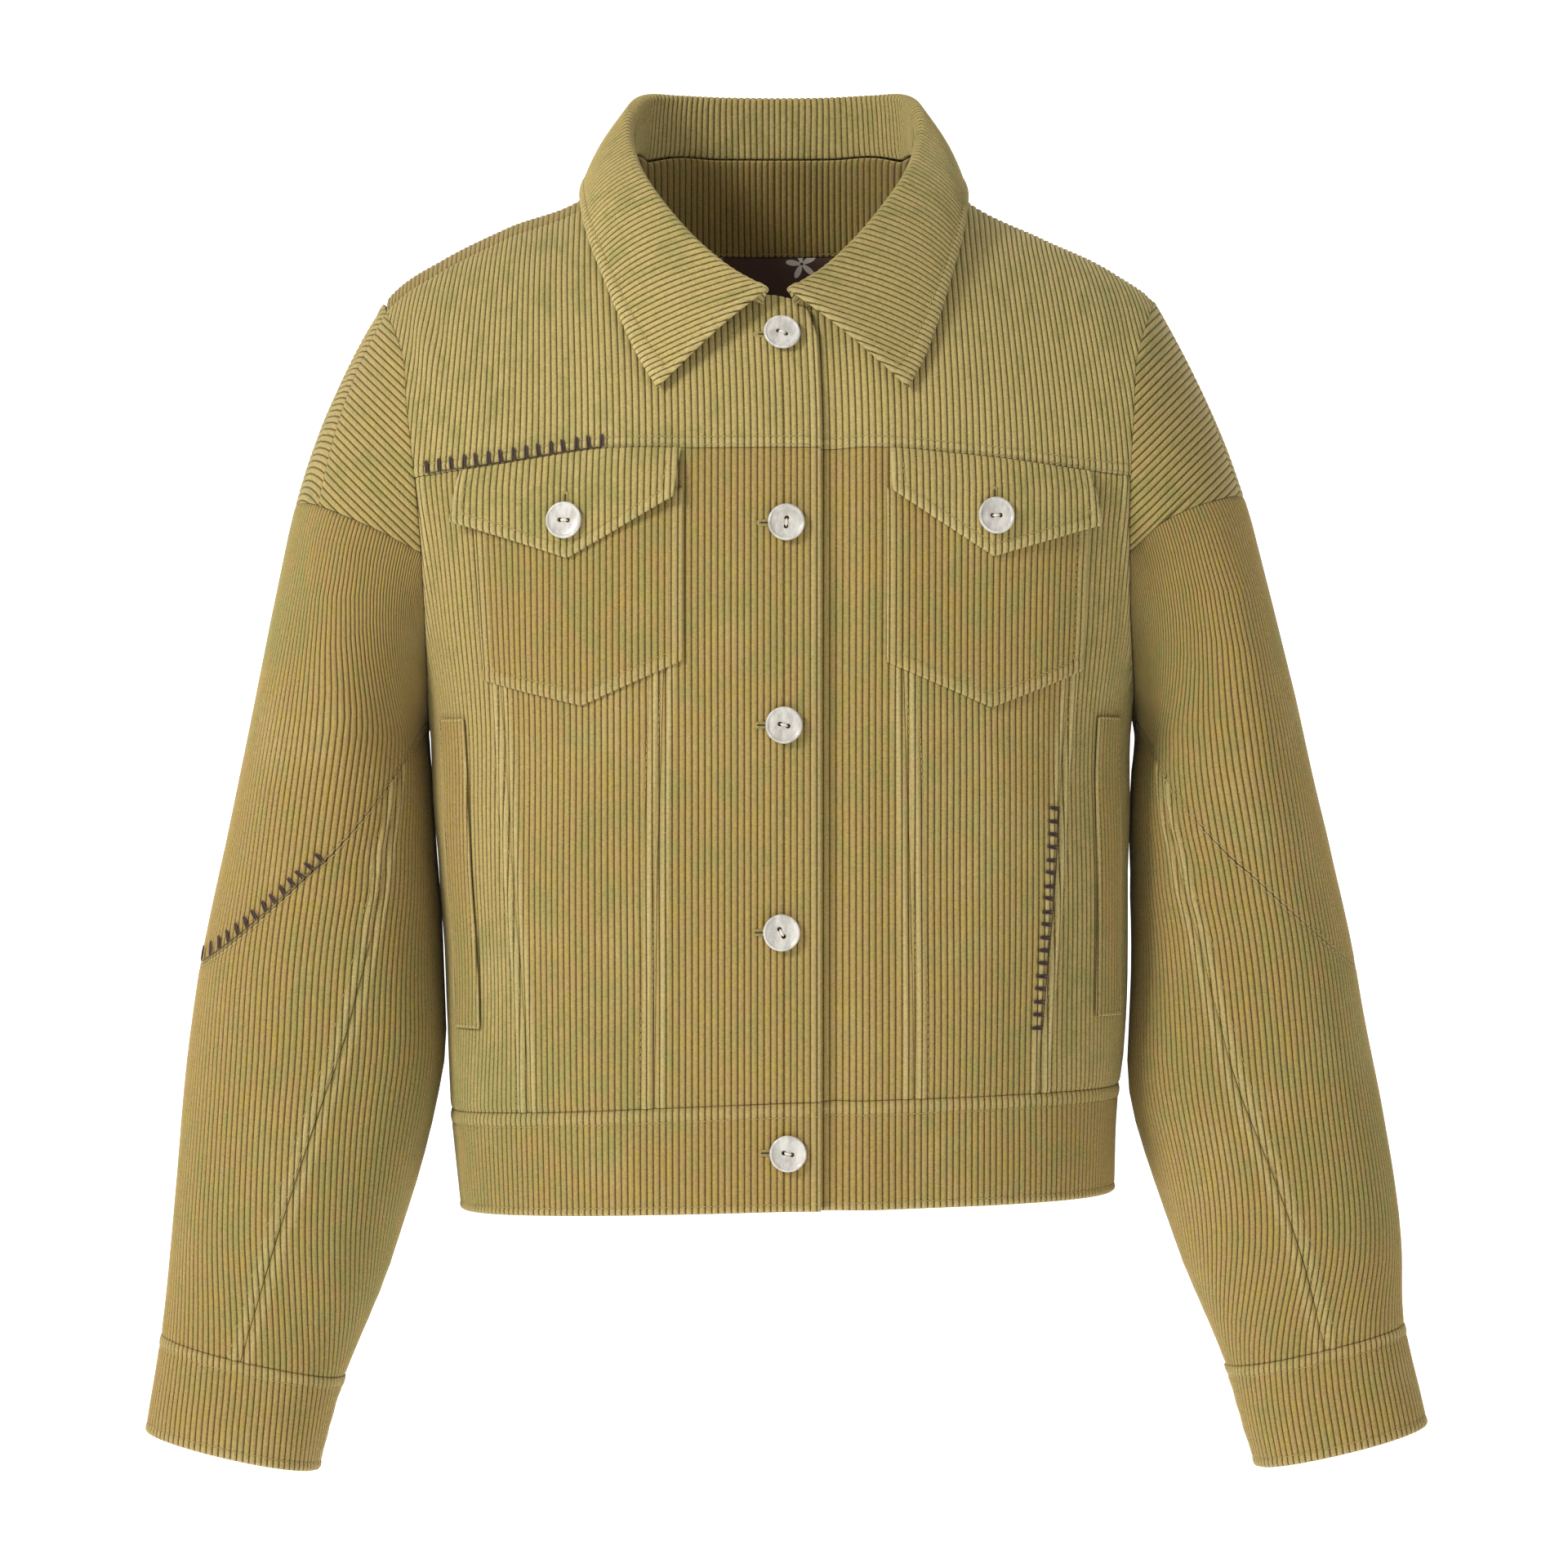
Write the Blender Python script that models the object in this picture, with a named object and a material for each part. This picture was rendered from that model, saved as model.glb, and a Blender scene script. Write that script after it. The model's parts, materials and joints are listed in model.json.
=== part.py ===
"""Corduroy jacket, filled out as if worn: closed walls of cloth on one hollow form.

Metres, +Z up, the front faces -Y and the wearer's left is +X. The origin is the point midway
between the two neck points of the shoulders. "right" and "left" are the wearer's.
"""

import math

import bmesh
import bpy
import numpy as np

# Cloth and clearances
WALL = 0.0018            # corduroy with its backing
BAND_WALL = 0.0024       # doubled cloth of waistband, cuffs and collar
THIN_WALL = 0.0010       # printed lining
SEAM = 0.0003            # gap between two pieces at a seam
LAY = 0.0007             # gap under a piece that lies on another

# Names of the two sides and faces, with their signs
SIDES = {"right": -1, "left": 1}
FRONT, BACK = -1, 1

# Body sections: height, half width to the wearer's right and left, depth to front and back
BODY_RINGS = np.array((
    (-0.570, 0.1640, 0.1690, 0.112, 0.101),
    (-0.525, 0.1680, 0.1712, 0.116, 0.105),
    (-0.470, 0.1745, 0.1738, 0.121, 0.110),
    (-0.440, 0.1775, 0.1768, 0.124, 0.112),
    (-0.390, 0.1796, 0.1796, 0.126, 0.114),
    (-0.325, 0.1839, 0.1820, 0.127, 0.115),
    (-0.268, 0.1880, 0.1840, 0.127, 0.116),
    (-0.230, 0.1960, 0.1925, 0.127, 0.117),
    (-0.190, 0.2100, 0.2040, 0.127, 0.118),
    (-0.150, 0.2330, 0.2240, 0.127, 0.118),
    (-0.100, 0.2620, 0.2500, 0.127, 0.118),
    (-0.050, 0.2900, 0.2780, 0.127, 0.118),
    (0.060, 0.3500, 0.3400, 0.127, 0.118),
))
# Shoulder line: distance from the middle, height on the wearer's right and left
SHOULDER = np.array((
    (0.000, 0.0240, 0.0240),
    (0.060, 0.0230, 0.0230),
    (0.079, 0.0165, 0.0165),
    (0.100, -0.0010, -0.0020),
    (0.140, -0.0168, -0.0225),
    (0.175, -0.0335, -0.0405),
    (0.201, -0.0510, -0.0620),
    (0.216, -0.0680, -0.0850),
    (0.245, -0.1150, -0.1350),
))
LEAN_X, LEAN_FROM, LEAN_TO = -0.005, -0.140, 0.000   # the neck and shoulders stand to one side
# How each sleeve hangs against the body, in mm: depth below the origin; distance from the middle of the
# body's edge and of the sleeve's inner and outer edge there; how far each is drawn to the middle
HANG = {
    "right": np.array((
        (162.6, 195.0, 196.0, 252.0, 0.0, 0.0, 0.0), (196.8, 193.0, 194.0, 262.0, 0.6, 0.6, 0.6),
        (231.0, 190.0, 191.0, 272.0, 1.7, 1.7, 1.7), (256.7, 189.0, 190.0, 277.5, 3.0, 3.0, 1.6),
        (282.3, 188.6, 189.6, 282.2, 3.4, 3.6, 1.3), (299.4, 187.3, 189.0, 285.6, 3.2, 4.1, 0.9),
        (316.6, 186.0, 188.6, 288.6, 2.8, 4.5, 0.7), (333.7, 184.7, 187.7, 292.1, 2.6, 4.7, 0.8),
        (350.8, 183.0, 186.0, 296.3, 2.4, 4.5, 1.3), (367.9, 181.7, 184.7, 301.0, 2.4, 4.4, 2.2),
        (385.0, 180.9, 182.6, 305.3, 2.6, 3.4, 2.8), (402.1, 180.4, 181.4, 307.9, 3.0, 3.2, 2.7),
        (419.2, 179.8, 180.8, 311.3, 3.3, 3.3, 2.8), (436.3, 179.2, 180.4, 313.9, 3.2, 3.7, 2.8),
        (453.4, 177.5, 180.4, 316.0, 2.1, 2.8, 3.0), (470.5, 175.7, 182.2, 318.1, 0.8, 0.6, 3.6),
        (487.6, 174.0, 184.7, 320.3, 0.3, -0.8, 4.1), (504.7, 172.3, 188.6, 321.6, 0.3, -1.3, 4.3),
        (538.9, 168.0, 198.0, 324.1, 0.3, -1.7, 4.2), (573.1, 168.0, 209.5, 327.1, 0.3, -1.2, 3.9),
        (607.3, 168.0, 222.0, 330.0, 0.3, -1.2, 3.3), (641.5, 168.0, 234.0, 335.0, 0.3, -2.0, 2.6))),
    "left": np.array((
        (162.6, 178.0, 181.0, 252.0, 0.0, 0.0, 0.0), (196.8, 178.0, 181.0, 262.0, 0.4, 0.4, 0.4),
        (231.0, 180.0, 183.0, 261.3, 1.1, 1.1, 1.1), (256.7, 184.0, 187.0, 267.7, 2.0, 2.0, 1.4),
        (270.0, 184.5, 187.5, 270.8, 2.4, 2.4, 1.6), (285.0, 182.6, 186.9, 274.5, 2.5, 3.0, 1.7),
        (299.4, 182.2, 187.3, 277.5, 2.4, 4.6, 1.7), (316.6, 181.7, 186.9, 281.4, 1.9, 5.2, 1.5),
        (333.7, 180.9, 186.4, 285.2, 1.2, 5.3, 1.3), (350.8, 180.4, 185.2, 289.5, 0.7, 4.2, 1.7),
        (367.9, 180.4, 183.9, 293.3, 0.6, 3.2, 1.7), (385.0, 180.0, 182.6, 297.2, 0.3, 1.2, 1.6),
        (402.1, 180.0, 181.7, 300.2, 0.2, 0.4, 1.7), (419.2, 179.6, 180.9, 304.0, 0.0, 0.0, 2.4),
        (436.3, 178.3, 180.0, 307.9, -0.2, -0.2, 2.8), (453.4, 176.2, 179.6, 311.3, -0.8, 0.2, 3.0),
        (470.5, 174.5, 180.0, 314.7, -0.2, -0.6, 3.1), (487.6, 173.6, 182.6, 318.1, 0.0, -2.4, 3.5),
        (504.7, 173.2, 186.4, 321.1, 0.0, -3.6, 3.6), (521.8, 170.6, 192.0, 323.7, 0.4, -3.7, 3.6),
        (538.9, 168.0, 198.8, 325.4, 0.4, -2.8, 3.2), (556.0, 168.0, 205.7, 325.8, 0.4, -1.5, 2.4),
        (590.2, 168.0, 221.1, 326.7, 0.4, 0.6, 2.8), (641.5, 168.0, 240.0, 336.0, 0.4, 2.4, 2.6))),
}
HANG_FROM = 0.130                         # nearer to the middle the body isn't drawn in
SLEEVE_LIFT, LIFT_FROM, LIFT_TO = 0.0064, -0.500, -0.640   # the sleeves' ends are drawn up
CHEST = -0.200                            # above it the body closes in towards the shoulder line
NECK_HALF = 0.079                         # half width of the neck at the shoulder seam
NECK_RISE = 0.042                         # the back of the neck stands above the shoulder line
NECK_SQUARE = 1.6                         # how wide that rise stays towards the sides
ROUNDNESS = {FRONT: 2.5, BACK: 2.4}       # exponents of the body's level sections
DOME = {FRONT: 1.75, BACK: 2.0}           # exponents of its sections over the shoulder
SEAM_FORWARD = {"right": 0.030, "left": 0.012}   # the shoulder seam lies in front of the ridge

# Heights where the wearer's right front, the middle and the left front differ a little
SEAM_AT = np.array((-0.17, 0.0, 0.17))
WAIST_SEAM = np.array((-0.4765, -0.4680, -0.4635))
HEM = np.array((-0.5285, -0.5230, -0.5195))
UNDERARM = -0.268

# Neckline, front: distance from the middle and height; then the rounded corner of the overlap
NECK_FRONT = np.array(((0.0, -0.0652), (0.010, -0.0642), (0.026, -0.0560), (0.044, -0.0393),
                       (0.060, -0.0205), (0.071, -0.0050)))
NECK_CORNER = np.array(((0.0, -0.0652), (0.010, -0.0690), (0.015, -0.0745), (0.0185, -0.0860)))
NECK_BACK = np.array(((0.0, 0.0248), (0.030, 0.0247), (0.056, 0.0240), (0.068, 0.0205)))

OVERLAP = 0.0185                          # each front reaches this far past the middle
UNDERLAP_DROP = 0.0036                    # the left front goes this deep under the right one
UNDERLAP_END = 0.046                      # and is level again this far from the middle

# Yoke seam: distance from the middle, height on the right and left
YOKE = np.array((
    (0.000, -0.1390, -0.1390), (0.052, -0.1392, -0.1390), (0.091, -0.1395, -0.1425),
    (0.150, -0.1475, -0.1488), (0.190, -0.1525, -0.1527),
))
# The two slanting seams of each front: height, distance from the middle of the inner and outer
SLANT = np.array((
    (-0.480, 0.0655, 0.1290), (-0.440, 0.0650, 0.1305), (-0.330, 0.0628, 0.1390),
    (-0.260, 0.0605, 0.1445), (-0.139, 0.0580, 0.1490),
))
# Armhole: height, distance from the middle on the right and left
ARMHOLE = np.array((
    (-0.270, 0.1895, 0.1855), (-0.262, 0.1880, 0.1838), (-0.235, 0.1860, 0.1795),
    (-0.194, 0.1856, 0.1770), (-0.155, 0.1876, 0.1766), (-0.120, 0.1912, 0.1785),
    (-0.085, 0.1950, 0.1835), (-0.060, 0.2050, 0.1940), (-0.040, 0.2140, 0.2030),
))


def curve(table, column, at):
    """A smooth curve through one column of a table whose first column is the position."""
    xs, ys = table[:, 0], table[:, column]
    slopes = np.gradient(ys, xs)
    i = np.clip(np.searchsorted(xs, at) - 1, 0, len(xs) - 2)
    step = xs[i + 1] - xs[i]
    t = np.clip((at - xs[i]) / step, 0, 1)
    return (
        (2 * t**3 - 3 * t**2 + 1) * ys[i]
        + (t**3 - 2 * t**2 + t) * step * slopes[i]
        + (3 * t**2 - 2 * t**3) * ys[i + 1]
        + (t**3 - t**2) * step * slopes[i + 1]
    )


def by_side(table, x, at):
    """A table's column 1 on the wearer's right and column 2 on the left."""
    return np.where(x < 0, curve(table, 1, at), curve(table, 2, at))


def ease(t):
    """A smooth step from 0 to 1."""
    t = np.clip(t, 0, 1)
    return t * t * (3 - 2 * t)


def unit(v):
    """Vectors of length one."""
    return v / np.maximum(np.linalg.norm(v, axis=-1, keepdims=True), 1e-9)


class Table2:
    """Values on an even grid, read between its points."""

    def __init__(self, rows, columns, *values):
        self.rows, self.columns, self.values = rows, columns, values

    def __call__(self, row, column):
        r = np.clip((row - self.rows[0]) / (self.rows[1] - self.rows[0]), 0, len(self.rows) - 1.001)
        c = np.clip((column - self.columns[0]) / (self.columns[1] - self.columns[0]),
                    0, len(self.columns) - 1.001)
        i, j = r.astype(int), c.astype(int)
        p, q = r - i, c - j
        return [
            (v[i, j] * (1 - q) + v[i, j + 1] * q) * (1 - p)
            + (v[i + 1, j] * (1 - q) + v[i + 1, j + 1] * q) * p
            for v in self.values
        ]


class Torso:
    """The body's surface: level rings below the chest, domes over the shoulders above it."""

    def __init__(self):
        self.rings = {face: self.ring_table(face) for face in (FRONT, BACK)}
        self.profiles = {face: self.profile_table(face) for face in (FRONT, BACK)}

    def half(self, x, z):
        """Half width at a height, on the side of x."""
        return by_side(BODY_RINGS, x, z)

    def ridge(self, x, face):
        """Height of the shoulder line."""
        line = by_side(SHOULDER, x, np.abs(x))
        if face == BACK:
            part = np.clip(np.abs(x) / NECK_HALF, 0, 1) ** NECK_SQUARE
            line = line + NECK_RISE * np.cos(0.5 * np.pi * part) ** 2
        return line

    def y(self, x, z, face):
        """Depth of the surface at x and z."""
        n, m = ROUNDNESS[face], DOME[face]
        depth = curve(BODY_RINGS, 3 if face == FRONT else 4, z)
        across = np.clip(1 - (np.abs(x) / self.half(x, z)) ** n, 0, 1) ** (1 / n)
        rise = np.clip((z - CHEST) / (self.ridge(x, face) - CHEST), 0, 1)
        return face * depth * across * (1 - rise**m) ** (1 / m)

    def level(self, p):
        """Zero on the surface and larger outside; the gradient is the outward direction."""
        x, y, z = p[..., 0], p[..., 1], p[..., 2]
        out = np.zeros_like(x)
        for face in (FRONT, BACK):
            n, m = ROUNDNESS[face], DOME[face]
            depth = curve(BODY_RINGS, 3 if face == FRONT else 4, z)
            wide = (np.abs(x) / self.half(x, z)) ** n
            rise = np.maximum((z - CHEST) / (self.ridge(x, face) - CHEST), 0)
            dome = np.clip(1 - rise**m, 1e-4, 1) ** (1 / m)
            low = (np.abs(y) / (depth * dome)) ** n + wide - 1
            across = np.clip(1 - wide, 1e-4, 1) ** (1 / n)
            high = (np.abs(y) / (depth * across)) ** m + rise**m - 1
            out = np.where(np.sign(y + 1e-9) == face, np.where(z < -0.165, low, high), out)
        return out

    def normal(self, p):
        """Outward directions at points of the surface."""
        reach = 0.0015
        slope = np.stack([
            self.level(p + reach * axis) - self.level(p - reach * axis) for axis in np.eye(3)
        ], axis=-1)
        return unit(slope)

    def ring_table(self, face):
        """x and y by height and by arc length from the middle."""
        heights = np.linspace(-0.565, -0.130, 88)
        arcs = np.linspace(-0.32, 0.32, 257)
        turn = np.linspace(-np.pi / 2, np.pi / 2, 361)
        xs, ys, self_ends = [], [], []
        for z in heights:
            level = np.full_like(turn, z)
            x = self.half(turn, level) * np.sign(turn) * np.abs(np.sin(turn)) ** (2 / ROUNDNESS[face])
            y = self.y(x, level, face)
            s = np.concatenate(([0], np.cumsum(np.hypot(np.diff(x), np.diff(y)))))
            s -= np.interp(0, x, s)
            xs.append(np.interp(arcs, s, x))
            ys.append(np.interp(arcs, s, y))
            self_ends.append((s[0], s[-1]))
        table = Table2(heights, arcs, np.array(xs), np.array(ys))
        table.ends = np.array(self_ends)
        return table

    def profile_table(self, face):
        """y and z by x and by arc length down the face from the shoulder line."""
        across = np.linspace(-0.236, 0.236, 190)
        down = np.linspace(-0.06, 0.26, 161)
        turn = np.linspace(0, np.pi / 2, 181)
        ys, zs = [], []
        for x in across:
            sides = []
            for f in (-face, face):
                m = DOME[f]
                top = float(self.ridge(np.array(x), face))
                z = CHEST + (top - CHEST) * np.sin(turn) ** (2 / m)
                rise = np.sin(turn) ** (2 / m)
                depth = curve(BODY_RINGS, 3 if f == FRONT else 4, z)
                n = ROUNDNESS[f]
                wide = np.clip(1 - (abs(x) / self.half(np.full_like(z, x), z)) ** n, 0, 1) ** (1 / n)
                y = f * depth * wide * np.clip(1 - rise**m, 0, 1) ** (1 / m)
                sides.append((y, z))
            y = np.concatenate((sides[0][0], sides[1][0][::-1][1:]))
            z = np.concatenate((sides[0][1], sides[1][1][::-1][1:]))
            s = np.concatenate(([0], np.cumsum(np.hypot(np.diff(y), np.diff(z)))))
            s -= s[len(turn) - 1]
            ys.append(np.interp(down, s, y))
            zs.append(np.interp(down, s, z))
        return Table2(across, down, np.array(ys), np.array(zs))

    def arc(self, x, z, face):
        """Arc length from the middle to x, at height z."""
        table = self.rings[face]
        x, z = np.broadcast_arrays(np.asarray(x, float), np.asarray(z, float))
        out = np.empty(x.shape)
        for k in np.ndindex(x.shape):
            row = np.full(len(table.columns), z[k])
            out[k] = np.interp(x[k], table(row, table.columns)[0], table.columns)
        return out

    def side_arc(self, z, side, face):
        """Arc length from the middle to the side seam."""
        table = self.rings[face]
        return np.interp(z, table.rows, table.ends[:, 0 if side < 0 else 1])

    def at_arc(self, s, z, face):
        """The point at an arc length and a height."""
        x, y = self.rings[face](z, s)
        return np.stack((x, y, z), axis=-1)

    def at_profile(self, x, down, face):
        """The point at x and at an arc length down from the shoulder line."""
        y, z = self.profiles[face](x, down)
        return np.stack((x, y, z), axis=-1)

    def down_to(self, x, z, face):
        """Arc length down from the shoulder line to height z at x."""
        table = self.profiles[face]
        x, z = np.broadcast_arrays(np.asarray(x, float), np.asarray(z, float))
        on_face = table.columns[table.columns >= 0]
        out = np.empty(x.shape)
        for k in np.ndindex(x.shape):
            heights = table(np.full(len(on_face), x[k]), on_face)[1]
            out[k] = np.interp(-z[k], -heights, on_face)
        return out


TORSO = Torso()


def shoulder_seam(side_sign):
    """Arc length from the ridge forward to the shoulder seam."""
    return SEAM_FORWARD["right"] if side_sign < 0 else SEAM_FORWARD["left"]


def neck_front(x):
    """Arc length from the ridge down the front to the neckline."""
    ax = np.abs(x)
    reach = NECK_FRONT[-1, 0]
    inner = TORSO.down_to(x, curve(NECK_FRONT, 1, np.minimum(ax, reach)), FRONT)
    seam = np.where(x < 0, SEAM_FORWARD["right"], SEAM_FORWARD["left"])
    t = ease((ax - reach) / (NECK_HALF - reach))
    return inner * (1 - t) + seam * t


def neck_back(x):
    """Arc length from the ridge down the back to the neckline; below zero it is in front."""
    ax = np.abs(x)
    reach = NECK_BACK[-1, 0]
    inner = TORSO.down_to(x, curve(NECK_BACK, 1, np.minimum(ax, reach)), BACK)
    seam = np.where(x < 0, SEAM_FORWARD["right"], SEAM_FORWARD["left"])
    t = np.clip((ax - reach) / (NECK_HALF - reach), 0, 1) ** 1.5
    return inner * (1 - t) - seam * t


def neckline(count):
    """Points round the neckline from the front middle on the right, round the back, to the left."""
    grow = np.linspace(0, 1, 60)
    half = []
    for sign in (-1, 1):
        x = sign * NECK_HALF * np.sin(grow * np.pi / 2)
        front = TORSO.at_profile(x, neck_front(x), FRONT)
        back = TORSO.at_profile(x, neck_back(x), BACK)[::-1]
        half.append(np.concatenate((front, back[1:])))
    points = np.concatenate((half[0], half[1][::-1][1:]))
    s = np.concatenate(([0], np.cumsum(np.linalg.norm(np.diff(points, axis=0), axis=1))))
    at = np.linspace(0, s[-1], count)
    return np.stack([np.interp(at, s, points[:, k]) for k in range(3)], axis=-1)


# Sleeve sections from the armpit down: centre x (outwards), y and z, half width, half depth, tilt
SLEEVE_RINGS = {
    "right": np.array((
        (1, 0.2364, 0.000, -0.2900, 0.0458, 0.078, 2.0),
        (2, 0.2393, -0.003, -0.3400, 0.0523, 0.077, 3.0),
        (3, 0.2432, -0.008, -0.4000, 0.0618, 0.073, 4.0),
        (4, 0.2480, -0.015, -0.4705, 0.0663, 0.067, 7.0),
        (5, 0.2602, -0.023, -0.5400, 0.0605, 0.059, 10.0),
        (6, 0.2758, -0.029, -0.6086, 0.0514, 0.044, 13.0),
        (7, 0.2869, -0.032, -0.6585, 0.0473, 0.038, 12.5),
    )),
    "left": np.array((
        (1, 0.2306, 0.000, -0.2900, 0.0430, 0.078, 2.0),
        (2, 0.2349, -0.003, -0.3400, 0.0500, 0.077, 3.0),
        (3, 0.2399, -0.008, -0.4000, 0.0580, 0.073, 4.0),
        (4, 0.2459, -0.015, -0.4705, 0.0658, 0.067, 7.0),
        (5, 0.2617, -0.023, -0.5400, 0.0603, 0.059, 10.0),
        (6, 0.2762, -0.029, -0.6028, 0.0482, 0.044, 14.0),
        (7, 0.2906, -0.032, -0.6561, 0.0452, 0.038, 14.0),
    )),
}
SLEEVE_SQUARE = 2.2                       # exponent of those sections
CUFF_TOP, CUFF_END = 6, 7
START_OUT = {"right": 1.45, "left": 1.10}   # how squarely each shoulder stands out
# The way the sleeve leaves the armhole: degrees from the top, outwards, downwards, inwards in y
SLEEVE_START = np.array((
    (0, 0.42, 0.91, 0.00), (45, 0.55, 0.80, 0.05), (90, 0.55, 0.80, 0.12),
    (135, 0.30, 0.93, 0.15), (180, 0.10, 0.99, 0.00),
))
# Seam below the shoulder cap: share of the way from the top to its end at the armhole,
# height on the right and left
CAP_CORNER = -0.1905                      # height where the cap's seam meets the armhole
CAP_SEAM = np.array((
    (0.00, -0.1635, -0.1590), (0.40, -0.1645, -0.1615), (0.75, -0.1765, -0.1730),
    (1.00, CAP_CORNER, CAP_CORNER),
))
# The seam along the top of the cap runs from the shoulder seam to here, degrees before the top
CAP_RIDGE_END = {"right": 50.0, "left": 24.0}
ELBOW_MIDDLE, ELBOW_SLOPE, ELBOW_BOW = -0.3382, 0.0622, 0.012
# Front seam of the lower sleeve: section, degrees from the outer side
SLEEVE_SEAM = np.array((
    (0, 150.0), (1, 140.0), (2, 127.0), (3, 113.0), (4, 98.0), (5, 91.0), (6, 88.0),
))
BACK_SEAM = np.array(((0, -150.0), (3, -140.0), (6, -120.0)))


class Sleeve:
    """One sleeve's surface by degrees round it (0 outer, 90 front, 180 underarm) and section."""

    def __init__(self, side):
        self.side, self.sign = side, SIDES[side]
        self.rings = SLEEVE_RINGS[side]
        self.holes = {face: self.armhole_half(face) for face in (FRONT, BACK)}
        turn = np.linspace(-180, 180, 721)
        at = self.armhole(turn)
        around = unit(np.roll(at, -1, axis=0) - np.roll(at, 1, axis=0))
        own = self.orient(np.cross(around, self.start(turn)), turn)
        down = np.array((0, 0, -1)) * ease((np.abs(turn) - 90) / 90)[:, None]
        self.edge = at
        self.edge_normal = unit(TORSO.normal(at) + own + down)
        self.cap_end = {
            face: float(np.interp(-CAP_CORNER, -hole[:, 2], np.arange(181)))
            for face, hole in self.holes.items()
        }

    def armhole_x(self, z):
        """Distance of the armhole from the middle."""
        reach = TORSO.half(np.full_like(z, self.sign), z)
        return np.minimum(curve(ARMHOLE, 1 if self.sign < 0 else 2, z), reach)

    def armhole_half(self, face):
        """The armhole from the top down one face to the underarm, evenly by arc length."""
        low, high = -0.110, -0.020
        for _ in range(40):
            top = 0.5 * (low + high)
            x = self.sign * float(self.armhole_x(np.array(top)))
            low, high = (top, high) if float(TORSO.ridge(np.array(x), face)) > top else (low, top)
        grow = np.sin(np.linspace(0, np.pi / 2, 400)) ** 2
        z = top + (UNDERARM - top) * grow
        x = self.sign * self.armhole_x(z)
        y = TORSO.y(x, z, face)
        y[0] = y[-1] = 0
        points = np.stack((x, y, z), axis=-1)
        s = np.concatenate(([0], np.cumsum(np.linalg.norm(np.diff(points, axis=0), axis=1))))
        even = np.linspace(0, s[-1], 181)
        return np.stack([np.interp(even, s, points[:, k]) for k in range(3)], axis=-1)

    def armhole(self, turn):
        """Points of the armhole seam by degrees from its top."""
        half = np.linspace(0, 180, 181)
        out = np.empty(turn.shape + (3,))
        for k in range(3):
            front = np.interp(np.abs(turn), half, self.holes[FRONT][:, k])
            back = np.interp(np.abs(turn), half, self.holes[BACK][:, k])
            out[..., k] = np.where(turn >= 0, front, back)
        return out

    def turn_of(self, points):
        """Degrees from the top of the armhole points nearest to these."""
        fine = np.linspace(-180, 180, 7201)
        at = self.armhole(fine)
        return np.array([fine[np.argmin(np.linalg.norm(at - p, axis=1))] for p in points])

    def start(self, turn):
        """The direction in which the sleeve leaves the armhole."""
        a = np.abs(turn)
        out, down, inward = (curve(SLEEVE_START, k, a) for k in (1, 2, 3))
        out = out * START_OUT[self.side]
        return unit(np.stack((self.sign * out, np.sign(turn) * inward, -down), axis=-1))

    def orient(self, normals, turn):
        """Normals turned to point away from the inside of the sleeve."""
        away = np.stack((self.sign * np.cos(np.radians(turn)), -np.sin(np.radians(turn)),
                         0.0 * turn), axis=-1)
        agree = np.sum(np.sum(normals * away, axis=-1)) >= 0
        return unit(normals) * (1 if agree else -1)

    def section(self, turn, v):
        """A point on the sections, from 1 down."""
        cx, cy, cz, wide, deep, tilt = (curve(self.rings, k, v) for k in range(1, 7))
        a, power = np.radians(turn), 2 / SLEEVE_SQUARE
        u = wide * np.sign(np.cos(a)) * np.abs(np.cos(a)) ** power
        f = deep * np.sign(np.sin(a)) * np.abs(np.sin(a)) ** power
        t = np.radians(tilt)
        return np.stack((
            self.sign * (cx + u * np.cos(t)), cy - f, cz + u * np.sin(t)
        ), axis=-1)

    def at(self, turn, v):
        """The point at degrees round the sleeve and a section, 0 being the armhole."""
        turn, v = np.broadcast_arrays(np.asarray(turn, float), np.asarray(v, float))
        first = np.ones_like(v)
        start, end = self.armhole(turn), self.section(turn, first)
        start[..., 0] += self.sign * SEAM / 2
        chord = np.linalg.norm(end - start, axis=-1, keepdims=True)
        leave = self.start(turn) * chord
        arrive = unit(self.section(turn, first + 0.02) - end) * chord
        t = np.clip(v, 0, 1)[..., None]
        upper = (
            (2 * t**3 - 3 * t**2 + 1) * start + (t**3 - 2 * t**2 + t) * leave
            + (3 * t**2 - 2 * t**3) * end + (t**3 - t**2) * arrive
        )
        return np.where(v[..., None] < 1, upper, self.section(turn, np.maximum(v, 1)))

    def normal(self, turn, v):
        """Outward directions, turning into the shared direction of the armhole seam."""
        turn, v = np.broadcast_arrays(np.asarray(turn, float), np.asarray(v, float))
        span, step = 1.5, 0.01
        low, high = np.maximum(v - step, 0), np.minimum(v + step, CUFF_END)
        around = self.at(turn + span, v) - self.at(turn - span, v)
        along = self.at(turn, high) - self.at(turn, low)
        own = self.orient(np.cross(unit(around), unit(along)), turn)
        return self.near_armhole(self.at(turn, v), own)

    def near_armhole(self, points, normals):
        """Normals blended, close to the armhole, into the one that body and sleeve share."""
        reach = 0.010
        flat = points.reshape(-1, 3)
        gap = np.linalg.norm(flat[:, None, :] - self.edge[None, :, :], axis=-1)
        nearest = np.argmin(gap, axis=1)
        part = np.clip(1 - gap[np.arange(len(flat)), nearest] / reach, 0, 1)[:, None]
        mixed = unit(normals.reshape(-1, 3) * (1 - part) + self.edge_normal[nearest] * part)
        return mixed.reshape(points.shape)

    def level_with(self, turn, height, lowest=CUFF_END):
        """The section number at which a line down the sleeve reaches a height."""
        low, high = np.zeros_like(turn), np.full_like(turn, float(lowest))
        for _ in range(30):
            middle = 0.5 * (low + high)
            above = self.at(turn, middle)[..., 2] > height
            low, high = np.where(above, middle, low), np.where(above, high, middle)
        return 0.5 * (low + high)

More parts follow.
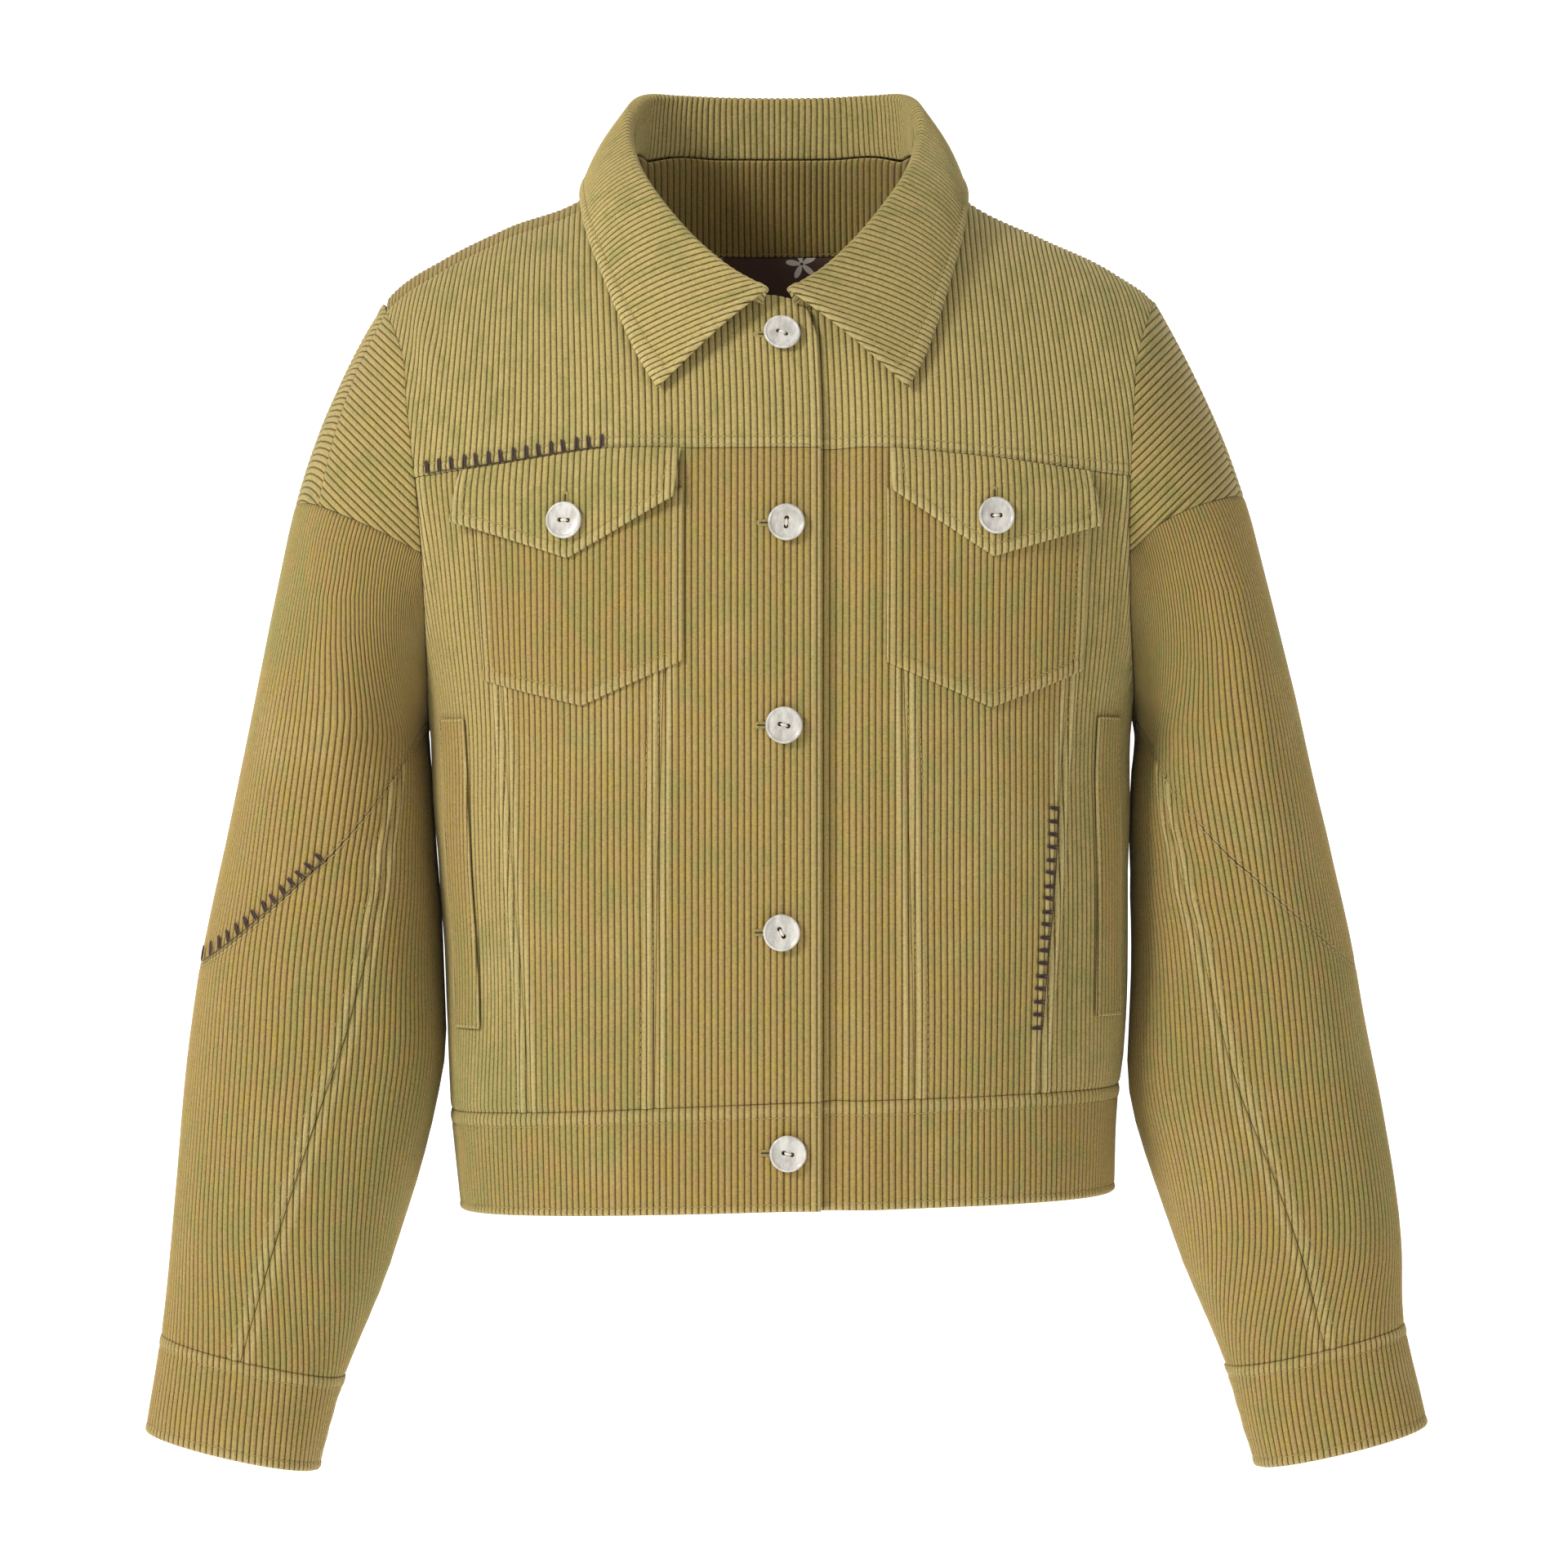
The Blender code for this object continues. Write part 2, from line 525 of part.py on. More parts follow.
    def cap_seam(self, turn):
        """Section number of the seam below the cap; 0 past its ends."""
        share = np.abs(turn) / np.where(turn < 0, self.cap_end[BACK], self.cap_end[FRONT])
        height = by_side(CAP_SEAM, np.full_like(share, self.sign), np.minimum(share, 1))
        return np.where(share < 1, self.level_with(turn, height, 1), 0.0)

    def elbow_seam(self, turn):
        """Section number of the slanting seam at the elbow."""
        a = np.radians(turn)
        height = ELBOW_MIDDLE - ELBOW_SLOPE * np.cos(a) - ELBOW_BOW * np.abs(np.sin(a))
        return self.level_with(turn, height)


SLEEVES = {side: Sleeve(side) for side in SIDES}


# ---------------------------------------------------------------- cloth pieces
COLOURS = {
    "corduroy": ((0.420, 0.330, 0.110), 0.95, 0.0),
    "lining": ((0.055, 0.028, 0.020), 0.70, 0.0),
    "button": ((0.620, 0.590, 0.530), 0.40, 0.6),
}


def finish(name):
    """The material of a finish, made once."""
    material = bpy.data.materials.get(name)
    if material is None:
        colour, rough, metal = COLOURS[name]
        material = bpy.data.materials.new(name)
        material.use_nodes = True
        shader = material.node_tree.nodes["Principled BSDF"]
        shader.inputs["Base Color"].default_value = (*colour, 1.0)
        shader.inputs["Roughness"].default_value = rough
        shader.inputs["Metallic"].default_value = metal
        material.diffuse_color = (*colour, 1.0)
    return material


def lean(points):
    """The small stance of the whole jacket, which every piece shares."""
    moved = points.copy()
    moved[..., 0] += LEAN_X * ease((points[..., 2] - LEAN_FROM) / (LEAN_TO - LEAN_FROM))
    x, z = moved[..., 0].copy(), points[..., 2]
    for side, sign in (("right", -1), ("left", 1)):
        table = HANG[side]
        body, inner, outer, own, near, far = (
            0.001 * np.interp(-1000 * z, table[:, 0], table[:, k]) for k in range(1, 7))
        out = sign * x
        draw = (own * np.clip((out - HANG_FROM) / (body - HANG_FROM), 0, 1)
                + (near - own) * np.clip((out - body) / (inner - body), 0, 1)
                + (far - near) * np.clip((out - inner) / (outer - inner), 0, 1))
        moved[..., 0] -= sign * draw
    lift = ease((z - LIFT_FROM) / (LIFT_TO - LIFT_FROM)) * ease((np.abs(x) - 0.175) / 0.012)
    moved[..., 2] += SLEEVE_LIFT * lift
    return moved


def add_object(name, bm, material):
    """An object made from a bmesh."""
    bmesh.ops.recalc_face_normals(bm, faces=bm.faces)
    if bm.calc_volume(signed=True) < 0:
        bmesh.ops.reverse_faces(bm, faces=bm.faces)
    mesh = bpy.data.meshes.new(name)
    bm.to_mesh(mesh)
    bm.free()
    mesh.materials.append(finish(material))
    thing = bpy.data.objects.new(name, mesh)
    bpy.context.scene.collection.objects.link(thing)
    return thing


def cloth(name, columns, rows, surface, wall=WALL, material="corduroy"):
    """A closed wall of cloth. surface gives points and outward directions for u and v, 0 to 1."""
    bm = bmesh.new()
    bmesh.ops.create_grid(bm, x_segments=columns, y_segments=rows, size=0.5)
    inner = bmesh.ops.extrude_face_region(bm, geom=bm.faces[:])["geom"]
    inner = [v for v in inner if isinstance(v, bmesh.types.BMVert)]
    bmesh.ops.translate(bm, verts=inner, vec=(0, 0, -1))
    grid = np.array([v.co for v in bm.verts])
    points, normals = surface(grid[:, 0] + 0.5, grid[:, 1] + 0.5)
    placed = lean(points + normals * (grid[:, 2] * wall)[:, None])
    for vertex, place in zip(bm.verts, placed):
        vertex.co = place
    thing = add_object(name, bm, material)
    thing.data.shade_smooth()
    return thing


def raised(points, normals, lift):
    """Points moved out along their directions."""
    return points + normals * np.broadcast_to(lift, points.shape[:-1])[..., None], normals


def body_normals(points, side=None):
    """Outward directions on the body, shared with the sleeves at the armholes."""
    normals = TORSO.normal(points)
    for name in SIDES if side is None else (side,):
        normals = SLEEVES[name].near_armhole(points, normals)
    return normals


def spread(u, stops, values):
    """u from 0 to 1 mapped through stops, so that a column falls on each corner."""
    return np.interp(u, stops, values)


# ---------------------------------------------------------------- body
# Rows of the body below the underarm, from there to the cap's corner, and to the yoke seam
LOW_ROWS, ARM_ROWS, CHEST_ROWS, YOKE_ROWS = 8, 3, 2, 6
FRONT_ROWS = LOW_ROWS + ARM_ROWS + CHEST_ROWS
BACK_ROWS = FRONT_ROWS + YOKE_ROWS


def yoke_height(x):
    """Height of the yoke seam."""
    return by_side(YOKE, x, np.abs(x))


def seam_height(table, x):
    """Height of the waist seam or the hem, which are not quite level."""
    return np.interp(x, SEAM_AT, table)


def side_border(side, z, face):
    """Arc length of a panel's outer edge: the armhole's, or the side seam's below it."""
    sign, sleeve = SIDES[side], SLEEVES[side]
    hole = TORSO.arc(sign * (sleeve.armhole_x(z) - 0.8 * SEAM), z, face)
    seam = TORSO.side_arc(z, sign, face) - sign * SEAM / 2
    return np.where(z > UNDERARM, hole, seam)


def underlap(points, side):
    """How far a point of the left front lies under the right one."""
    if side == "right":
        return np.zeros(points.shape[:-1])
    past = (points[..., 0] - OVERLAP - 0.004) / (UNDERLAP_END - OVERLAP - 0.004)
    return -UNDERLAP_DROP * (1 - ease(past))


def body_height(row, low, high):
    """Height of a row of the body, from its lower to its upper edge."""
    arm, corner = LOW_ROWS, LOW_ROWS + ARM_ROWS
    lower = low + (UNDERARM - low) * row / arm
    middle = UNDERARM + (CAP_CORNER - UNDERARM) * (row - arm) / ARM_ROWS
    upper = CAP_CORNER + (high - CAP_CORNER) * (row - corner) / CHEST_ROWS
    return np.where(row < arm, lower, np.where(row < corner, middle, upper))


def front_panel(side, inner, outer, stops=(0.0, 1.0)):
    """A front piece from the waist to the yoke, between two edges given as arc lengths."""
    sign = SIDES[side]

    def surface(u, v):
        x = np.full_like(u, sign * 0.1)
        for _ in range(4):
            low = seam_height(WAIST_SEAM, x) + SEAM / 2
            high = yoke_height(x) - SEAM / 2
            z = body_height(v * FRONT_ROWS, low, high)
            a, b = inner(z), outer(z)
            s = a + (b - a) * spread(u, np.linspace(0, 1, len(stops)), stops)
            points = TORSO.at_arc(s, z, FRONT)
            x = points[..., 0]
        normals = body_normals(points, side)
        return raised(points, normals, underlap(points, side))

    return surface


def slant(side, column, shift):
    """Arc length of a slanting front seam, moved by part of the seam gap."""
    sign = SIDES[side]
    return lambda z: TORSO.arc(sign * curve(SLANT, column, z), z, FRONT) + sign * shift


def build_fronts(side):
    """The three lower pieces of one front."""
    sign = SIDES[side]
    edge = lambda z: np.full_like(z, -sign * OVERLAP)
    outer_edge = lambda z: side_border(side, z, FRONT)
    cloth(f"front_centre_{side}", CENTRE_COLUMNS, FRONT_ROWS,
          front_panel(side, edge, slant(side, 1, -SEAM / 2)))
    cloth(f"front_middle_{side}", MIDDLE_COLUMNS, FRONT_ROWS,
          front_panel(side, slant(side, 1, SEAM / 2), slant(side, 2, -SEAM / 2)))
    cloth(f"front_side_{side}", SIDE_COLUMNS, FRONT_ROWS,
          front_panel(side, slant(side, 2, SEAM / 2), outer_edge, SIDE_STOPS))


def upper_edges(side, face):
    """Arc lengths down from the shoulder line to the lower and upper edges of a shoulder area."""
    sign, seam = SIDES[side], shoulder_seam(SIDES[side])

    def low(x):
        height = yoke_height(x) if face == FRONT else np.full_like(x, BACK_TOP)
        return TORSO.down_to(x, height, face)

    def high(x):
        out = sign * x
        if face == BACK:
            return np.where(np.abs(x) < NECK_HALF - 1e-6, neck_back(x), -seam + SEAM / 2)
        corner = TORSO.down_to(x, curve(NECK_CORNER, 1, np.maximum(-out, 0)), FRONT)
        inside = np.where(out < 0, corner, neck_front(x))
        return np.where(out < NECK_HALF - 1e-6, inside, seam + SEAM / 2)

    return low, high


def border_x(side, part, low, high, face):
    """Distance from the middle at which a row of an upper piece meets the armhole."""
    sign, sleeve = SIDES[side], SLEEVES[side]
    out = np.full_like(part, 0.19)
    for _ in range(12):
        x = sign * out
        down = low(x) + (high(x) - low(x)) * part
        z = TORSO.at_profile(x, down, face)[..., 2]
        out = 0.5 * out + 0.5 * sleeve.armhole_x(z)
    return out - 0.8 * SEAM


def build_yoke(side):
    """The front shoulder piece: from the yoke seam up to the neckline and the shoulder seam."""
    sign = SIDES[side]
    low, high = upper_edges(side, FRONT)
    neck = (-OVERLAP, -0.010, 0.0, 0.012, 0.024, 0.035, 0.046, 0.056, 0.065, 0.073, NECK_HALF)
    columns = len(neck) - 1 + BACK_OUTER
    stops = np.arange(len(neck)) / columns

    def surface(u, v):
        limit = border_x(side, v, low, high, FRONT)
        part = np.interp(u * columns - len(neck) + 1, np.arange(BACK_OUTER + 1), OUTER_STOPS)
        out = np.where(u < stops[-1], spread(u, stops, neck), NECK_HALF + (limit - NECK_HALF) * part)
        x = sign * out
        bottom = low(x) - SEAM / 2
        points = TORSO.at_profile(x, bottom + (high(x) - bottom) * v, FRONT)
        return raised(points, body_normals(points, side), underlap(points, side))

    cloth(f"front_yoke_{side}", columns, YOKE_ROWS, surface)


BACK_TOP = -0.150                         # above this height the back's rows follow the shoulder
CENTRE_COLUMNS, MIDDLE_COLUMNS, SIDE_COLUMNS = 4, 4, 5
SIDE_STOPS = (0.0, 0.24, 0.48, 0.72, 0.90, 1.0)    # columns of the side piece, the last one narrow
FRONT_COLUMNS = CENTRE_COLUMNS + MIDDLE_COLUMNS + SIDE_COLUMNS
BACK_OUTER, BACK_NECK = 5, 10             # columns of the back outside and inside the neck
BACK_COLUMNS = 2 * BACK_OUTER + BACK_NECK
OUTER_STOPS = (0.0, 0.23, 0.46, 0.69, 0.91, 1.0)   # outer columns, from the neck to the armhole


def back_column(column, right, left, reach):
    """A place across the back, which has columns at both sides of the neck."""
    at = np.arange(BACK_OUTER + 1)
    first = -reach + (right + reach) * np.interp(BACK_OUTER - column, at, OUTER_STOPS)
    middle = reach * (2 * (column - BACK_OUTER) / BACK_NECK - 1)
    last = reach + (left - reach) * np.interp(column - BACK_OUTER - BACK_NECK, at, OUTER_STOPS)
    return np.where(column < BACK_OUTER, first,
                    np.where(column > BACK_OUTER + BACK_NECK, last, middle))


def back_grid():
    """Points and outward directions of the back at its columns and rows, nought to the last."""
    column, row = np.meshgrid(np.arange(BACK_COLUMNS + 1.0), np.arange(BACK_ROWS + 1.0),
                              indexing="ij")
    neck_arc = float(TORSO.arc(NECK_HALF, BACK_TOP, BACK))
    x = np.zeros_like(row)
    for _ in range(3):
        low = seam_height(WAIST_SEAM, x) + SEAM / 2
        z = body_height(np.minimum(row, FRONT_ROWS), low, BACK_TOP)
        right, left = side_border("right", z, BACK), side_border("left", z, BACK)
        lower = TORSO.at_arc(back_column(column, right, left, neck_arc), z, BACK)
        x = lower[..., 0]
    edges = {side: upper_edges(side, BACK) for side in SIDES}
    part = np.clip((row - FRONT_ROWS) / YOKE_ROWS, 0, 1)
    right = -border_x("right", part, *edges["right"], BACK)
    left = border_x("left", part, *edges["left"], BACK)
    x = back_column(column, right, left, NECK_HALF)
    bottom = np.where(x < 0, edges["right"][0](x), edges["left"][0](x))
    top = np.where(x < 0, edges["right"][1](x), edges["left"][1](x))
    upper = TORSO.at_profile(x, bottom + (top - bottom) * part, BACK)
    points = np.where((row > FRONT_ROWS)[..., None], upper, lower)
    return points, body_normals(points)


def back_layer(name, columns, rows, depth, **cloth_options):
    """A piece on the back's own columns and rows, at a depth inside its outer surface."""
    points, normals = BACK_GRID

    def surface(u, v):
        column = np.interp(u, np.linspace(0, 1, len(columns)), columns)
        row = np.interp(v, np.linspace(0, 1, len(rows)), rows)
        i = np.minimum((column + 1e-6).astype(int), BACK_COLUMNS - 1)
        j = np.minimum((row + 1e-6).astype(int), BACK_ROWS - 1)
        across, up = (column - i)[:, None], (row - j)[:, None]

        def look(values):
            low = values[i, j] * (1 - across) + values[i + 1, j] * across
            high = values[i, j + 1] * (1 - across) + values[i + 1, j + 1] * across
            return low * (1 - up) + high * up

        return raised(look(points), look(normals), -depth)

    cloth(name, len(columns) - 1, len(rows) - 1, surface, **cloth_options)


BACK_GRID = back_grid()


def build_back():
    """The back, one piece from the waist seam to the neckline and both shoulder seams."""
    back_layer("back", np.arange(BACK_COLUMNS + 1), np.arange(BACK_ROWS + 1), 0.0)


def armhole_rows(side, face):
    """Degrees round the armhole at the rows of the body, from the underarm to the shoulder seam."""
    sleeve, sign = SLEEVES[side], SIDES[side]
    rows = np.arange(LOW_ROWS, FRONT_ROWS + 1, dtype=float)
    top = BACK_TOP if face == BACK else float(yoke_height(np.array(sign * 0.187)))
    z = body_height(rows, UNDERARM, top)
    x = sign * sleeve.armhole_x(z)
    lower = np.stack((x, TORSO.y(x, z, face), z), axis=-1)
    part = np.linspace(0, 1, YOKE_ROWS + 1)[1:]
    low, high = upper_edges(side, face)
    x = sign * border_x(side, part, low, high, face)
    upper = TORSO.at_profile(x, low(x) + (high(x) - low(x)) * part, face)
    turns = sleeve.turn_of(np.concatenate((lower, upper)))
    turns[0] = 180.0 if face == FRONT else -180.0
    return turns


def build_waistband():
    """The waistband: one piece for each front and one for the back."""
    lift = 0.0003

    neck_arc = float(TORSO.arc(NECK_HALF, BACK_TOP, BACK))

    def band(arc_of, face, side=None):
        def surface(u, v):
            x = np.zeros_like(u)
            for _ in range(4):
                low, high = seam_height(HEM, x), seam_height(WAIST_SEAM, x) - SEAM / 2
                z = low + (high - low) * v
                points = TORSO.at_arc(arc_of(u, z), z, face)
                x = points[..., 0]
            normals = TORSO.normal(points)
            drop = underlap(points, side) if side else 0.0
            return raised(points, normals, lift + drop)
        return surface

    def at_side(side, z, face):
        return TORSO.side_arc(z, SIDES[side], face) - SIDES[side] * SEAM / 2

    def front_arc(side):
        sign = SIDES[side]
        stops = (0, CENTRE_COLUMNS, CENTRE_COLUMNS + MIDDLE_COLUMNS, FRONT_COLUMNS)

        def arc_of(u, z):
            marks = [np.full_like(z, -sign * OVERLAP), slant(side, 1, 0)(z), slant(side, 2, 0)(z),
                     at_side(side, z, FRONT)]
            column = u * FRONT_COLUMNS
            out = marks[0]
            for k in range(3):
                part = np.clip((column - stops[k]) / (stops[k + 1] - stops[k]), 0, 1)
                if k == 2:
                    part = spread(part, np.linspace(0, 1, len(SIDE_STOPS)), SIDE_STOPS)
                out = out + (marks[k + 1] - marks[k]) * part
            return out
        return arc_of

    def back_arc(u, z):
        ends = at_side("right", z, BACK), at_side("left", z, BACK)
        return back_column(u * BACK_COLUMNS, *ends, neck_arc)

    for side in SIDES:
        cloth(f"waistband_front_{side}", FRONT_COLUMNS, 2, band(front_arc(side), FRONT, side),
              BAND_WALL)
    cloth("waistband_back", BACK_COLUMNS, 2, band(back_arc, BACK), BAND_WALL)


FACING_ROWS = 2                           # rows of the back that the neck facing covers
INNER_GAP = 0.0004                        # between the back and what lies inside it


def build_inside():
    """What shows through the neck: the back neck facing, and the printed lining below it."""
    depth = WALL + INNER_GAP
    first, last = BACK_OUTER, BACK_OUTER + BACK_NECK
    split = BACK_ROWS - FACING_ROWS
    seam = 0.006
    rows = np.concatenate(([split + seam], np.arange(split + 1, BACK_ROWS + 1)))
    back_layer("neck_facing_back", np.arange(first, last + 1), rows, depth, wall=0.0014)
    columns = np.arange(1, BACK_COLUMNS)
    rows = np.concatenate(([0.3], np.arange(1, split), [split - seam]))
    back_layer("lining_back", columns, rows, depth, wall=THIN_WALL, material="lining")


# ---------------------------------------------------------------- pieces on the fronts
# Chest pockets: distances of inner edge, point and outer edge, and heights of their lower ends
POCKET_TOP = -0.1600
POCKETS = {
    "right": ((0.0505, 0.1015, 0.1545), (-0.2462, -0.2687, -0.2556)),
    "left": ((0.0515, 0.1040, 0.1526), (-0.2470, -0.2695, -0.2502)),
}
# Flaps: distances at the seam, distances at the free edge, heights of the free edge
FLAPS = {
    "right": ((0.0515, 0.1070, 0.1620), (0.0547, 0.1083, 0.1649), (-0.1653, -0.1948, -0.1748)),
    "left": ((0.0531, 0.1040, 0.1538), (0.0539, 0.1042, 0.1571), (-0.1620, -0.1939, -0.1769)),
}
POCKET_WALL, FLAP_WALL, WELT_WALL = 0.0016, 0.0020, 0.0018
# Welts: height of the lower and upper end, distance of the inner edge there, width
WELTS = {
    "right": ((-0.4327, -0.2745), (0.1560, 0.1635), 0.0265),
    "left": ((-0.4263, -0.2735), (0.1570, 0.1600), 0.0265),
}


def build_pocket(side):
    """A chest pocket with a pointed lower edge."""
    sign = SIDES[side]
    outs, lows = POCKETS[side]

    def surface(u, v):
        low = spread(u, (0, 0.5, 1), lows)
        z = low + (POCKET_TOP - low) * v
        s = TORSO.arc(sign * spread(u, (0, 0.5, 1), outs), np.full_like(u, -0.21), FRONT)
        points = TORSO.at_arc(s, z, FRONT)
        return raised(points, TORSO.normal(points), LAY + POCKET_WALL)

    cloth(f"pocket_{side}", 6, 5, surface, POCKET_WALL)


def build_flap(side):
    """A pocket flap, sewn in at the yoke seam."""
    sign = SIDES[side]
    tops, ends, lows = FLAPS[side]
    full = 2 * LAY + POCKET_WALL + FLAP_WALL
    tucked = LAY + FLAP_WALL

    def surface(u, v):
        out = spread(u, (0, 0.5, 1), tops) * v + spread(u, (0, 0.5, 1), ends) * (1 - v)
        x = sign * out
        high = yoke_height(x) - 0.0006
        low = spread(u, (0, 0.5, 1), lows)
        z = low + (high - low) * v
        points = TORSO.at_arc(TORSO.arc(x, z, FRONT), z, FRONT)
        lift = full + (tucked - full) * ease((v - 0.66) / 0.34)
        return raised(points, TORSO.normal(points), lift)

    cloth(f"flap_{side}", 6, 3, surface, FLAP_WALL)


def build_welt(side):
    """The welt of a side pocket."""
    sign = SIDES[side]
    heights, edges, width = WELTS[side]

    def surface(u, v):
        z = heights[0] + (heights[1] - heights[0]) * v
        start = TORSO.arc(sign * np.interp(z, heights, edges), z, FRONT)
        points = TORSO.at_arc(start + sign * width * u, z, FRONT)
        return raised(points, TORSO.normal(points), LAY + WELT_WALL)

    cloth(f"welt_{side}", 2, 7, surface, WELT_WALL)


# ---------------------------------------------------------------- sleeves
LOWER_COLUMNS, UNDER_COLUMNS = 16, 3      # of the outer lower sleeve, and each side of 180 degrees
SECTION_GAP, ELBOW_GAP = 0.0030, 0.0060   # half a seam gap, in section numbers
TURN_GAP = 0.14                           # half a seam gap, in degrees


def lower_turn(u, v, part):
    """Degrees round the lower sleeve at a section: the outer piece, or the one under the arm."""
    front, back = curve(SLEEVE_SEAM, 1, v), curve(BACK_SEAM, 1, v)
    if part == "outer":
        first, last = back + TURN_GAP, front - TURN_GAP
        return first + (last - first) * u
    first, last = front + TURN_GAP, 360 + back - TURN_GAP
    return np.where(u < 0.5, first + (180 - first) * 2 * u, 180 + (last - 180) * (2 * u - 1))


def lower_place(sleeve, u, v, part):
    """Degrees and section of a lower sleeve piece, from the cuff (v 0) to the elbow seam (1)."""
    section = CUFF_TOP - 3.0 * v
    for _ in range(12):
        turn = lower_turn(u, section, part)
        start = sleeve.elbow_seam(turn) + ELBOW_GAP
        end = CUFF_TOP - SECTION_GAP
        section = end + (start - end) * v
    return turn, section


def build_sleeve(side):
    """Cap, upper sleeve, two lower pieces and cuff."""
    sleeve = SLEEVES[side]

    def put(turn, v):
        return sleeve.at(turn, v), sleeve.normal(turn, v)

    rows = {face: armhole_rows(side, face) for face in (FRONT, BACK)}
    ridge = rows[FRONT][-1]
    seam_rows = {}
    for face, turns in rows.items():
        corner = turns[ARM_ROWS]
        share = np.clip((turns - corner) / (ridge - corner), 0, 1)
        moved = corner + (CAP_RIDGE_END[side] - corner) * share
        seam_rows[face] = np.where(np.arange(len(turns)) < ARM_ROWS, turns, moved)

    cap_columns = CHEST_ROWS + YOKE_ROWS

    def cap(face):
        def surface(u, v):
            column = ARM_ROWS + u * cap_columns
            at = np.arange(len(rows[face]))
            start = np.interp(column, at, rows[face])
            end = np.interp(column, at, seam_rows[face])
            gap = (1 - u) * 2.5 * -np.sign(rows[face][0])
            edge = 0.16 * np.sign(rows[face][0]) * u
            turn = start + (end - start) * v + gap + edge
            top = np.maximum(sleeve.cap_seam(turn) - SECTION_GAP, 0.006)
            return put(turn, top * v)
        return surface

    cloth(f"cap_front_{side}", cap_columns, 3, cap(FRONT))
    cloth(f"cap_back_{side}", cap_columns, 3, cap(BACK))

    columns = 2 * (ARM_ROWS + cap_columns)
    top_turns = np.concatenate((seam_rows[BACK], seam_rows[FRONT][::-1][1:]))
    outer = lower_place(sleeve, np.linspace(0, 1, LOWER_COLUMNS + 1),
                        np.ones(LOWER_COLUMNS + 1), "outer")[0]
    under = lower_place(sleeve, np.linspace(0, 1, 2 * UNDER_COLUMNS + 1),
                        np.ones(2 * UNDER_COLUMNS + 1), "under")[0]
    low_turns = np.concatenate((under[UNDER_COLUMNS:] - 360, outer[1:-1], under[:UNDER_COLUMNS + 1]))

    def upper(u, v):
        at = np.arange(columns + 1)
        top = np.interp(u * columns, at, top_turns)
        low = np.interp(u * columns, at, low_turns)
        turn = low + (top - low) * v
        turn = np.clip(turn, -180 + TURN_GAP, 180 - TURN_GAP)
        start = sleeve.cap_seam(turn)
        start = start + np.where(start > 0, SECTION_GAP, 0.0)
        end = sleeve.elbow_seam(turn) - ELBOW_GAP
        return put(turn, end + (start - end) * v)

    cloth(f"sleeve_upper_{side}", columns, 6, upper)
    cloth(f"sleeve_outer_{side}", LOWER_COLUMNS, 9,
          lambda u, v: put(*lower_place(sleeve, u, v, "outer")))
    cloth(f"sleeve_under_{side}", 2 * UNDER_COLUMNS, 9,
          lambda u, v: put(*lower_place(sleeve, u, v, "under")))

    outer = lower_turn(np.linspace(0, 1, LOWER_COLUMNS + 1), float(CUFF_TOP), "outer")
    under = lower_turn(np.linspace(0, 1, 2 * UNDER_COLUMNS + 1), float(CUFF_TOP), "under")
    cuff_turns = np.concatenate((under[UNDER_COLUMNS:] - 360, outer[1:-1],
                                 under[:UNDER_COLUMNS + 1]))

    def cuff(u, v):
        turn = np.interp(u * columns, np.arange(columns + 1), cuff_turns)
        turn = np.clip(turn, -180 + TURN_GAP, 180 - TURN_GAP)
        section = CUFF_END - (CUFF_END - CUFF_TOP - SECTION_GAP) * v
        points, normals = put(turn, section)
        return raised(points, normals, 0.0003)

    cloth(f"cuff_{side}", columns, 2, cuff, BAND_WALL)


# ---------------------------------------------------------------- collar
COLLAR_WALL = 0.0026
# Collar by its position from the back middle (0) to the front end (1):
# fold x, y, z and outer edge x, y, z
COLLAR = np.array((
    (0.0, 0.0000, 0.0700, 0.0600, 0.0000, 0.0770, 0.0075),
    (0.1, 0.0280, 0.0670, 0.0600, 0.0370, 0.0720, 0.0078),
    (0.2, 0.0510, 0.0570, 0.0598, 0.0700, 0.0570, 0.0085),
    (0.3, 0.0670, 0.0380, 0.0575, 0.0915, 0.0330, 0.0080),
    (0.4, 0.0730, 0.0140, 0.0470, 0.0975, 0.0020, 0.0030),
    (0.5, 0.0738, -0.0100, 0.0290, 0.0965, -0.0270, -0.0110),
    (0.6, 0.0680, -0.0400, 0.0090, 0.0930, -0.0560, -0.0310),
    (0.7, 0.0560, -0.0625, -0.0110, 0.0872, -0.0800, -0.0520),
    (0.8, 0.0400, -0.0795, -0.0310, 0.0802, -0.0950, -0.0735),
    (0.9, 0.0225, -0.0905, -0.0465, 0.0722, -0.1060, -0.0935),
    (1.0, 0.0035, -0.0985, -0.0572, 0.0630, -0.1130, -0.1095),
))
ROLL, ROLL_END = 0.0042, 0.0032           # radius of the fold's outer surface, and at its ends
BASE_SHIFT = 0.03                         # how far the collar's ends stand back from the middle
STAND_PART, ROLL_PART = 0.28, 0.44        # shares of the width that end the stand and the fold
COLLAR_CLEAR = 0.0052                     # height of the leaf's outer surface over the body


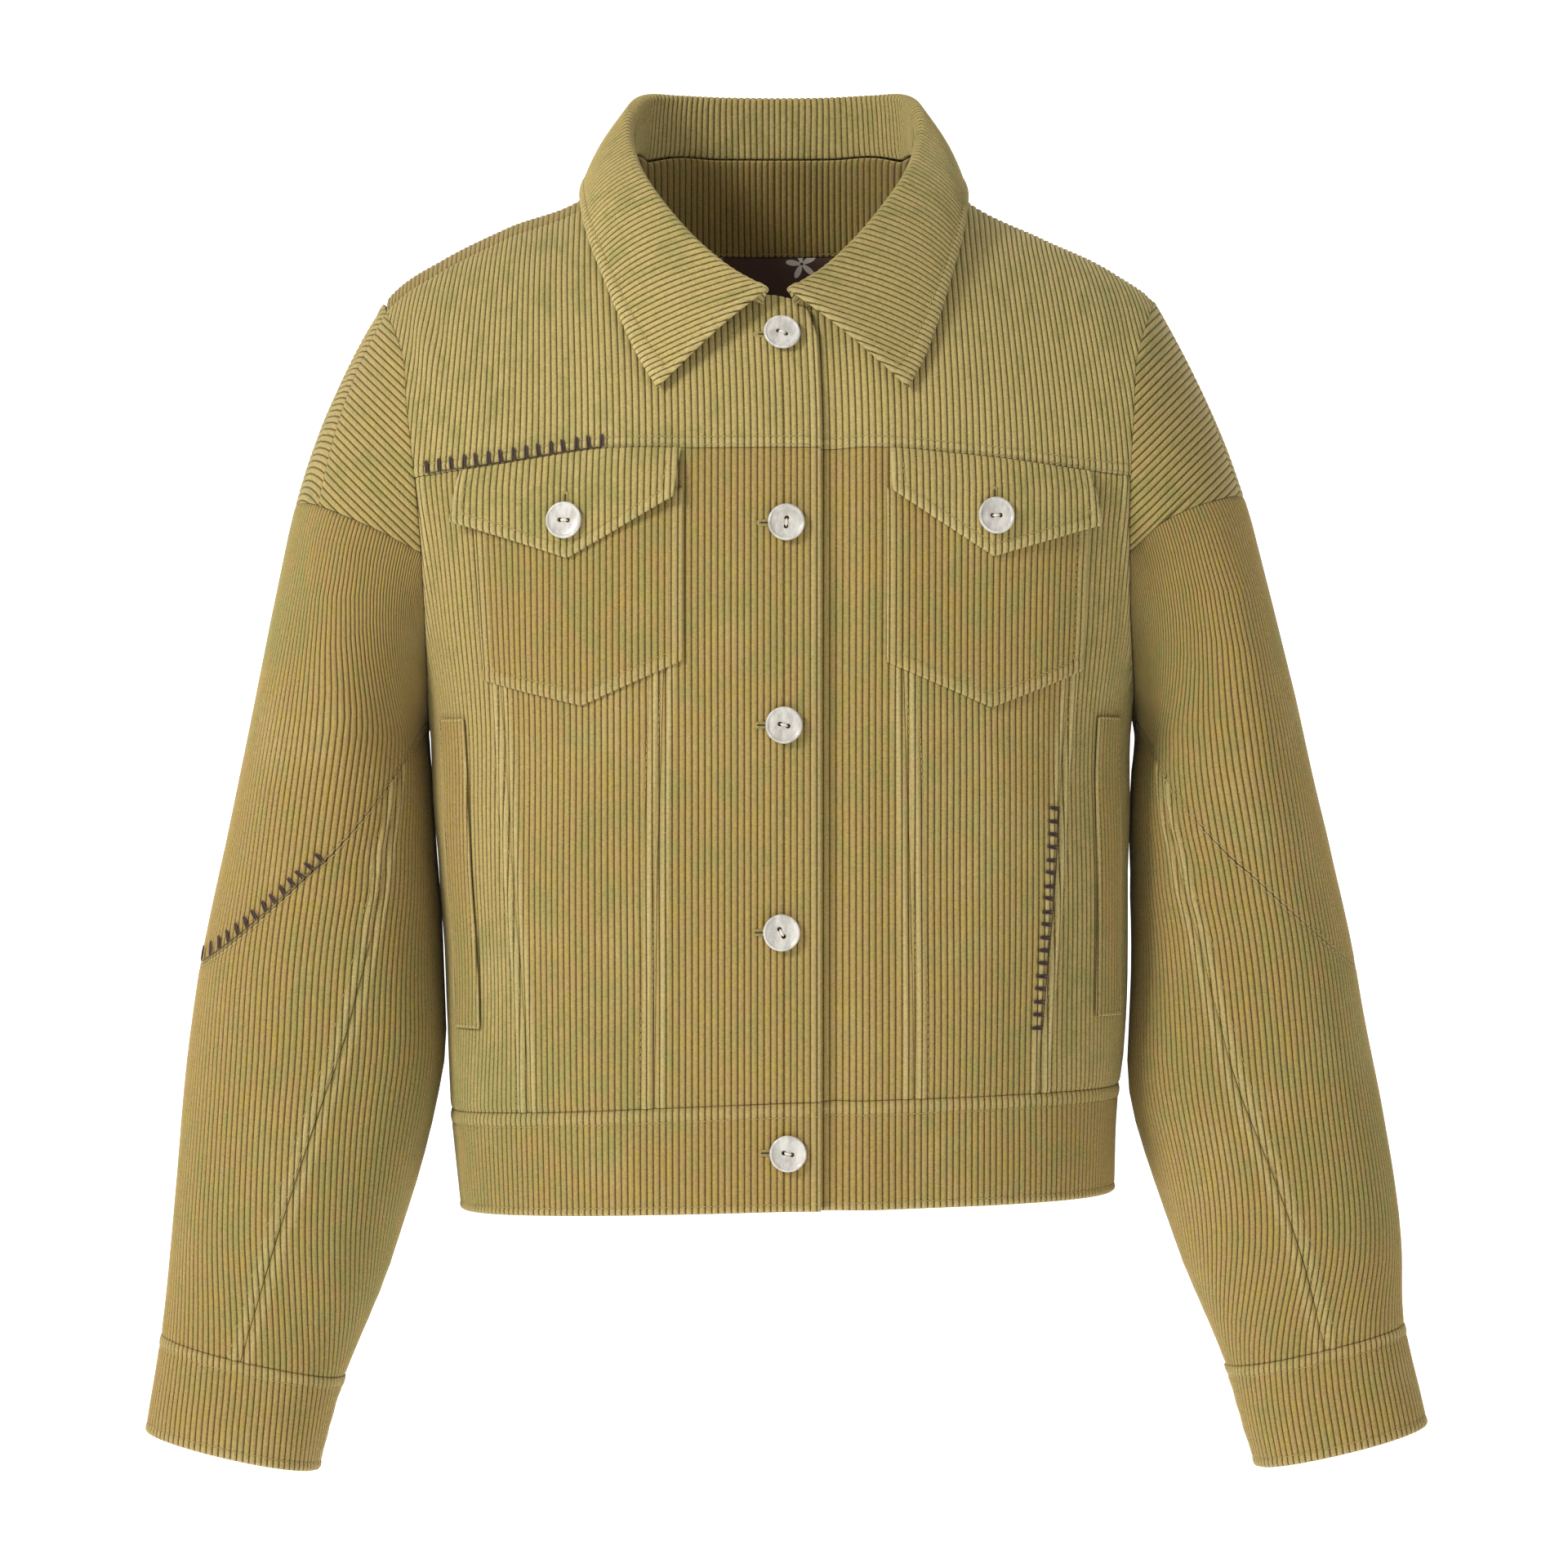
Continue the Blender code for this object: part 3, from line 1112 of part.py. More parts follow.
class Collar:
    """A one-piece collar: it stands on the neckline, folds over and lies on the shoulders."""

    def __init__(self):
        self.t = np.linspace(-1, 1, 161)
        a, sign = np.abs(self.t), np.sign(self.t)
        even = neckline(161)
        own = self.t * (1 - BASE_SHIFT * ease((a - 0.7) / 0.3))
        base = np.stack([np.interp(own, self.t, even[:, k]) for k in range(3)], axis=-1)
        fold = np.stack([curve(COLLAR, k, a) for k in (1, 2, 3)], axis=-1)
        edge = np.stack([curve(COLLAR, k, a) for k in (4, 5, 6)], axis=-1)
        fold[:, 0] *= sign
        edge[:, 0] *= sign
        edge = self.clear(edge, COLLAR_CLEAR)
        up = unit(fold - edge)
        along = unit(np.gradient(fold, axis=0))
        out = unit(np.cross(up, along))
        away = np.sum(out * TORSO.normal(base), axis=-1, keepdims=True)
        out = out * np.where(away < 0, -1, 1)
        stand = unit(fold - base)
        self.base = base + stand * 0.0024 - out * 0.0021
        self.fold, self.edge, self.up, self.out = fold, edge, up, out

    @staticmethod
    def clear(points, gap):
        """Points moved out until they are this far from the body."""
        reach = 0.0015
        for _ in range(6):
            slope = np.stack([
                TORSO.level(points + reach * axis) - TORSO.level(points - reach * axis)
                for axis in np.eye(3)
            ], axis=-1) / (2 * reach)
            size = np.maximum(np.linalg.norm(slope, axis=-1, keepdims=True), 1e-6)
            far = TORSO.level(points)[..., None] / size
            points = points + slope / size * np.clip(gap - far, 0, 0.01)
        return points

    def at(self, t, w):
        """The visible surface: t from -1 to 1 round the neck, w from the seam to the edge."""
        def look(values):
            return np.stack([np.interp(t, self.t, values[:, k]) for k in range(3)], axis=-1)

        base, fold, edge = look(self.base), look(self.fold), look(self.edge)
        up, out = unit(look(self.up)), unit(look(self.out))
        radius = (ROLL + (ROLL_END - ROLL) * ease((np.abs(t) - 0.7) / 0.3))[..., None]
        centre = fold - up * radius
        first, last = centre - out * radius, centre + out * radius
        w = w[..., None]
        stand = base + (first - base) * np.clip(w / STAND_PART, 0, 1)
        swing = np.pi * np.clip((w - STAND_PART) / (ROLL_PART - STAND_PART), 0, 1)
        roll = centre - out * radius * np.cos(swing) + up * radius * np.sin(swing)
        part = np.clip((w - ROLL_PART) / (1 - ROLL_PART), 0, 1)
        fall = last + (edge - last) * part + out * 0.0030 * np.sin(np.pi * part)
        need = (COLLAR_CLEAR + 0.0015 * (1 - part[..., 0]))[..., None]
        fall = np.where(part > 0.001, self.clear(fall, need), fall)
        return np.where(w < STAND_PART, stand, np.where(w < ROLL_PART, roll, fall))

    def normal(self, t, w):
        """Directions away from the inside of the fold."""
        dt, dw = 0.012, 0.02
        around = self.at(np.minimum(t + dt, 1), w) - self.at(np.maximum(t - dt, -1), w)
        across = self.at(t, np.minimum(w + dw, 1)) - self.at(t, np.maximum(w - dw, 0))
        return unit(np.cross(unit(around), unit(across)))


def build_collar():
    """The collar."""
    form = Collar()
    steps = np.array((0, 0.14, STAND_PART, 0.32, 0.36, 0.40, ROLL_PART, 0.58, 0.72, 0.86, 1.0))

    def surface(u, v):
        t = 2 * u - 1
        w = np.interp(v, np.linspace(0, 1, len(steps)), steps)
        return form.at(t, w), form.normal(t, w)

    cloth("collar", 36, 10, surface, COLLAR_WALL)


# ---------------------------------------------------------------- buttons
BUTTON_RADIUS, BUTTON_HEIGHT = 0.0093, 0.0030
# Front buttons: x, height; the turn of their two holes in degrees
FRONT_BUTTONS = (
    (0.0010, -0.0810, -25), (0.0012, -0.1774, 85), (0.0000, -0.2786, -15),
    (-0.0012, -0.3823, -60), (0.0020, -0.4929, -12),
)
FLAP_BUTTONS = {"right": (-0.1090, -0.1761, -4), "left": (0.1045, -0.1741, 3)}
# Half section of a button: share of the radius, share of the height
BUTTON_SECTION = (
    (0.00, 0.00), (0.72, 0.00), (0.96, 0.34), (1.00, 0.70), (0.95, 1.00), (0.86, 0.98),
    (0.80, 0.80), (0.45, 0.62), (0.00, 0.58),
)
HOLE_RADIUS, HOLE_APART = 0.0009, 0.0042
BUTTON_SIDES = 20


def build_button(name, foot, direction, turn):
    """A turned button with two sewing holes."""
    bm = bmesh.new()
    corners = [bm.verts.new((r * BUTTON_RADIUS, 0, h * BUTTON_HEIGHT)) for r, h in BUTTON_SECTION]
    edges = [bm.edges.new(pair) for pair in zip(corners, corners[1:])]
    bmesh.ops.spin(bm, geom=corners + edges, cent=(0, 0, 0), axis=(0, 0, 1),
                   angle=2 * math.pi, steps=BUTTON_SIDES, use_merge=True, use_duplicate=False)
    bmesh.ops.remove_doubles(bm, verts=bm.verts, dist=1e-6)
    button = add_object(name, bm, "button")
    button.data.shade_smooth()

    cutter = bmesh.new()
    for offset in (-HOLE_APART / 2, HOLE_APART / 2):
        made = bmesh.ops.create_cone(cutter, cap_ends=True, segments=8, radius1=HOLE_RADIUS,
                                     radius2=HOLE_RADIUS, depth=4 * BUTTON_HEIGHT)
        bmesh.ops.translate(cutter, verts=made["verts"], vec=(offset, 0, 0))
    drill = add_object(name + "_holes", cutter, "button")
    drill.hide_render, drill.display_type = True, "WIRE"
    cut = button.modifiers.new("holes", "BOOLEAN")
    cut.operation, cut.object = "DIFFERENCE", drill

    z = unit(np.asarray(direction, float))
    x = unit(np.cross(np.array((0, 0, 1.0)), z))
    y = np.cross(z, x)
    a = math.radians(turn)
    right = x * math.cos(a) + y * math.sin(a)
    for thing in (button, drill):
        matrix = thing.matrix_world.to_4x4()
        for row in range(3):
            matrix[row][0], matrix[row][1], matrix[row][2] = right[row], np.cross(z, right)[row], z[row]
            matrix[row][3] = foot[row]
        thing.matrix_world = matrix


def build_buttons():
    """Five buttons down the front and one on each flap."""
    for number, (x, z, turn) in enumerate(FRONT_BUTTONS, start=1):
        point = np.array([[x, float(TORSO.y(np.array(x), np.array(z), FRONT)), z]])
        normal = TORSO.normal(point)
        build_button(f"button_{number}", lean(point + normal * 0.0010)[0], normal[0], turn)
    flap_lift = 2 * LAY + POCKET_WALL + FLAP_WALL + 0.0007
    for side, (x, z, turn) in FLAP_BUTTONS.items():
        point = np.array([[x, float(TORSO.y(np.array(x), np.array(z), FRONT)), z]])
        normal = TORSO.normal(point)
        build_button(f"button_flap_{side}", lean(point + normal * flap_lift)[0], normal[0], turn)


def build_jacket():
    """Every piece of the jacket."""
    for thing in list(bpy.data.objects):
        bpy.data.objects.remove(thing)
    for side in SIDES:
        build_yoke(side)
        build_fronts(side)
        build_pocket(side)
        build_flap(side)
        build_welt(side)
        build_sleeve(side)
    build_back()
    build_waistband()
    build_inside()
    build_collar()
    build_buttons()


build_jacket()
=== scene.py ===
"""Looks of the corduroy jacket: ribbed cloth, lining, buttons, sewing, light and camera.

Metres, +Z up, the front faces -Y and the wearer's left is +X. Every cloth piece is a thin closed
wall on the form of its CAD solid, laid out in flat cloth coordinates: across and along its wales.
"""
from __future__ import annotations

import json
import logging
import math
from collections.abc import Callable
from dataclasses import dataclass, field
from enum import Enum

import bmesh
import bpy
import numpy as np
from mathutils import Matrix, Vector
from mathutils.kdtree import KDTree

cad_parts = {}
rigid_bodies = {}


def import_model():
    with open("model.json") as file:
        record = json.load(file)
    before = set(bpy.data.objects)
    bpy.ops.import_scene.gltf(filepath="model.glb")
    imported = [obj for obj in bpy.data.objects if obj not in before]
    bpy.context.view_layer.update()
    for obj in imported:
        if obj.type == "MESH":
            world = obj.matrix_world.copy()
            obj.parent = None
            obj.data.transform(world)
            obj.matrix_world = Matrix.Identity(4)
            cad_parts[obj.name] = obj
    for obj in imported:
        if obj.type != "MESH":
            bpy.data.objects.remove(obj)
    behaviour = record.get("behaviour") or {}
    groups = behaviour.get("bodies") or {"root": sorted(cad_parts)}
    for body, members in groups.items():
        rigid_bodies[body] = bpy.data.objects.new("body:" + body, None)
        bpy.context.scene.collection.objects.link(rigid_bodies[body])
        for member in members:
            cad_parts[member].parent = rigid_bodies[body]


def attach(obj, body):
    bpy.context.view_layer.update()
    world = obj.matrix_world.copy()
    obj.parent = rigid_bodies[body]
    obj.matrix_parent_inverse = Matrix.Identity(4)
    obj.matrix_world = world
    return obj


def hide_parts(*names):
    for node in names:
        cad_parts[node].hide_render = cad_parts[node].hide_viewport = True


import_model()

log = logging.getLogger("jacket")
Array = np.ndarray
Curve = Callable[[Array], Array]

# Metres: gap of a seam, wall of plain cloth and of a folded band, and air between two layers.
SEAM = 0.0003
WALL = 0.0018
BAND_WALL = 0.0024
LAY = 0.0007


class Face(Enum):
    """The two faces of the body, with the sign of their y."""

    FRONT = -1
    BACK = 1


class Side(Enum):
    """The wearer's two sides, with the sign of their x."""

    RIGHT = -1
    LEFT = 1

    @property
    def word(self) -> str:
        """The side's name in the names of pieces and nodes."""
        return self.name.lower()

    @property
    def near(self) -> str:
        """The border of a front's piece that is nearer the middle."""
        return "left" if self is Side.LEFT else "right"

    def pick(self, right: float, left: float) -> float:
        """One of two values, by side."""
        return right if self is Side.RIGHT else left

    def borders(self, near: Curve, far: Curve) -> dict[str, Curve]:
        """Left and right border, from the one nearer the middle and the other."""
        return {"left": near, "right": far} if self is Side.LEFT else {"left": far, "right": near}


class Edge(Enum):
    """How a border of a piece is finished."""

    SEAM = "seam"
    FOLD = "fold"


# ---------------------------------------------------------------- curves and tables
def curve(table: Array, column: int, at: Array) -> Array:
    """Reads one column of a table along a smooth curve.

    Args:
        table: Rows by position; the first column is the position.
        column: The column to read.
        at: Positions.

    Returns:
        Values at those positions.
    """
    xs, ys = table[:, 0], table[:, column]
    slopes = np.gradient(ys, xs)
    i = np.clip(np.searchsorted(xs, at) - 1, 0, len(xs) - 2)
    step = xs[i + 1] - xs[i]
    t = np.clip((at - xs[i]) / step, 0, 1)
    return (
        (2 * t**3 - 3 * t**2 + 1) * ys[i]
        + (t**3 - 2 * t**2 + t) * step * slopes[i]
        + (3 * t**2 - 2 * t**3) * ys[i + 1]
        + (t**3 - t**2) * step * slopes[i + 1]
    )


def by_side(table: Array, x: Array, at: Array) -> Array:
    """A table's column 1 on the wearer's right and column 2 on the left."""
    return np.where(x < 0, curve(table, 1, at), curve(table, 2, at))


def ease(t: Array) -> Array:
    """A smooth step from 0 to 1."""
    t = np.clip(t, 0, 1)
    return t * t * (3 - 2 * t)


def unit(v: Array) -> Array:
    """Vectors of length one."""
    return v / np.maximum(np.linalg.norm(v, axis=-1, keepdims=True), 1e-9)


def arr(value: float | Array) -> Array:
    """A number or array as an array of floats."""
    return np.asarray(value, float)


def run_length(points: Array) -> Array:
    """Distance of each point of a line from its first one, along the line."""
    return np.concatenate(([0], np.cumsum(np.linalg.norm(np.diff(points, axis=0), axis=1))))


def between(at: Array, places: Array, points: Array) -> Array:
    """Points read from a line of points.

    Args:
        at: Where to read.
        places: The rising places of the line's points.
        points: The line's points.

    Returns:
        The points at those places.
    """
    return np.stack([np.interp(at, places, points[:, k]) for k in range(3)], axis=-1)


def read_table(table: Array, row: Array, column: Array) -> Array:
    """Reads between the entries of a table.

    Args:
        table: Values by row and column.
        row: Fractional row indices.
        column: Fractional column indices.

    Returns:
        The values there.
    """
    row = np.clip(row, 0, table.shape[0] - 1.0001)
    column = np.clip(column, 0, table.shape[1] - 1.0001)
    i, j = row.astype(int), column.astype(int)
    p, q = row - i, column - j
    low = table[i, j] * (1 - q) + table[i, j + 1] * q
    high = table[i + 1, j] * (1 - q) + table[i + 1, j + 1] * q
    return low * (1 - p) + high * p


def table_curve(at: Array, values: Array) -> Curve:
    """A function read from a table of positions and values."""
    order = np.argsort(at)
    xs, ys = at[order], values[order]
    return lambda x: np.interp(x, xs, ys)


def constant(value: float) -> Curve:
    """A border that keeps one value."""
    return lambda at: np.full_like(at, value)


# ---------------------------------------------------------------- meshes
def link(name: str, data: bpy.types.ID) -> bpy.types.Object:
    """A new object of the scene, at the origin."""
    thing = bpy.data.objects.new(name, data)
    bpy.context.scene.collection.objects.link(thing)
    return thing


def mesh_of(bm: bmesh.types.BMesh, name: str) -> bpy.types.Mesh:
    """A mesh of a bmesh, which it frees."""
    mesh = bpy.data.meshes.new(name)
    bm.to_mesh(mesh)
    bm.free()
    return mesh


def places_of(mesh: bpy.types.Mesh) -> Array:
    """The places of a mesh's vertices."""
    places = np.empty(3 * len(mesh.vertices))
    mesh.vertices.foreach_get("co", places)
    return places.reshape(-1, 3)


def move_to(mesh: bpy.types.Mesh, places: Array) -> None:
    """Moves a mesh's vertices to places."""
    mesh.vertices.foreach_set("co", places.ravel())


# ---------------------------------------------------------------- forms
class Unrolled:
    """Arc length along a family of curves, one curve to a row, read both ways."""

    def __init__(self, rows: Array, values: Array, points: Array, zero: float) -> None:
        """Measures the curves.

        Args:
            rows: Evenly spaced row positions.
            values: The curve's own evenly spaced parameter.
            points: Points by row and parameter, or one rising measure of them.
            zero: The parameter from which arc length counts.
        """
        if points.ndim == 3:
            step = np.linalg.norm(np.diff(points, axis=1), axis=-1)
            arc = np.concatenate((np.zeros((len(rows), 1)), np.cumsum(step, axis=1)), axis=1)
            arc = arc - np.array([np.interp(zero, values, a) for a in arc])[:, None]
        else:
            arc = np.maximum.accumulate(points, axis=1) + 1e-9 * np.arange(len(values))
        self.rows, self.values, self.arc = rows, values, arc
        self.share = np.linspace(0, 1, 2 * len(values))
        self.back = np.array([
            np.interp(a[0] + (a[-1] - a[0]) * self.share, a, values) for a in self.arc
        ])

    def _row(self, row: Array) -> Array:
        """Fractional index of a row position."""
        return (row - self.rows[0]) / (self.rows[1] - self.rows[0])

    def length(self, row: Array, value: Array) -> Array:
        """Arc length to a parameter value on a row."""
        step = self.values[1] - self.values[0]
        return read_table(self.arc, *np.broadcast_arrays(
            self._row(arr(row)), (arr(value) - self.values[0]) / step))

    def ends(self, row: Array) -> tuple[Array, Array]:
        """Arc lengths of both ends of a row."""
        return (np.interp(row, self.rows, self.arc[:, 0]),
                np.interp(row, self.rows, self.arc[:, -1]))

    def value(self, row: Array, length: Array) -> Array:
        """The parameter value at an arc length on a row."""
        row, length = np.broadcast_arrays(arr(row), arr(length))
        low, high = self.ends(row)
        share = np.clip((length - low) / (high - low), 0, 1)
        return read_table(self.back, self._row(row), share * (len(self.share) - 1))


# ---------------------------------------------------------------- body
@dataclass
class BodyCut:
    """The jacket's body sizes: the same named tables that its solids are made from.

    Each row of rings has a height, the right and left half width, and the front and back depth.
    The other tables by side have a place, and a value on the right and one on the left. A row of
    hang has a depth below the shoulders, how far out the body's edge and the sleeve's inner and
    outer edge are there, and how far each is drawn in, all in millimetres.
    """

    rings: Array = field(default_factory=lambda: np.array((
        (-0.570, 0.1640, 0.1690, 0.112, 0.101),
        (-0.525, 0.1680, 0.1712, 0.116, 0.105),
        (-0.470, 0.1745, 0.1738, 0.121, 0.110),
        (-0.440, 0.1775, 0.1768, 0.124, 0.112),
        (-0.390, 0.1796, 0.1796, 0.126, 0.114),
        (-0.325, 0.1839, 0.1820, 0.127, 0.115),
        (-0.268, 0.1880, 0.1840, 0.127, 0.116),
        (-0.230, 0.1960, 0.1925, 0.127, 0.117),
        (-0.190, 0.2100, 0.2040, 0.127, 0.118),
        (-0.150, 0.2330, 0.2240, 0.127, 0.118),
        (-0.100, 0.2620, 0.2500, 0.127, 0.118),
        (-0.050, 0.2900, 0.2780, 0.127, 0.118),
        (0.060, 0.3500, 0.3400, 0.127, 0.118),
    )))
    shoulder: Array = field(default_factory=lambda: np.array((
        (0.000, 0.0240, 0.0240),
        (0.060, 0.0230, 0.0230),
        (0.079, 0.0165, 0.0165),
        (0.100, -0.0010, -0.0020),
        (0.140, -0.0168, -0.0225),
        (0.175, -0.0335, -0.0405),
        (0.201, -0.0510, -0.0620),
        (0.216, -0.0680, -0.0850),
        (0.245, -0.1150, -0.1350),
    )))
    chest: float = -0.200
    neck_half: float = 0.079
    neck_rise: float = 0.042
    neck_square: float = 1.6
    level_power: dict[Face, float] = field(
        default_factory=lambda: {Face.FRONT: 2.5, Face.BACK: 2.4})
    dome_power: dict[Face, float] = field(
        default_factory=lambda: {Face.FRONT: 1.75, Face.BACK: 2.0})
    seam_at: Array = field(default_factory=lambda: np.array((-0.17, 0.0, 0.17)))
    waist_seam: Array = field(default_factory=lambda: np.array((-0.4765, -0.4680, -0.4635)))
    hem: Array = field(default_factory=lambda: np.array((-0.5285, -0.5230, -0.5195)))
    underarm: float = -0.268
    neck_front: Array = field(default_factory=lambda: np.array((
        (0.0, -0.0652), (0.010, -0.0642), (0.026, -0.0560), (0.044, -0.0393),
        (0.060, -0.0205), (0.071, -0.0050))))
    neck_corner: Array = field(default_factory=lambda: np.array((
        (0.0, -0.0652), (0.010, -0.0690), (0.015, -0.0745), (0.0185, -0.0860))))
    neck_back: Array = field(default_factory=lambda: np.array((
        (0.0, 0.0248), (0.030, 0.0247), (0.056, 0.0240), (0.068, 0.0205))))
    overlap: float = 0.0185
    underlap_drop: float = 0.0036
    underlap_end: float = 0.046
    yoke: Array = field(default_factory=lambda: np.array((
        (0.000, -0.1390, -0.1390), (0.052, -0.1392, -0.1390), (0.091, -0.1395, -0.1425),
        (0.150, -0.1475, -0.1488), (0.190, -0.1525, -0.1527))))
    slant: Array = field(default_factory=lambda: np.array((
        (-0.480, 0.0655, 0.1290), (-0.440, 0.0650, 0.1305), (-0.330, 0.0628, 0.1390),
        (-0.260, 0.0605, 0.1445), (-0.139, 0.0580, 0.1490))))
    armhole: Array = field(default_factory=lambda: np.array((
        (-0.270, 0.1895, 0.1855), (-0.262, 0.1880, 0.1838), (-0.235, 0.1860, 0.1795),
        (-0.194, 0.1856, 0.1770), (-0.155, 0.1876, 0.1766), (-0.120, 0.1912, 0.1785),
        (-0.085, 0.1950, 0.1835), (-0.060, 0.2050, 0.1940), (-0.040, 0.2140, 0.2030))))
    back_top: float = -0.150
    lean: tuple[float, float, float] = (-0.005, -0.140, 0.000)
    hang: dict[Side, Array] = field(default_factory=lambda: {
        Side.RIGHT: np.array((
            (162.6, 195, 196, 252, 0, 0, 0), (196.8, 193, 194, 262, 0.6, 0.6, 0.6),
            (231, 190, 191, 272, 1.7, 1.7, 1.7), (256.7, 189, 190, 277.5, 3, 3, 1.6),
            (282.3, 188.6, 189.6, 282.2, 3.4, 3.6, 1.3),
            (299.4, 187.3, 189, 285.6, 3.2, 4.1, 0.9), (316.6, 186, 188.6, 288.6, 2.8, 4.5, 0.7),
            (333.7, 184.7, 187.7, 292.1, 2.6, 4.7, 0.8), (350.8, 183, 186, 296.3, 2.4, 4.5, 1.3),
            (367.9, 181.7, 184.7, 301, 2.4, 4.4, 2.2), (385, 180.9, 182.6, 305.3, 2.6, 3.4, 2.8),
            (402.1, 180.4, 181.4, 307.9, 3, 3.2, 2.7),
            (419.2, 179.8, 180.8, 311.3, 3.3, 3.3, 2.8),
            (436.3, 179.2, 180.4, 313.9, 3.2, 3.7, 2.8), (453.4, 177.5, 180.4, 316, 2.1, 2.8, 3),
            (470.5, 175.7, 182.2, 318.1, 0.8, 0.6, 3.6),
            (487.6, 174, 184.7, 320.3, 0.3, -0.8, 4.1),
            (504.7, 172.3, 188.6, 321.6, 0.3, -1.3, 4.3),
            (538.9, 168, 198, 324.1, 0.3, -1.7, 4.2), (573.1, 168, 209.5, 327.1, 0.3, -1.2, 3.9),
            (607.3, 168, 222, 330, 0.3, -1.2, 3.3), (641.5, 168, 234, 335, 0.3, -2, 2.6))),
        Side.LEFT: np.array((
            (162.6, 178, 181, 252, 0, 0, 0), (196.8, 178, 181, 262, 0.4, 0.4, 0.4),
            (231, 180, 183, 261.3, 1.1, 1.1, 1.1), (256.7, 184, 187, 267.7, 2, 2, 1.4),
            (270, 184.5, 187.5, 270.8, 2.4, 2.4, 1.6), (285, 182.6, 186.9, 274.5, 2.5, 3, 1.7),
            (299.4, 182.2, 187.3, 277.5, 2.4, 4.6, 1.7),
            (316.6, 181.7, 186.9, 281.4, 1.9, 5.2, 1.5),
            (333.7, 180.9, 186.4, 285.2, 1.2, 5.3, 1.3),
            (350.8, 180.4, 185.2, 289.5, 0.7, 4.2, 1.7),
            (367.9, 180.4, 183.9, 293.3, 0.6, 3.2, 1.7), (385, 180, 182.6, 297.2, 0.3, 1.2, 1.6),
            (402.1, 180, 181.7, 300.2, 0.2, 0.4, 1.7), (419.2, 179.6, 180.9, 304, 0, 0, 2.4),
            (436.3, 178.3, 180, 307.9, -0.2, -0.2, 2.8),
            (453.4, 176.2, 179.6, 311.3, -0.8, 0.2, 3),
            (470.5, 174.5, 180, 314.7, -0.2, -0.6, 3.1),
            (487.6, 173.6, 182.6, 318.1, 0, -2.4, 3.5),
            (504.7, 173.2, 186.4, 321.1, 0, -3.6, 3.6),
            (521.8, 170.6, 192, 323.7, 0.4, -3.7, 3.6),
            (538.9, 168, 198.8, 325.4, 0.4, -2.8, 3.2), (556, 168, 205.7, 325.8, 0.4, -1.5, 2.4),
            (590.2, 168, 221.1, 326.7, 0.4, 0.6, 2.8), (641.5, 168, 240, 336, 0.4, 2.4, 2.6))),
    })
    hang_from: float = 0.130
    lift: tuple[float, float, float] = (0.0064, -0.500, -0.640)
    lift_out: tuple[float, float] = (0.175, 0.012)
    dome_from: float = -0.165

    def seam_forward(self, side: Side) -> float:
        """How far the shoulder seam lies in front of the shoulder line."""
        return side.pick(0.030, 0.012)


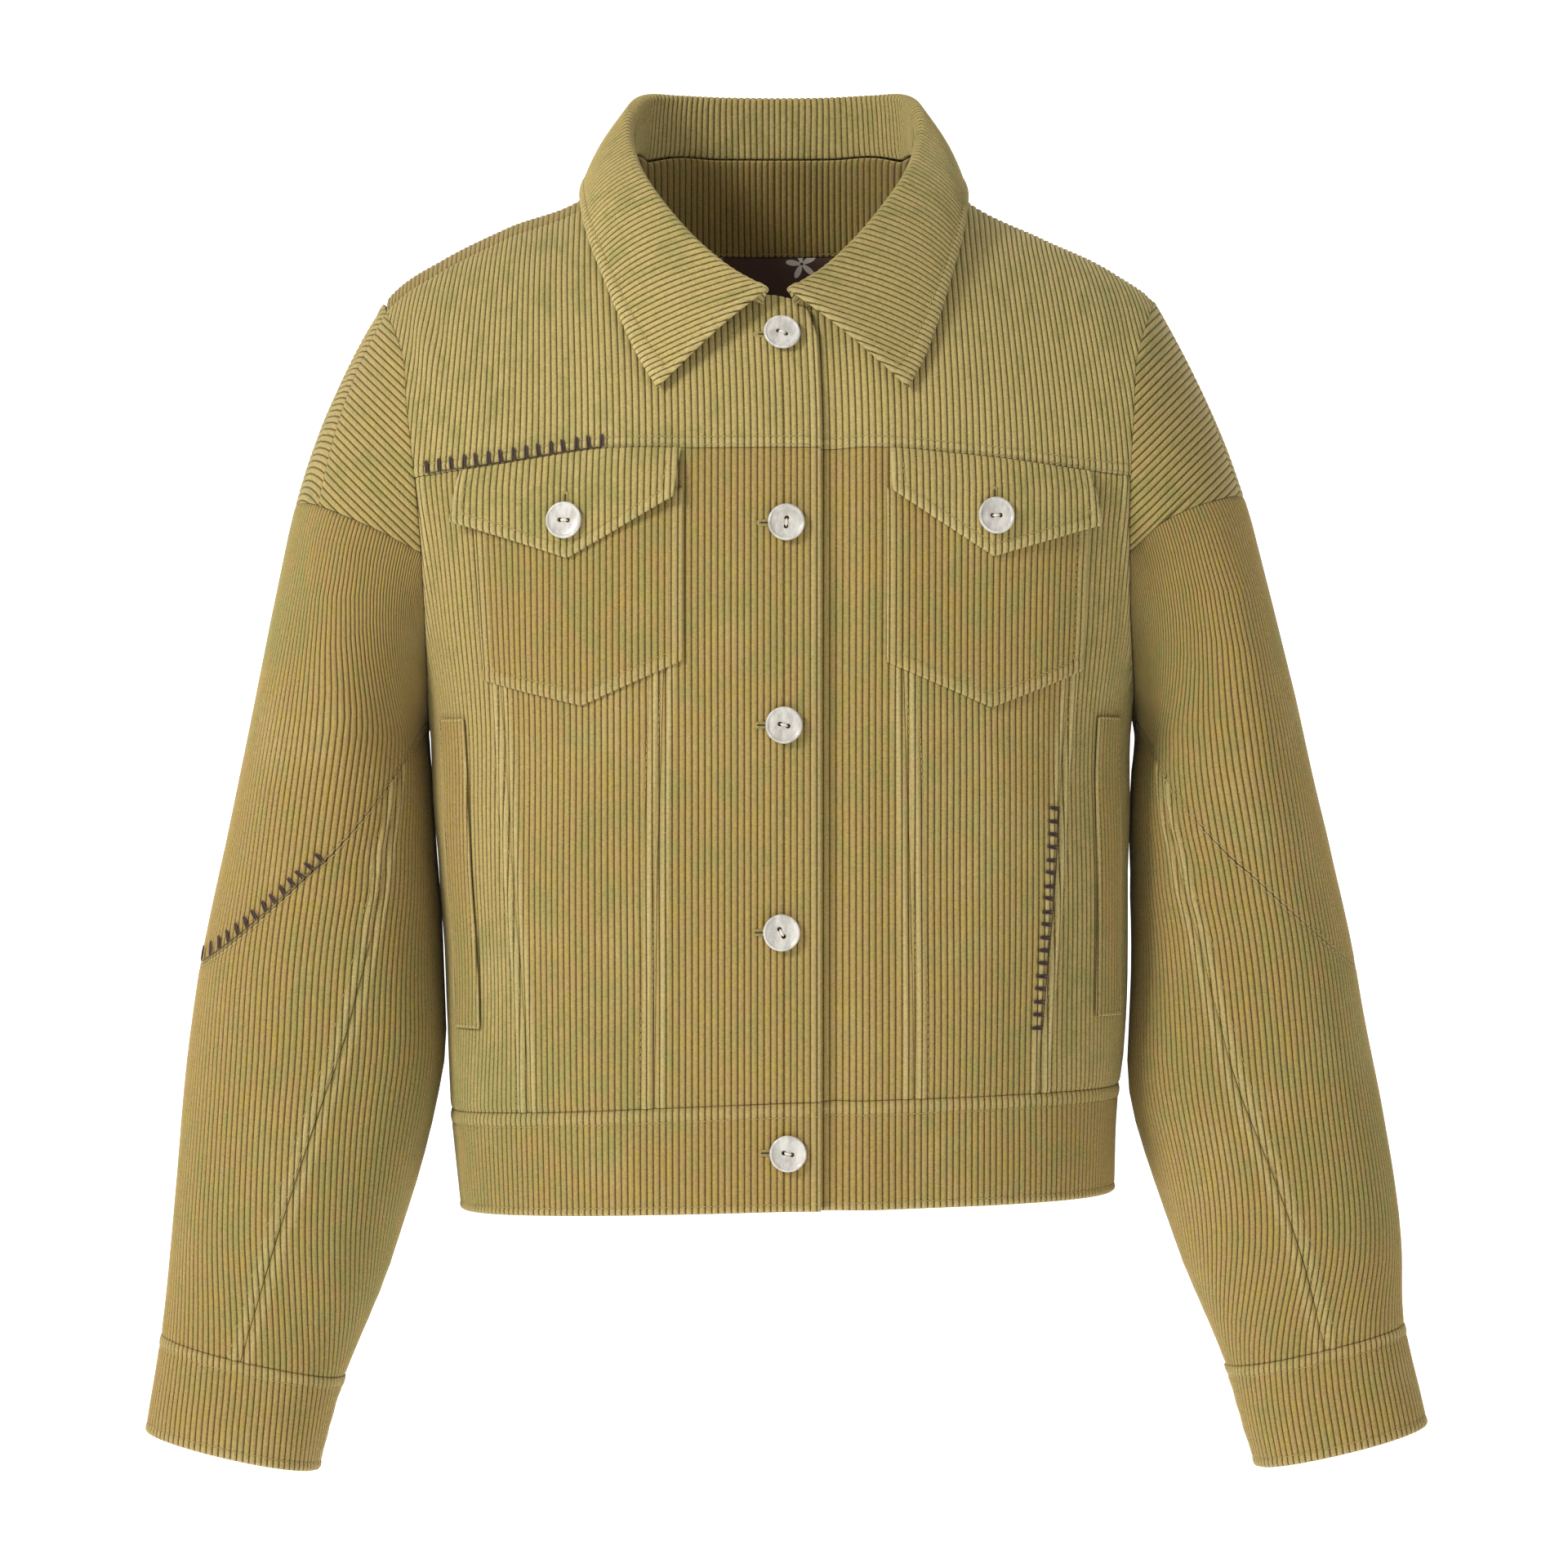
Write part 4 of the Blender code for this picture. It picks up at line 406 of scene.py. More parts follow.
class Torso:
    """The body's surface: level rings below the chest, domes over the shoulders above it."""

    def __init__(self, cut: BodyCut) -> None:
        """Measures the body's rings and shoulder profiles."""
        self.cut = cut
        self.rings = {face: self._measure_rings(face) for face in Face}
        self.profiles = {face: self._measure_profiles(face) for face in Face}

    def half(self, x: Array, z: Array) -> Array:
        """Half width at a height, on the side of x."""
        return by_side(self.cut.rings, x, z)

    def ridge(self, x: Array, face: Face) -> Array:
        """Height of the shoulder line."""
        cut = self.cut
        line = by_side(cut.shoulder, x, np.abs(x))
        if face is Face.BACK:
            part = np.clip(np.abs(x) / cut.neck_half, 0, 1) ** cut.neck_square
            line = line + cut.neck_rise * np.cos(0.5 * np.pi * part) ** 2
        return line

    def depth(self, z: Array, face: Face) -> Array:
        """Depth of the body in its middle."""
        return curve(self.cut.rings, 3 if face is Face.FRONT else 4, z)

    def y(self, x: Array, z: Array, face: Face) -> Array:
        """Depth of the surface at x and z."""
        n, m = self.cut.level_power[face], self.cut.dome_power[face]
        across = np.clip(1 - (np.abs(x) / self.half(x, z)) ** n, 0, 1) ** (1 / n)
        chest = self.cut.chest
        rise = np.clip((z - chest) / (self.ridge(x, face) - chest), 0, 1)
        return face.value * self.depth(z, face) * across * (1 - rise**m) ** (1 / m)

    def level(self, p: Array) -> Array:
        """How far points are out of the body, in no unit.

        Args:
            p: The points.

        Returns:
            Zero on the surface, and more outside.
        """
        x, y, z = p[..., 0], p[..., 1], p[..., 2]
        out = np.zeros_like(x)
        for face in Face:
            n, m = self.cut.level_power[face], self.cut.dome_power[face]
            depth = self.depth(z, face)
            wide = (np.abs(x) / self.half(x, z)) ** n
            rise = np.maximum((z - self.cut.chest) / (self.ridge(x, face) - self.cut.chest), 0)
            dome = np.clip(1 - rise**m, 1e-4, 1) ** (1 / m)
            low = (np.abs(y) / (depth * dome)) ** n + wide - 1
            across = np.clip(1 - wide, 1e-4, 1) ** (1 / n)
            high = (np.abs(y) / (depth * across)) ** m + rise**m - 1
            own = np.where(z < self.cut.dome_from, low, high)
            out = np.where(np.sign(y + 1e-9) == face.value, own, out)
        return out

    def slope(self, p: Array) -> Array:
        """Gradient of the level at points."""
        reach = 0.0015
        return np.stack([
            self.level(p + reach * axis) - self.level(p - reach * axis) for axis in np.eye(3)
        ], axis=-1) / (2 * reach)

    def normal(self, p: Array) -> Array:
        """Outward directions at points of the surface."""
        return unit(self.slope(p))

    def _measure_rings(self, face: Face) -> Unrolled:
        """Unrolls the level rings of a face by their turn."""
        heights = np.linspace(-0.565, -0.130, 88)
        turn = np.linspace(-np.pi / 2, np.pi / 2, 361)
        z, a = np.meshgrid(heights, turn, indexing="ij")
        x = self._ring_x(a, z, face)
        return Unrolled(heights, turn, np.stack((x, self.y(x, z, face)), axis=-1), 0.0)

    def _ring_x(self, turn: Array, z: Array, face: Face) -> Array:
        """x on a level ring by its turn: 0 in the middle, a quarter turn at the side."""
        share = np.abs(np.sin(turn)) ** (2 / self.cut.level_power[face])
        return self.half(turn, z) * np.sign(turn) * share

    def _measure_profiles(self, face: Face) -> Unrolled:
        """Unrolls the profiles of a face, from the other face over the shoulder line and down."""
        across = np.linspace(-0.236, 0.236, 190)
        turn = np.linspace(-np.pi / 2, np.pi / 2, 361)
        x, a = np.meshgrid(across, turn, indexing="ij")
        y, z = self._profile(x, a, face)
        return Unrolled(across, turn, np.stack((y, z), axis=-1), 0.0)

    def _profile(self, x: Array, a: Array, face: Face) -> tuple[Array, Array]:
        """Points of the profiles over the shoulder.

        Args:
            x: Distance from the middle.
            a: Turn, from 0 on the shoulder line to a quarter turn down the face.
            face: The face of the body.

        Returns:
            y and z.
        """
        cut = self.cut
        top = self.ridge(x, face)
        y, z = np.zeros_like(a), np.zeros_like(a)
        for part in (face, Face(-face.value)):
            n, m = cut.level_power[part], cut.dome_power[part]
            rise = np.abs(np.cos(a)) ** (2 / m)
            height = cut.chest + (top - cut.chest) * rise
            wide = np.clip(1 - (np.abs(x) / self.half(x, height)) ** n, 0, 1) ** (1 / n)
            deep = np.clip(1 - rise**m, 0, 1) ** (1 / m)
            here = (a >= 0) == (part is face)
            y = np.where(here, part.value * self.depth(height, part) * wide * deep, y)
            z = np.where(here, height, z)
        return y, z

    def arc(self, x: Array, z: Array, face: Face) -> Array:
        """Arc length from the middle to x, at height z."""
        x, z = np.broadcast_arrays(arr(x), arr(z))
        share = np.clip(np.abs(x) / self.half(x, z), 0, 1)
        turn = np.sign(x) * np.arcsin(share ** (self.cut.level_power[face] / 2))
        return self.rings[face].length(z, turn)

    def side_arc(self, z: Array, side: Side, face: Face) -> Array:
        """Arc length from the middle to the side seam."""
        return self.rings[face].ends(arr(z))[0 if side is Side.RIGHT else 1]

    def at_arc(self, s: Array, z: Array, face: Face) -> Array:
        """The point at an arc length and a height."""
        s, z = np.broadcast_arrays(arr(s), arr(z))
        x = self._ring_x(self.rings[face].value(z, s), z, face)
        return np.stack((x, self.y(x, z, face), z), axis=-1)

    def at_profile(self, x: Array, down: Array, face: Face) -> Array:
        """The point at x and at an arc length down from the shoulder line."""
        x, down = np.broadcast_arrays(arr(x), arr(down))
        y, z = self._profile(x, self.profiles[face].value(x, down), face)
        return np.stack((x, y, z), axis=-1)

    def down_to(self, x: Array, z: Array, face: Face) -> Array:
        """Arc length down from the shoulder line to height z at x."""
        x, z = np.broadcast_arrays(arr(x), arr(z))
        chest = self.cut.chest
        rise = np.clip((z - chest) / (self.ridge(x, face) - chest), 0, 1)
        turn = np.arccos(np.clip(rise ** (self.cut.dome_power[face] / 2), 0, 1))
        return self.profiles[face].length(x, turn)

    def neck(self, x: Array, face: Face) -> Array:
        """Arc length from the shoulder line down a face to the neckline."""
        table = self.cut.neck_front if face is Face.FRONT else self.cut.neck_back
        ax, reach = np.abs(x), table[-1, 0]
        inner = self.down_to(x, curve(table, 1, np.minimum(ax, reach)), face)
        seam = np.where(x < 0, *(self.cut.seam_forward(s) for s in Side))
        part = np.clip((ax - reach) / (self.cut.neck_half - reach), 0, 1)
        t = ease(part) if face is Face.FRONT else part**1.5
        return inner * (1 - t) - face.value * seam * t

    def neckline(self, count: int) -> Array:
        """Points round the neckline, from the front middle round the back to the front again.

        Args:
            count: How many.

        Returns:
            The points, evenly spaced.
        """
        grow = np.linspace(0, 1, 60)
        halves = []
        for sign in (-1, 1):
            x = sign * self.cut.neck_half * np.sin(grow * np.pi / 2)
            front = self.at_profile(x, self.neck(x, Face.FRONT), Face.FRONT)
            back = self.at_profile(x, self.neck(x, Face.BACK), Face.BACK)[::-1]
            halves.append(np.concatenate((front, back[1:])))
        points = np.concatenate((halves[0], halves[1][::-1][1:]))
        s = run_length(points)
        return between(np.linspace(0, s[-1], count), s, points)

    def seam_height(self, table: Array, x: Array) -> Array:
        """Height of the waist seam or the hem.

        Args:
            table: Its heights at the places of seam_at.
            x: Places from side to side.

        Returns:
            The heights.
        """
        return np.interp(x, self.cut.seam_at, table)

    def lean(self, points: Array) -> Array:
        """The stance that every piece shares: a lean, and the sleeves against the body.

        Args:
            points: Points of the upright jacket.

        Returns:
            Where they are on the hanging one.
        """
        shift, start, end = self.cut.lean
        moved = points.copy()
        moved[..., 0] += shift * ease((points[..., 2] - start) / (end - start))
        x, z = moved[..., 0].copy(), points[..., 2]
        inmost = self.cut.hang_from
        for side, table in self.cut.hang.items():
            body, inner, outer, own, near, far = (
                0.001 * np.interp(-1000 * z, table[:, 0], table[:, k]) for k in range(1, 7))
            out = side.value * x
            draw = (own * np.clip((out - inmost) / (body - inmost), 0, 1)
                    + (near - own) * np.clip((out - body) / (inner - body), 0, 1)
                    + (far - near) * np.clip((out - inner) / (outer - inner), 0, 1))
            moved[..., 0] -= side.value * draw
        height, top, foot = self.cut.lift
        first, width = self.cut.lift_out
        rise = height * ease((z - top) / (foot - top))
        moved[..., 2] += rise * ease((np.abs(x) - first) / width)
        return moved


# ---------------------------------------------------------------- sleeves
@dataclass
class SleeveCut:
    """Sleeve sizes: the same named tables that its solids are made from.

    Each row of rings has the section's number, its middle, half its width and depth, and its tilt
    in degrees. A row of start has degrees round the armhole and the direction out, down and
    inwards in which the sleeve leaves it. The seams along the sleeve are degrees by section.
    """

    rings: dict[Side, Array] = field(default_factory=lambda: {
        Side.RIGHT: np.array((
            (1, 0.2364, 0.000, -0.2900, 0.0458, 0.078, 2.0),
            (2, 0.2393, -0.003, -0.3400, 0.0523, 0.077, 3.0),
            (3, 0.2432, -0.008, -0.4000, 0.0618, 0.073, 4.0),
            (4, 0.2480, -0.015, -0.4705, 0.0663, 0.067, 7.0),
            (5, 0.2602, -0.023, -0.5400, 0.0605, 0.059, 10.0),
            (6, 0.2758, -0.029, -0.6086, 0.0514, 0.044, 13.0),
            (7, 0.2869, -0.032, -0.6585, 0.0473, 0.038, 12.5),
        )),
        Side.LEFT: np.array((
            (1, 0.2306, 0.000, -0.2900, 0.0430, 0.078, 2.0),
            (2, 0.2349, -0.003, -0.3400, 0.0500, 0.077, 3.0),
            (3, 0.2399, -0.008, -0.4000, 0.0580, 0.073, 4.0),
            (4, 0.2459, -0.015, -0.4705, 0.0658, 0.067, 7.0),
            (5, 0.2617, -0.023, -0.5400, 0.0603, 0.059, 10.0),
            (6, 0.2762, -0.029, -0.6028, 0.0482, 0.044, 14.0),
            (7, 0.2906, -0.032, -0.6561, 0.0452, 0.038, 14.0),
        )),
    })
    square: float = 2.2
    cuff_top: float = 6.0
    cuff_end: float = 7.0
    start: Array = field(default_factory=lambda: np.array((
        (0, 0.42, 0.91, 0.00), (45, 0.55, 0.80, 0.05), (90, 0.55, 0.80, 0.12),
        (135, 0.30, 0.93, 0.15), (180, 0.10, 0.99, 0.00))))
    cap_corner: float = -0.1905
    cap_seam: Array = field(default_factory=lambda: np.array((
        (0.00, -0.1635, -0.1590), (0.40, -0.1645, -0.1615), (0.75, -0.1765, -0.1730),
        (1.00, -0.1905, -0.1905))))
    elbow: tuple[float, float, float] = (-0.3382, 0.0622, 0.012)
    front_seam: Array = field(default_factory=lambda: np.array((
        (0, 150.0), (1, 140.0), (2, 127.0), (3, 113.0), (4, 98.0), (5, 91.0), (6, 88.0))))
    back_seam: Array = field(default_factory=lambda: np.array((
        (0, -150.0), (3, -140.0), (6, -120.0))))
    hole_out: float = 0.155
    hole_foot: float = -0.29
    blend: float = 0.010


class Sleeve:
    """One sleeve's surface by degrees round it (0 outer, 90 front, 180 underarm) and section."""

    def __init__(self, side: Side, torso: Torso, cut: SleeveCut) -> None:
        """Measures the armhole and unrolls the sleeve.

        Args:
            side: The wearer's side.
            torso: The body.
            cut: The sleeves' sizes.
        """
        self.side, self.torso, self.cut = side, torso, cut
        self.rings = cut.rings[side]
        self.start_out = side.pick(1.45, 1.10)
        self.ridge_end = side.pick(50.0, 24.0)
        self.holes = {face: self._armhole_half(face) for face in Face}
        turn = np.linspace(-180, 180, 721)
        edge = self.armhole(turn)
        around = unit(np.roll(edge, -1, axis=0) - np.roll(edge, 1, axis=0))
        own = self.orient(np.cross(around, self.leave(turn)), turn)
        down = np.array((0, 0, -1)) * ease((np.abs(turn) - 90) / 90)[:, None]
        self.edge_normal = unit(torso.normal(edge) + own + down)
        self.tree = KDTree(len(edge))
        for index, point in enumerate(edge):
            self.tree.insert(point, index)
        self.tree.balance()
        self.cap_end = {
            face: float(np.interp(-cut.cap_corner, -hole[:, 2], np.arange(181)))
            for face, hole in self.holes.items()
        }
        self.rows = np.linspace(0, cut.cuff_end, 106)
        self.degrees = np.linspace(-320, 320, 641)
        v, a = np.meshgrid(self.rows, self.degrees, indexing="ij")
        points = self.at(a, v)
        self.around = Unrolled(self.rows, self.degrees, points, 0.0)
        along = np.linalg.norm(np.diff(points, axis=0), axis=-1) / (self.rows[1] - self.rows[0])
        self.metres = np.concatenate((along, along[-1:]))
        middle, reach = len(self.degrees) // 2, 40
        outer = self.metres[:, middle - reach:middle + reach + 1]
        mean = np.cumsum(outer.mean(axis=1)) * self.rows[1]
        self.length = mean - mean[0]

    def armhole_x(self, z: Array) -> Array:
        """Distance of the armhole from the middle."""
        z = arr(z)
        reach = self.torso.half(np.full_like(z, self.side.value), z)
        column = 1 if self.side is Side.RIGHT else 2
        return np.minimum(curve(self.torso.cut.armhole, column, z), reach)

    def _armhole_half(self, face: Face) -> Array:
        """Half of the armhole.

        Args:
            face: The face of the body that it runs down.

        Returns:
            Evenly spaced points, from the top to the underarm.
        """
        low, high = -0.110, -0.020
        for _ in range(40):
            top = 0.5 * (low + high)
            x = arr(self.side.value * float(self.armhole_x(top)))
            low, high = (top, high) if float(self.torso.ridge(x, face)) > top else (low, top)
        grow = np.sin(np.linspace(0, np.pi / 2, 400)) ** 2
        z = top + (self.torso.cut.underarm - top) * grow
        x = self.side.value * self.armhole_x(z)
        y = self.torso.y(x, z, face)
        y[0] = y[-1] = 0
        points = np.stack((x, y, z), axis=-1)
        s = run_length(points)
        return between(np.linspace(0, s[-1], 181), s, points)

    @staticmethod
    def wrap(turn: Array) -> Array:
        """Degrees brought between -180 and 180."""
        return (turn + 180) % 360 - 180

    def armhole(self, turn: Array) -> Array:
        """Points of the armhole seam by degrees from its top."""
        half = np.linspace(0, 180, 181)
        turn = self.wrap(turn)
        out = np.empty(turn.shape + (3,))
        for k in range(3):
            front = np.interp(np.abs(turn), half, self.holes[Face.FRONT][:, k])
            back = np.interp(np.abs(turn), half, self.holes[Face.BACK][:, k])
            out[..., k] = np.where(turn >= 0, front, back)
        return out

    def turn_of(self, point: Array) -> float:
        """Degrees from the top of the armhole point nearest to this one."""
        return float(self.tree.find(point)[1]) / 2 - 180

    def leave(self, turn: Array) -> Array:
        """The direction in which the sleeve leaves the armhole."""
        turn = self.wrap(turn)
        a = np.abs(turn)
        out, down, inward = (curve(self.cut.start, k, a) for k in (1, 2, 3))
        return unit(np.stack((
            self.side.value * out * self.start_out, np.sign(turn) * inward, -down), axis=-1))

    def orient(self, normals: Array, turn: Array) -> Array:
        """Normals turned to point away from the inside of the sleeve."""
        a = np.radians(turn)
        away = np.stack((self.side.value * np.cos(a), -np.sin(a), 0.0 * turn), axis=-1)
        agree = np.sum(np.sum(normals * away, axis=-1)) >= 0
        return unit(normals) * (1 if agree else -1)

    def section(self, turn: Array, v: Array) -> Array:
        """A point on the sections, from 1 down."""
        cx, cy, cz, wide, deep, tilt = (curve(self.rings, k, v) for k in range(1, 7))
        a, power = np.radians(turn), 2 / self.cut.square
        u = wide * np.sign(np.cos(a)) * np.abs(np.cos(a)) ** power
        f = deep * np.sign(np.sin(a)) * np.abs(np.sin(a)) ** power
        t = np.radians(tilt)
        return np.stack((
            self.side.value * (cx + u * np.cos(t)), cy - f, cz + u * np.sin(t)), axis=-1)

    def at(self, turn: Array, v: Array) -> Array:
        """Points of the sleeve's surface.

        Args:
            turn: Degrees round it.
            v: Sections, 0 being the armhole.

        Returns:
            The points.
        """
        turn, v = np.broadcast_arrays(arr(turn), arr(v))
        first = np.ones_like(v)
        start, end = self.armhole(turn), self.section(turn, first)
        start[..., 0] += self.side.value * SEAM / 2
        chord = np.linalg.norm(end - start, axis=-1, keepdims=True)
        leave = self.leave(turn) * chord
        arrive = unit(self.section(turn, first + 0.02) - end) * chord
        t = np.clip(v, 0, 1)[..., None]
        upper = (
            (2 * t**3 - 3 * t**2 + 1) * start + (t**3 - 2 * t**2 + t) * leave
            + (3 * t**2 - 2 * t**3) * end + (t**3 - t**2) * arrive
        )
        return np.where(v[..., None] < 1, upper, self.section(turn, np.maximum(v, 1)))

    def normal(self, turn: Array, v: Array) -> Array:
        """Outward directions, turning into the shared direction of the armhole seam."""
        turn, v = np.broadcast_arrays(arr(turn), arr(v))
        span, step = 1.5, 0.01
        low, high = np.maximum(v - step, 0), np.minimum(v + step, 7.0)
        around = self.at(turn + span, v) - self.at(turn - span, v)
        along = self.at(turn, high) - self.at(turn, low)
        own = self.orient(np.cross(unit(around), unit(along)), turn)
        return self.near_armhole(self.at(turn, v), own)

    def near_armhole(self, points: Array, normals: Array) -> Array:
        """Blends normals, close to the armhole, into the one that body and sleeve share.

        Args:
            points: Points of the body or the sleeve.
            normals: Their own outward directions.

        Returns:
            The blended directions.
        """
        cut = self.cut
        flat, out = points.reshape(-1, 3), normals.reshape(-1, 3).copy()
        for index in np.flatnonzero(
                (flat[:, 0] * self.side.value > cut.hole_out) & (flat[:, 2] > cut.hole_foot)):
            _, nearest, gap = self.tree.find(flat[index])
            if gap < cut.blend:
                part = 1 - gap / cut.blend
                out[index] = out[index] * (1 - part) + self.edge_normal[nearest] * part
        return unit(out).reshape(points.shape)

    def level_with(self, turn: Array, height: Array, lowest: float = 7.0) -> Array:
        """The section number at which a line down the sleeve reaches a height."""
        low, high = np.zeros_like(turn), np.full_like(turn, lowest)
        for _ in range(22):
            middle = 0.5 * (low + high)
            above = self.at(turn, middle)[..., 2] > height
            low, high = np.where(above, middle, low), np.where(above, high, middle)
        return 0.5 * (low + high)

    def cap_seam(self, turn: Array) -> Array:
        """Section number of the seam below the cap; 0 past its ends."""
        end = np.where(turn < 0, self.cap_end[Face.BACK], self.cap_end[Face.FRONT])
        share = np.abs(turn) / end
        table = self.cut.cap_seam
        height = by_side(table, np.full_like(share, self.side.value), np.minimum(share, 1))
        return np.where(share < 1, self.level_with(turn, height, 1.0), 0.0)

    def elbow_seam(self, turn: Array) -> Array:
        """Section number of the slanting seam at the elbow."""
        middle, slope, bow = self.cut.elbow
        a = np.radians(turn)
        return self.level_with(turn, middle - slope * np.cos(a) - bow * np.abs(np.sin(a)))


# ---------------------------------------------------------------- collar
@dataclass
class CollarCut:
    """Collar sizes: points of its fold and its edge by place round the neck, and its roll."""

    line: Array = field(default_factory=lambda: np.array((
        (0.0, 0.0000, 0.0700, 0.0600, 0.0000, 0.0770, 0.0075),
        (0.1, 0.0280, 0.0670, 0.0600, 0.0370, 0.0720, 0.0078),
        (0.2, 0.0510, 0.0570, 0.0598, 0.0700, 0.0570, 0.0085),
        (0.3, 0.0670, 0.0380, 0.0575, 0.0915, 0.0330, 0.0080),
        (0.4, 0.0730, 0.0140, 0.0470, 0.0975, 0.0020, 0.0030),
        (0.5, 0.0738, -0.0100, 0.0290, 0.0965, -0.0270, -0.0110),
        (0.6, 0.0680, -0.0400, 0.0090, 0.0930, -0.0560, -0.0310),
        (0.7, 0.0560, -0.0625, -0.0110, 0.0872, -0.0800, -0.0520),
        (0.8, 0.0400, -0.0795, -0.0310, 0.0802, -0.0950, -0.0735),
        (0.9, 0.0225, -0.0905, -0.0465, 0.0722, -0.1060, -0.0935),
        (1.0, 0.0035, -0.0985, -0.0572, 0.0630, -0.1130, -0.1095),
    )))
    roll: float = 0.0042
    roll_end: float = 0.0032
    base_shift: float = 0.03
    base_up: float = 0.0024
    base_in: float = 0.0021
    bulge: float = 0.0030
    clear_inside: float = 0.0015
    stand_part: float = 0.28
    roll_part: float = 0.44
    clear: float = 0.0052
    wall: float = 0.0026


class CollarForm:
    """The collar's outer surface: a stand on the neckline, a fold, and a leaf on the shoulders."""

    def __init__(self, torso: Torso, cut: CollarCut) -> None:
        """Works out the collar's base, fold and edge.

        Args:
            torso: The body.
            cut: The collar's sizes.
        """
        self.torso, self.cut = torso, cut
        self.t = np.linspace(-1, 1, 161)
        a, sign = np.abs(self.t), np.sign(self.t)
        even = torso.neckline(161)
        own = self.t * (1 - cut.base_shift * ease((a - 0.7) / 0.3))
        base = between(own, self.t, even)
        fold = np.stack([curve(cut.line, k, a) for k in (1, 2, 3)], axis=-1)
        edge = np.stack([curve(cut.line, k, a) for k in (4, 5, 6)], axis=-1)
        fold[:, 0] *= sign
        edge[:, 0] *= sign
        edge = self.lift_clear(edge, cut.clear)
        up = unit(fold - edge)
        out = unit(np.cross(up, unit(np.gradient(fold, axis=0))))
        away = np.sum(out * torso.normal(base), axis=-1, keepdims=True)
        out = out * np.where(away < 0, -1, 1)
        self.base = base + unit(fold - base) * cut.base_up - out * cut.base_in
        self.fold, self.edge, self.up, self.out = fold, edge, up, out

    def lift_clear(self, points: Array, gap: float | Array) -> Array:
        """Points moved out until they are this far from the body."""
        for _ in range(6):
            slope = self.torso.slope(points)
            size = np.maximum(np.linalg.norm(slope, axis=-1, keepdims=True), 1e-6)
            far = self.torso.level(points)[..., None] / size
            points = points + slope / size * np.clip(gap - far, 0, 0.01)
        return points

    def at(self, t: Array, w: Array) -> Array:
        """The collar's visible surface.

        Args:
            t: Places round the neck, from -1 to 1.
            w: Shares of the way from the neck seam over the fold to the edge.

        Returns:
            The points there.
        """
        cut = self.cut
        base, fold, edge, up, out = (between(t, self.t, line) for line in (
            self.base, self.fold, self.edge, self.up, self.out))
        up, out = unit(up), unit(out)
        radius = (cut.roll + (cut.roll_end - cut.roll) * ease((np.abs(t) - 0.7) / 0.3))[..., None]
        centre = fold - up * radius
        first, last = centre - out * radius, centre + out * radius
        w = w[..., None]
        stand = base + (first - base) * np.clip(w / cut.stand_part, 0, 1)
        swing = np.pi * np.clip((w - cut.stand_part) / (cut.roll_part - cut.stand_part), 0, 1)
        roll = centre - out * radius * np.cos(swing) + up * radius * np.sin(swing)
        part = np.clip((w - cut.roll_part) / (1 - cut.roll_part), 0, 1)
        fall = last + (edge - last) * part + out * cut.bulge * np.sin(np.pi * part)
        need = cut.clear + cut.clear_inside * (1 - part)
        fall = np.where(part > 0.001, self.lift_clear(fall, need), fall)
        return np.where(w < cut.stand_part, stand, np.where(w < cut.roll_part, roll, fall))

    def normal(self, t: Array, w: Array) -> Array:
        """Directions away from the inside of the fold."""
        dt, dw = 0.012, 0.02
        around = self.at(np.minimum(t + dt, 1), w) - self.at(np.maximum(t - dt, -1), w)
        across = self.at(t, np.minimum(w + dw, 1)) - self.at(t, np.maximum(w - dw, 0))
        return unit(np.cross(unit(around), unit(across)))


# ---------------------------------------------------------------- cloth
@dataclass(frozen=True)
class Wales:
    """The ribs of the corduroy, in metres, and where columns of mesh stand in each rib's width."""

    pitch: float = 0.0033
    relief: float = 0.00085
    stops: tuple[float, ...] = (0.0, 0.17, 0.5, 0.83)

    def height(self, across: Array) -> Array:
        """Height of the pile, 0 in the grooves and 1 on the ribs."""
        return np.abs(np.sin(np.pi * across / self.pitch)) ** 0.6

    def columns(self, low: float, high: float) -> Array:
        """Places across the cloth where its mesh has columns: on each rib and groove."""
        first, last = math.floor(low / self.pitch), math.ceil(high / self.pitch)
        at = np.array([(k + stop) * self.pitch for k in range(first, last + 1)
                       for stop in self.stops])
        inside = at[(at > low + 0.00015) & (at < high - 0.00015)]
        return np.concatenate(([low], inside, [high]))


@dataclass(frozen=True)
class PlainCloth(Wales):
    """Smooth cloth: no ribs, and columns 6 mm apart."""

    relief: float = 0.0

    def columns(self, low: float, high: float) -> Array:
        """Evenly spaced columns."""
        return np.linspace(low, high, max(4, int((high - low) / 0.006)))


@dataclass(frozen=True)
class Fold:
    """A soft fold or hollow of the cloth, along a line from start to end (x, z) of one face."""

    start: tuple[float, float]
    end: tuple[float, float]
    width: float
    height: float
    face: Face = Face.FRONT

    def lift(self, points: Array) -> Array:
        """How far the fold lifts the cloth at points."""
        a, b = np.array(self.start), np.array(self.end)
        flat, along = points[..., (0, 2)], b - a
        size = float(along @ along)
        t = np.clip(((flat - a) @ along) / size, 0, 1)
        far = np.linalg.norm(flat - (a + t[..., None] * along), axis=-1)
        fade = np.sin(np.pi * np.clip(0.12 + 0.76 * t, 0, 1))
        facing = ease(0.5 + self.face.value * (points[..., 1] + 0.005) / 0.05)
        return self.height * np.exp(-((far / self.width) ** 2)) * fade * facing


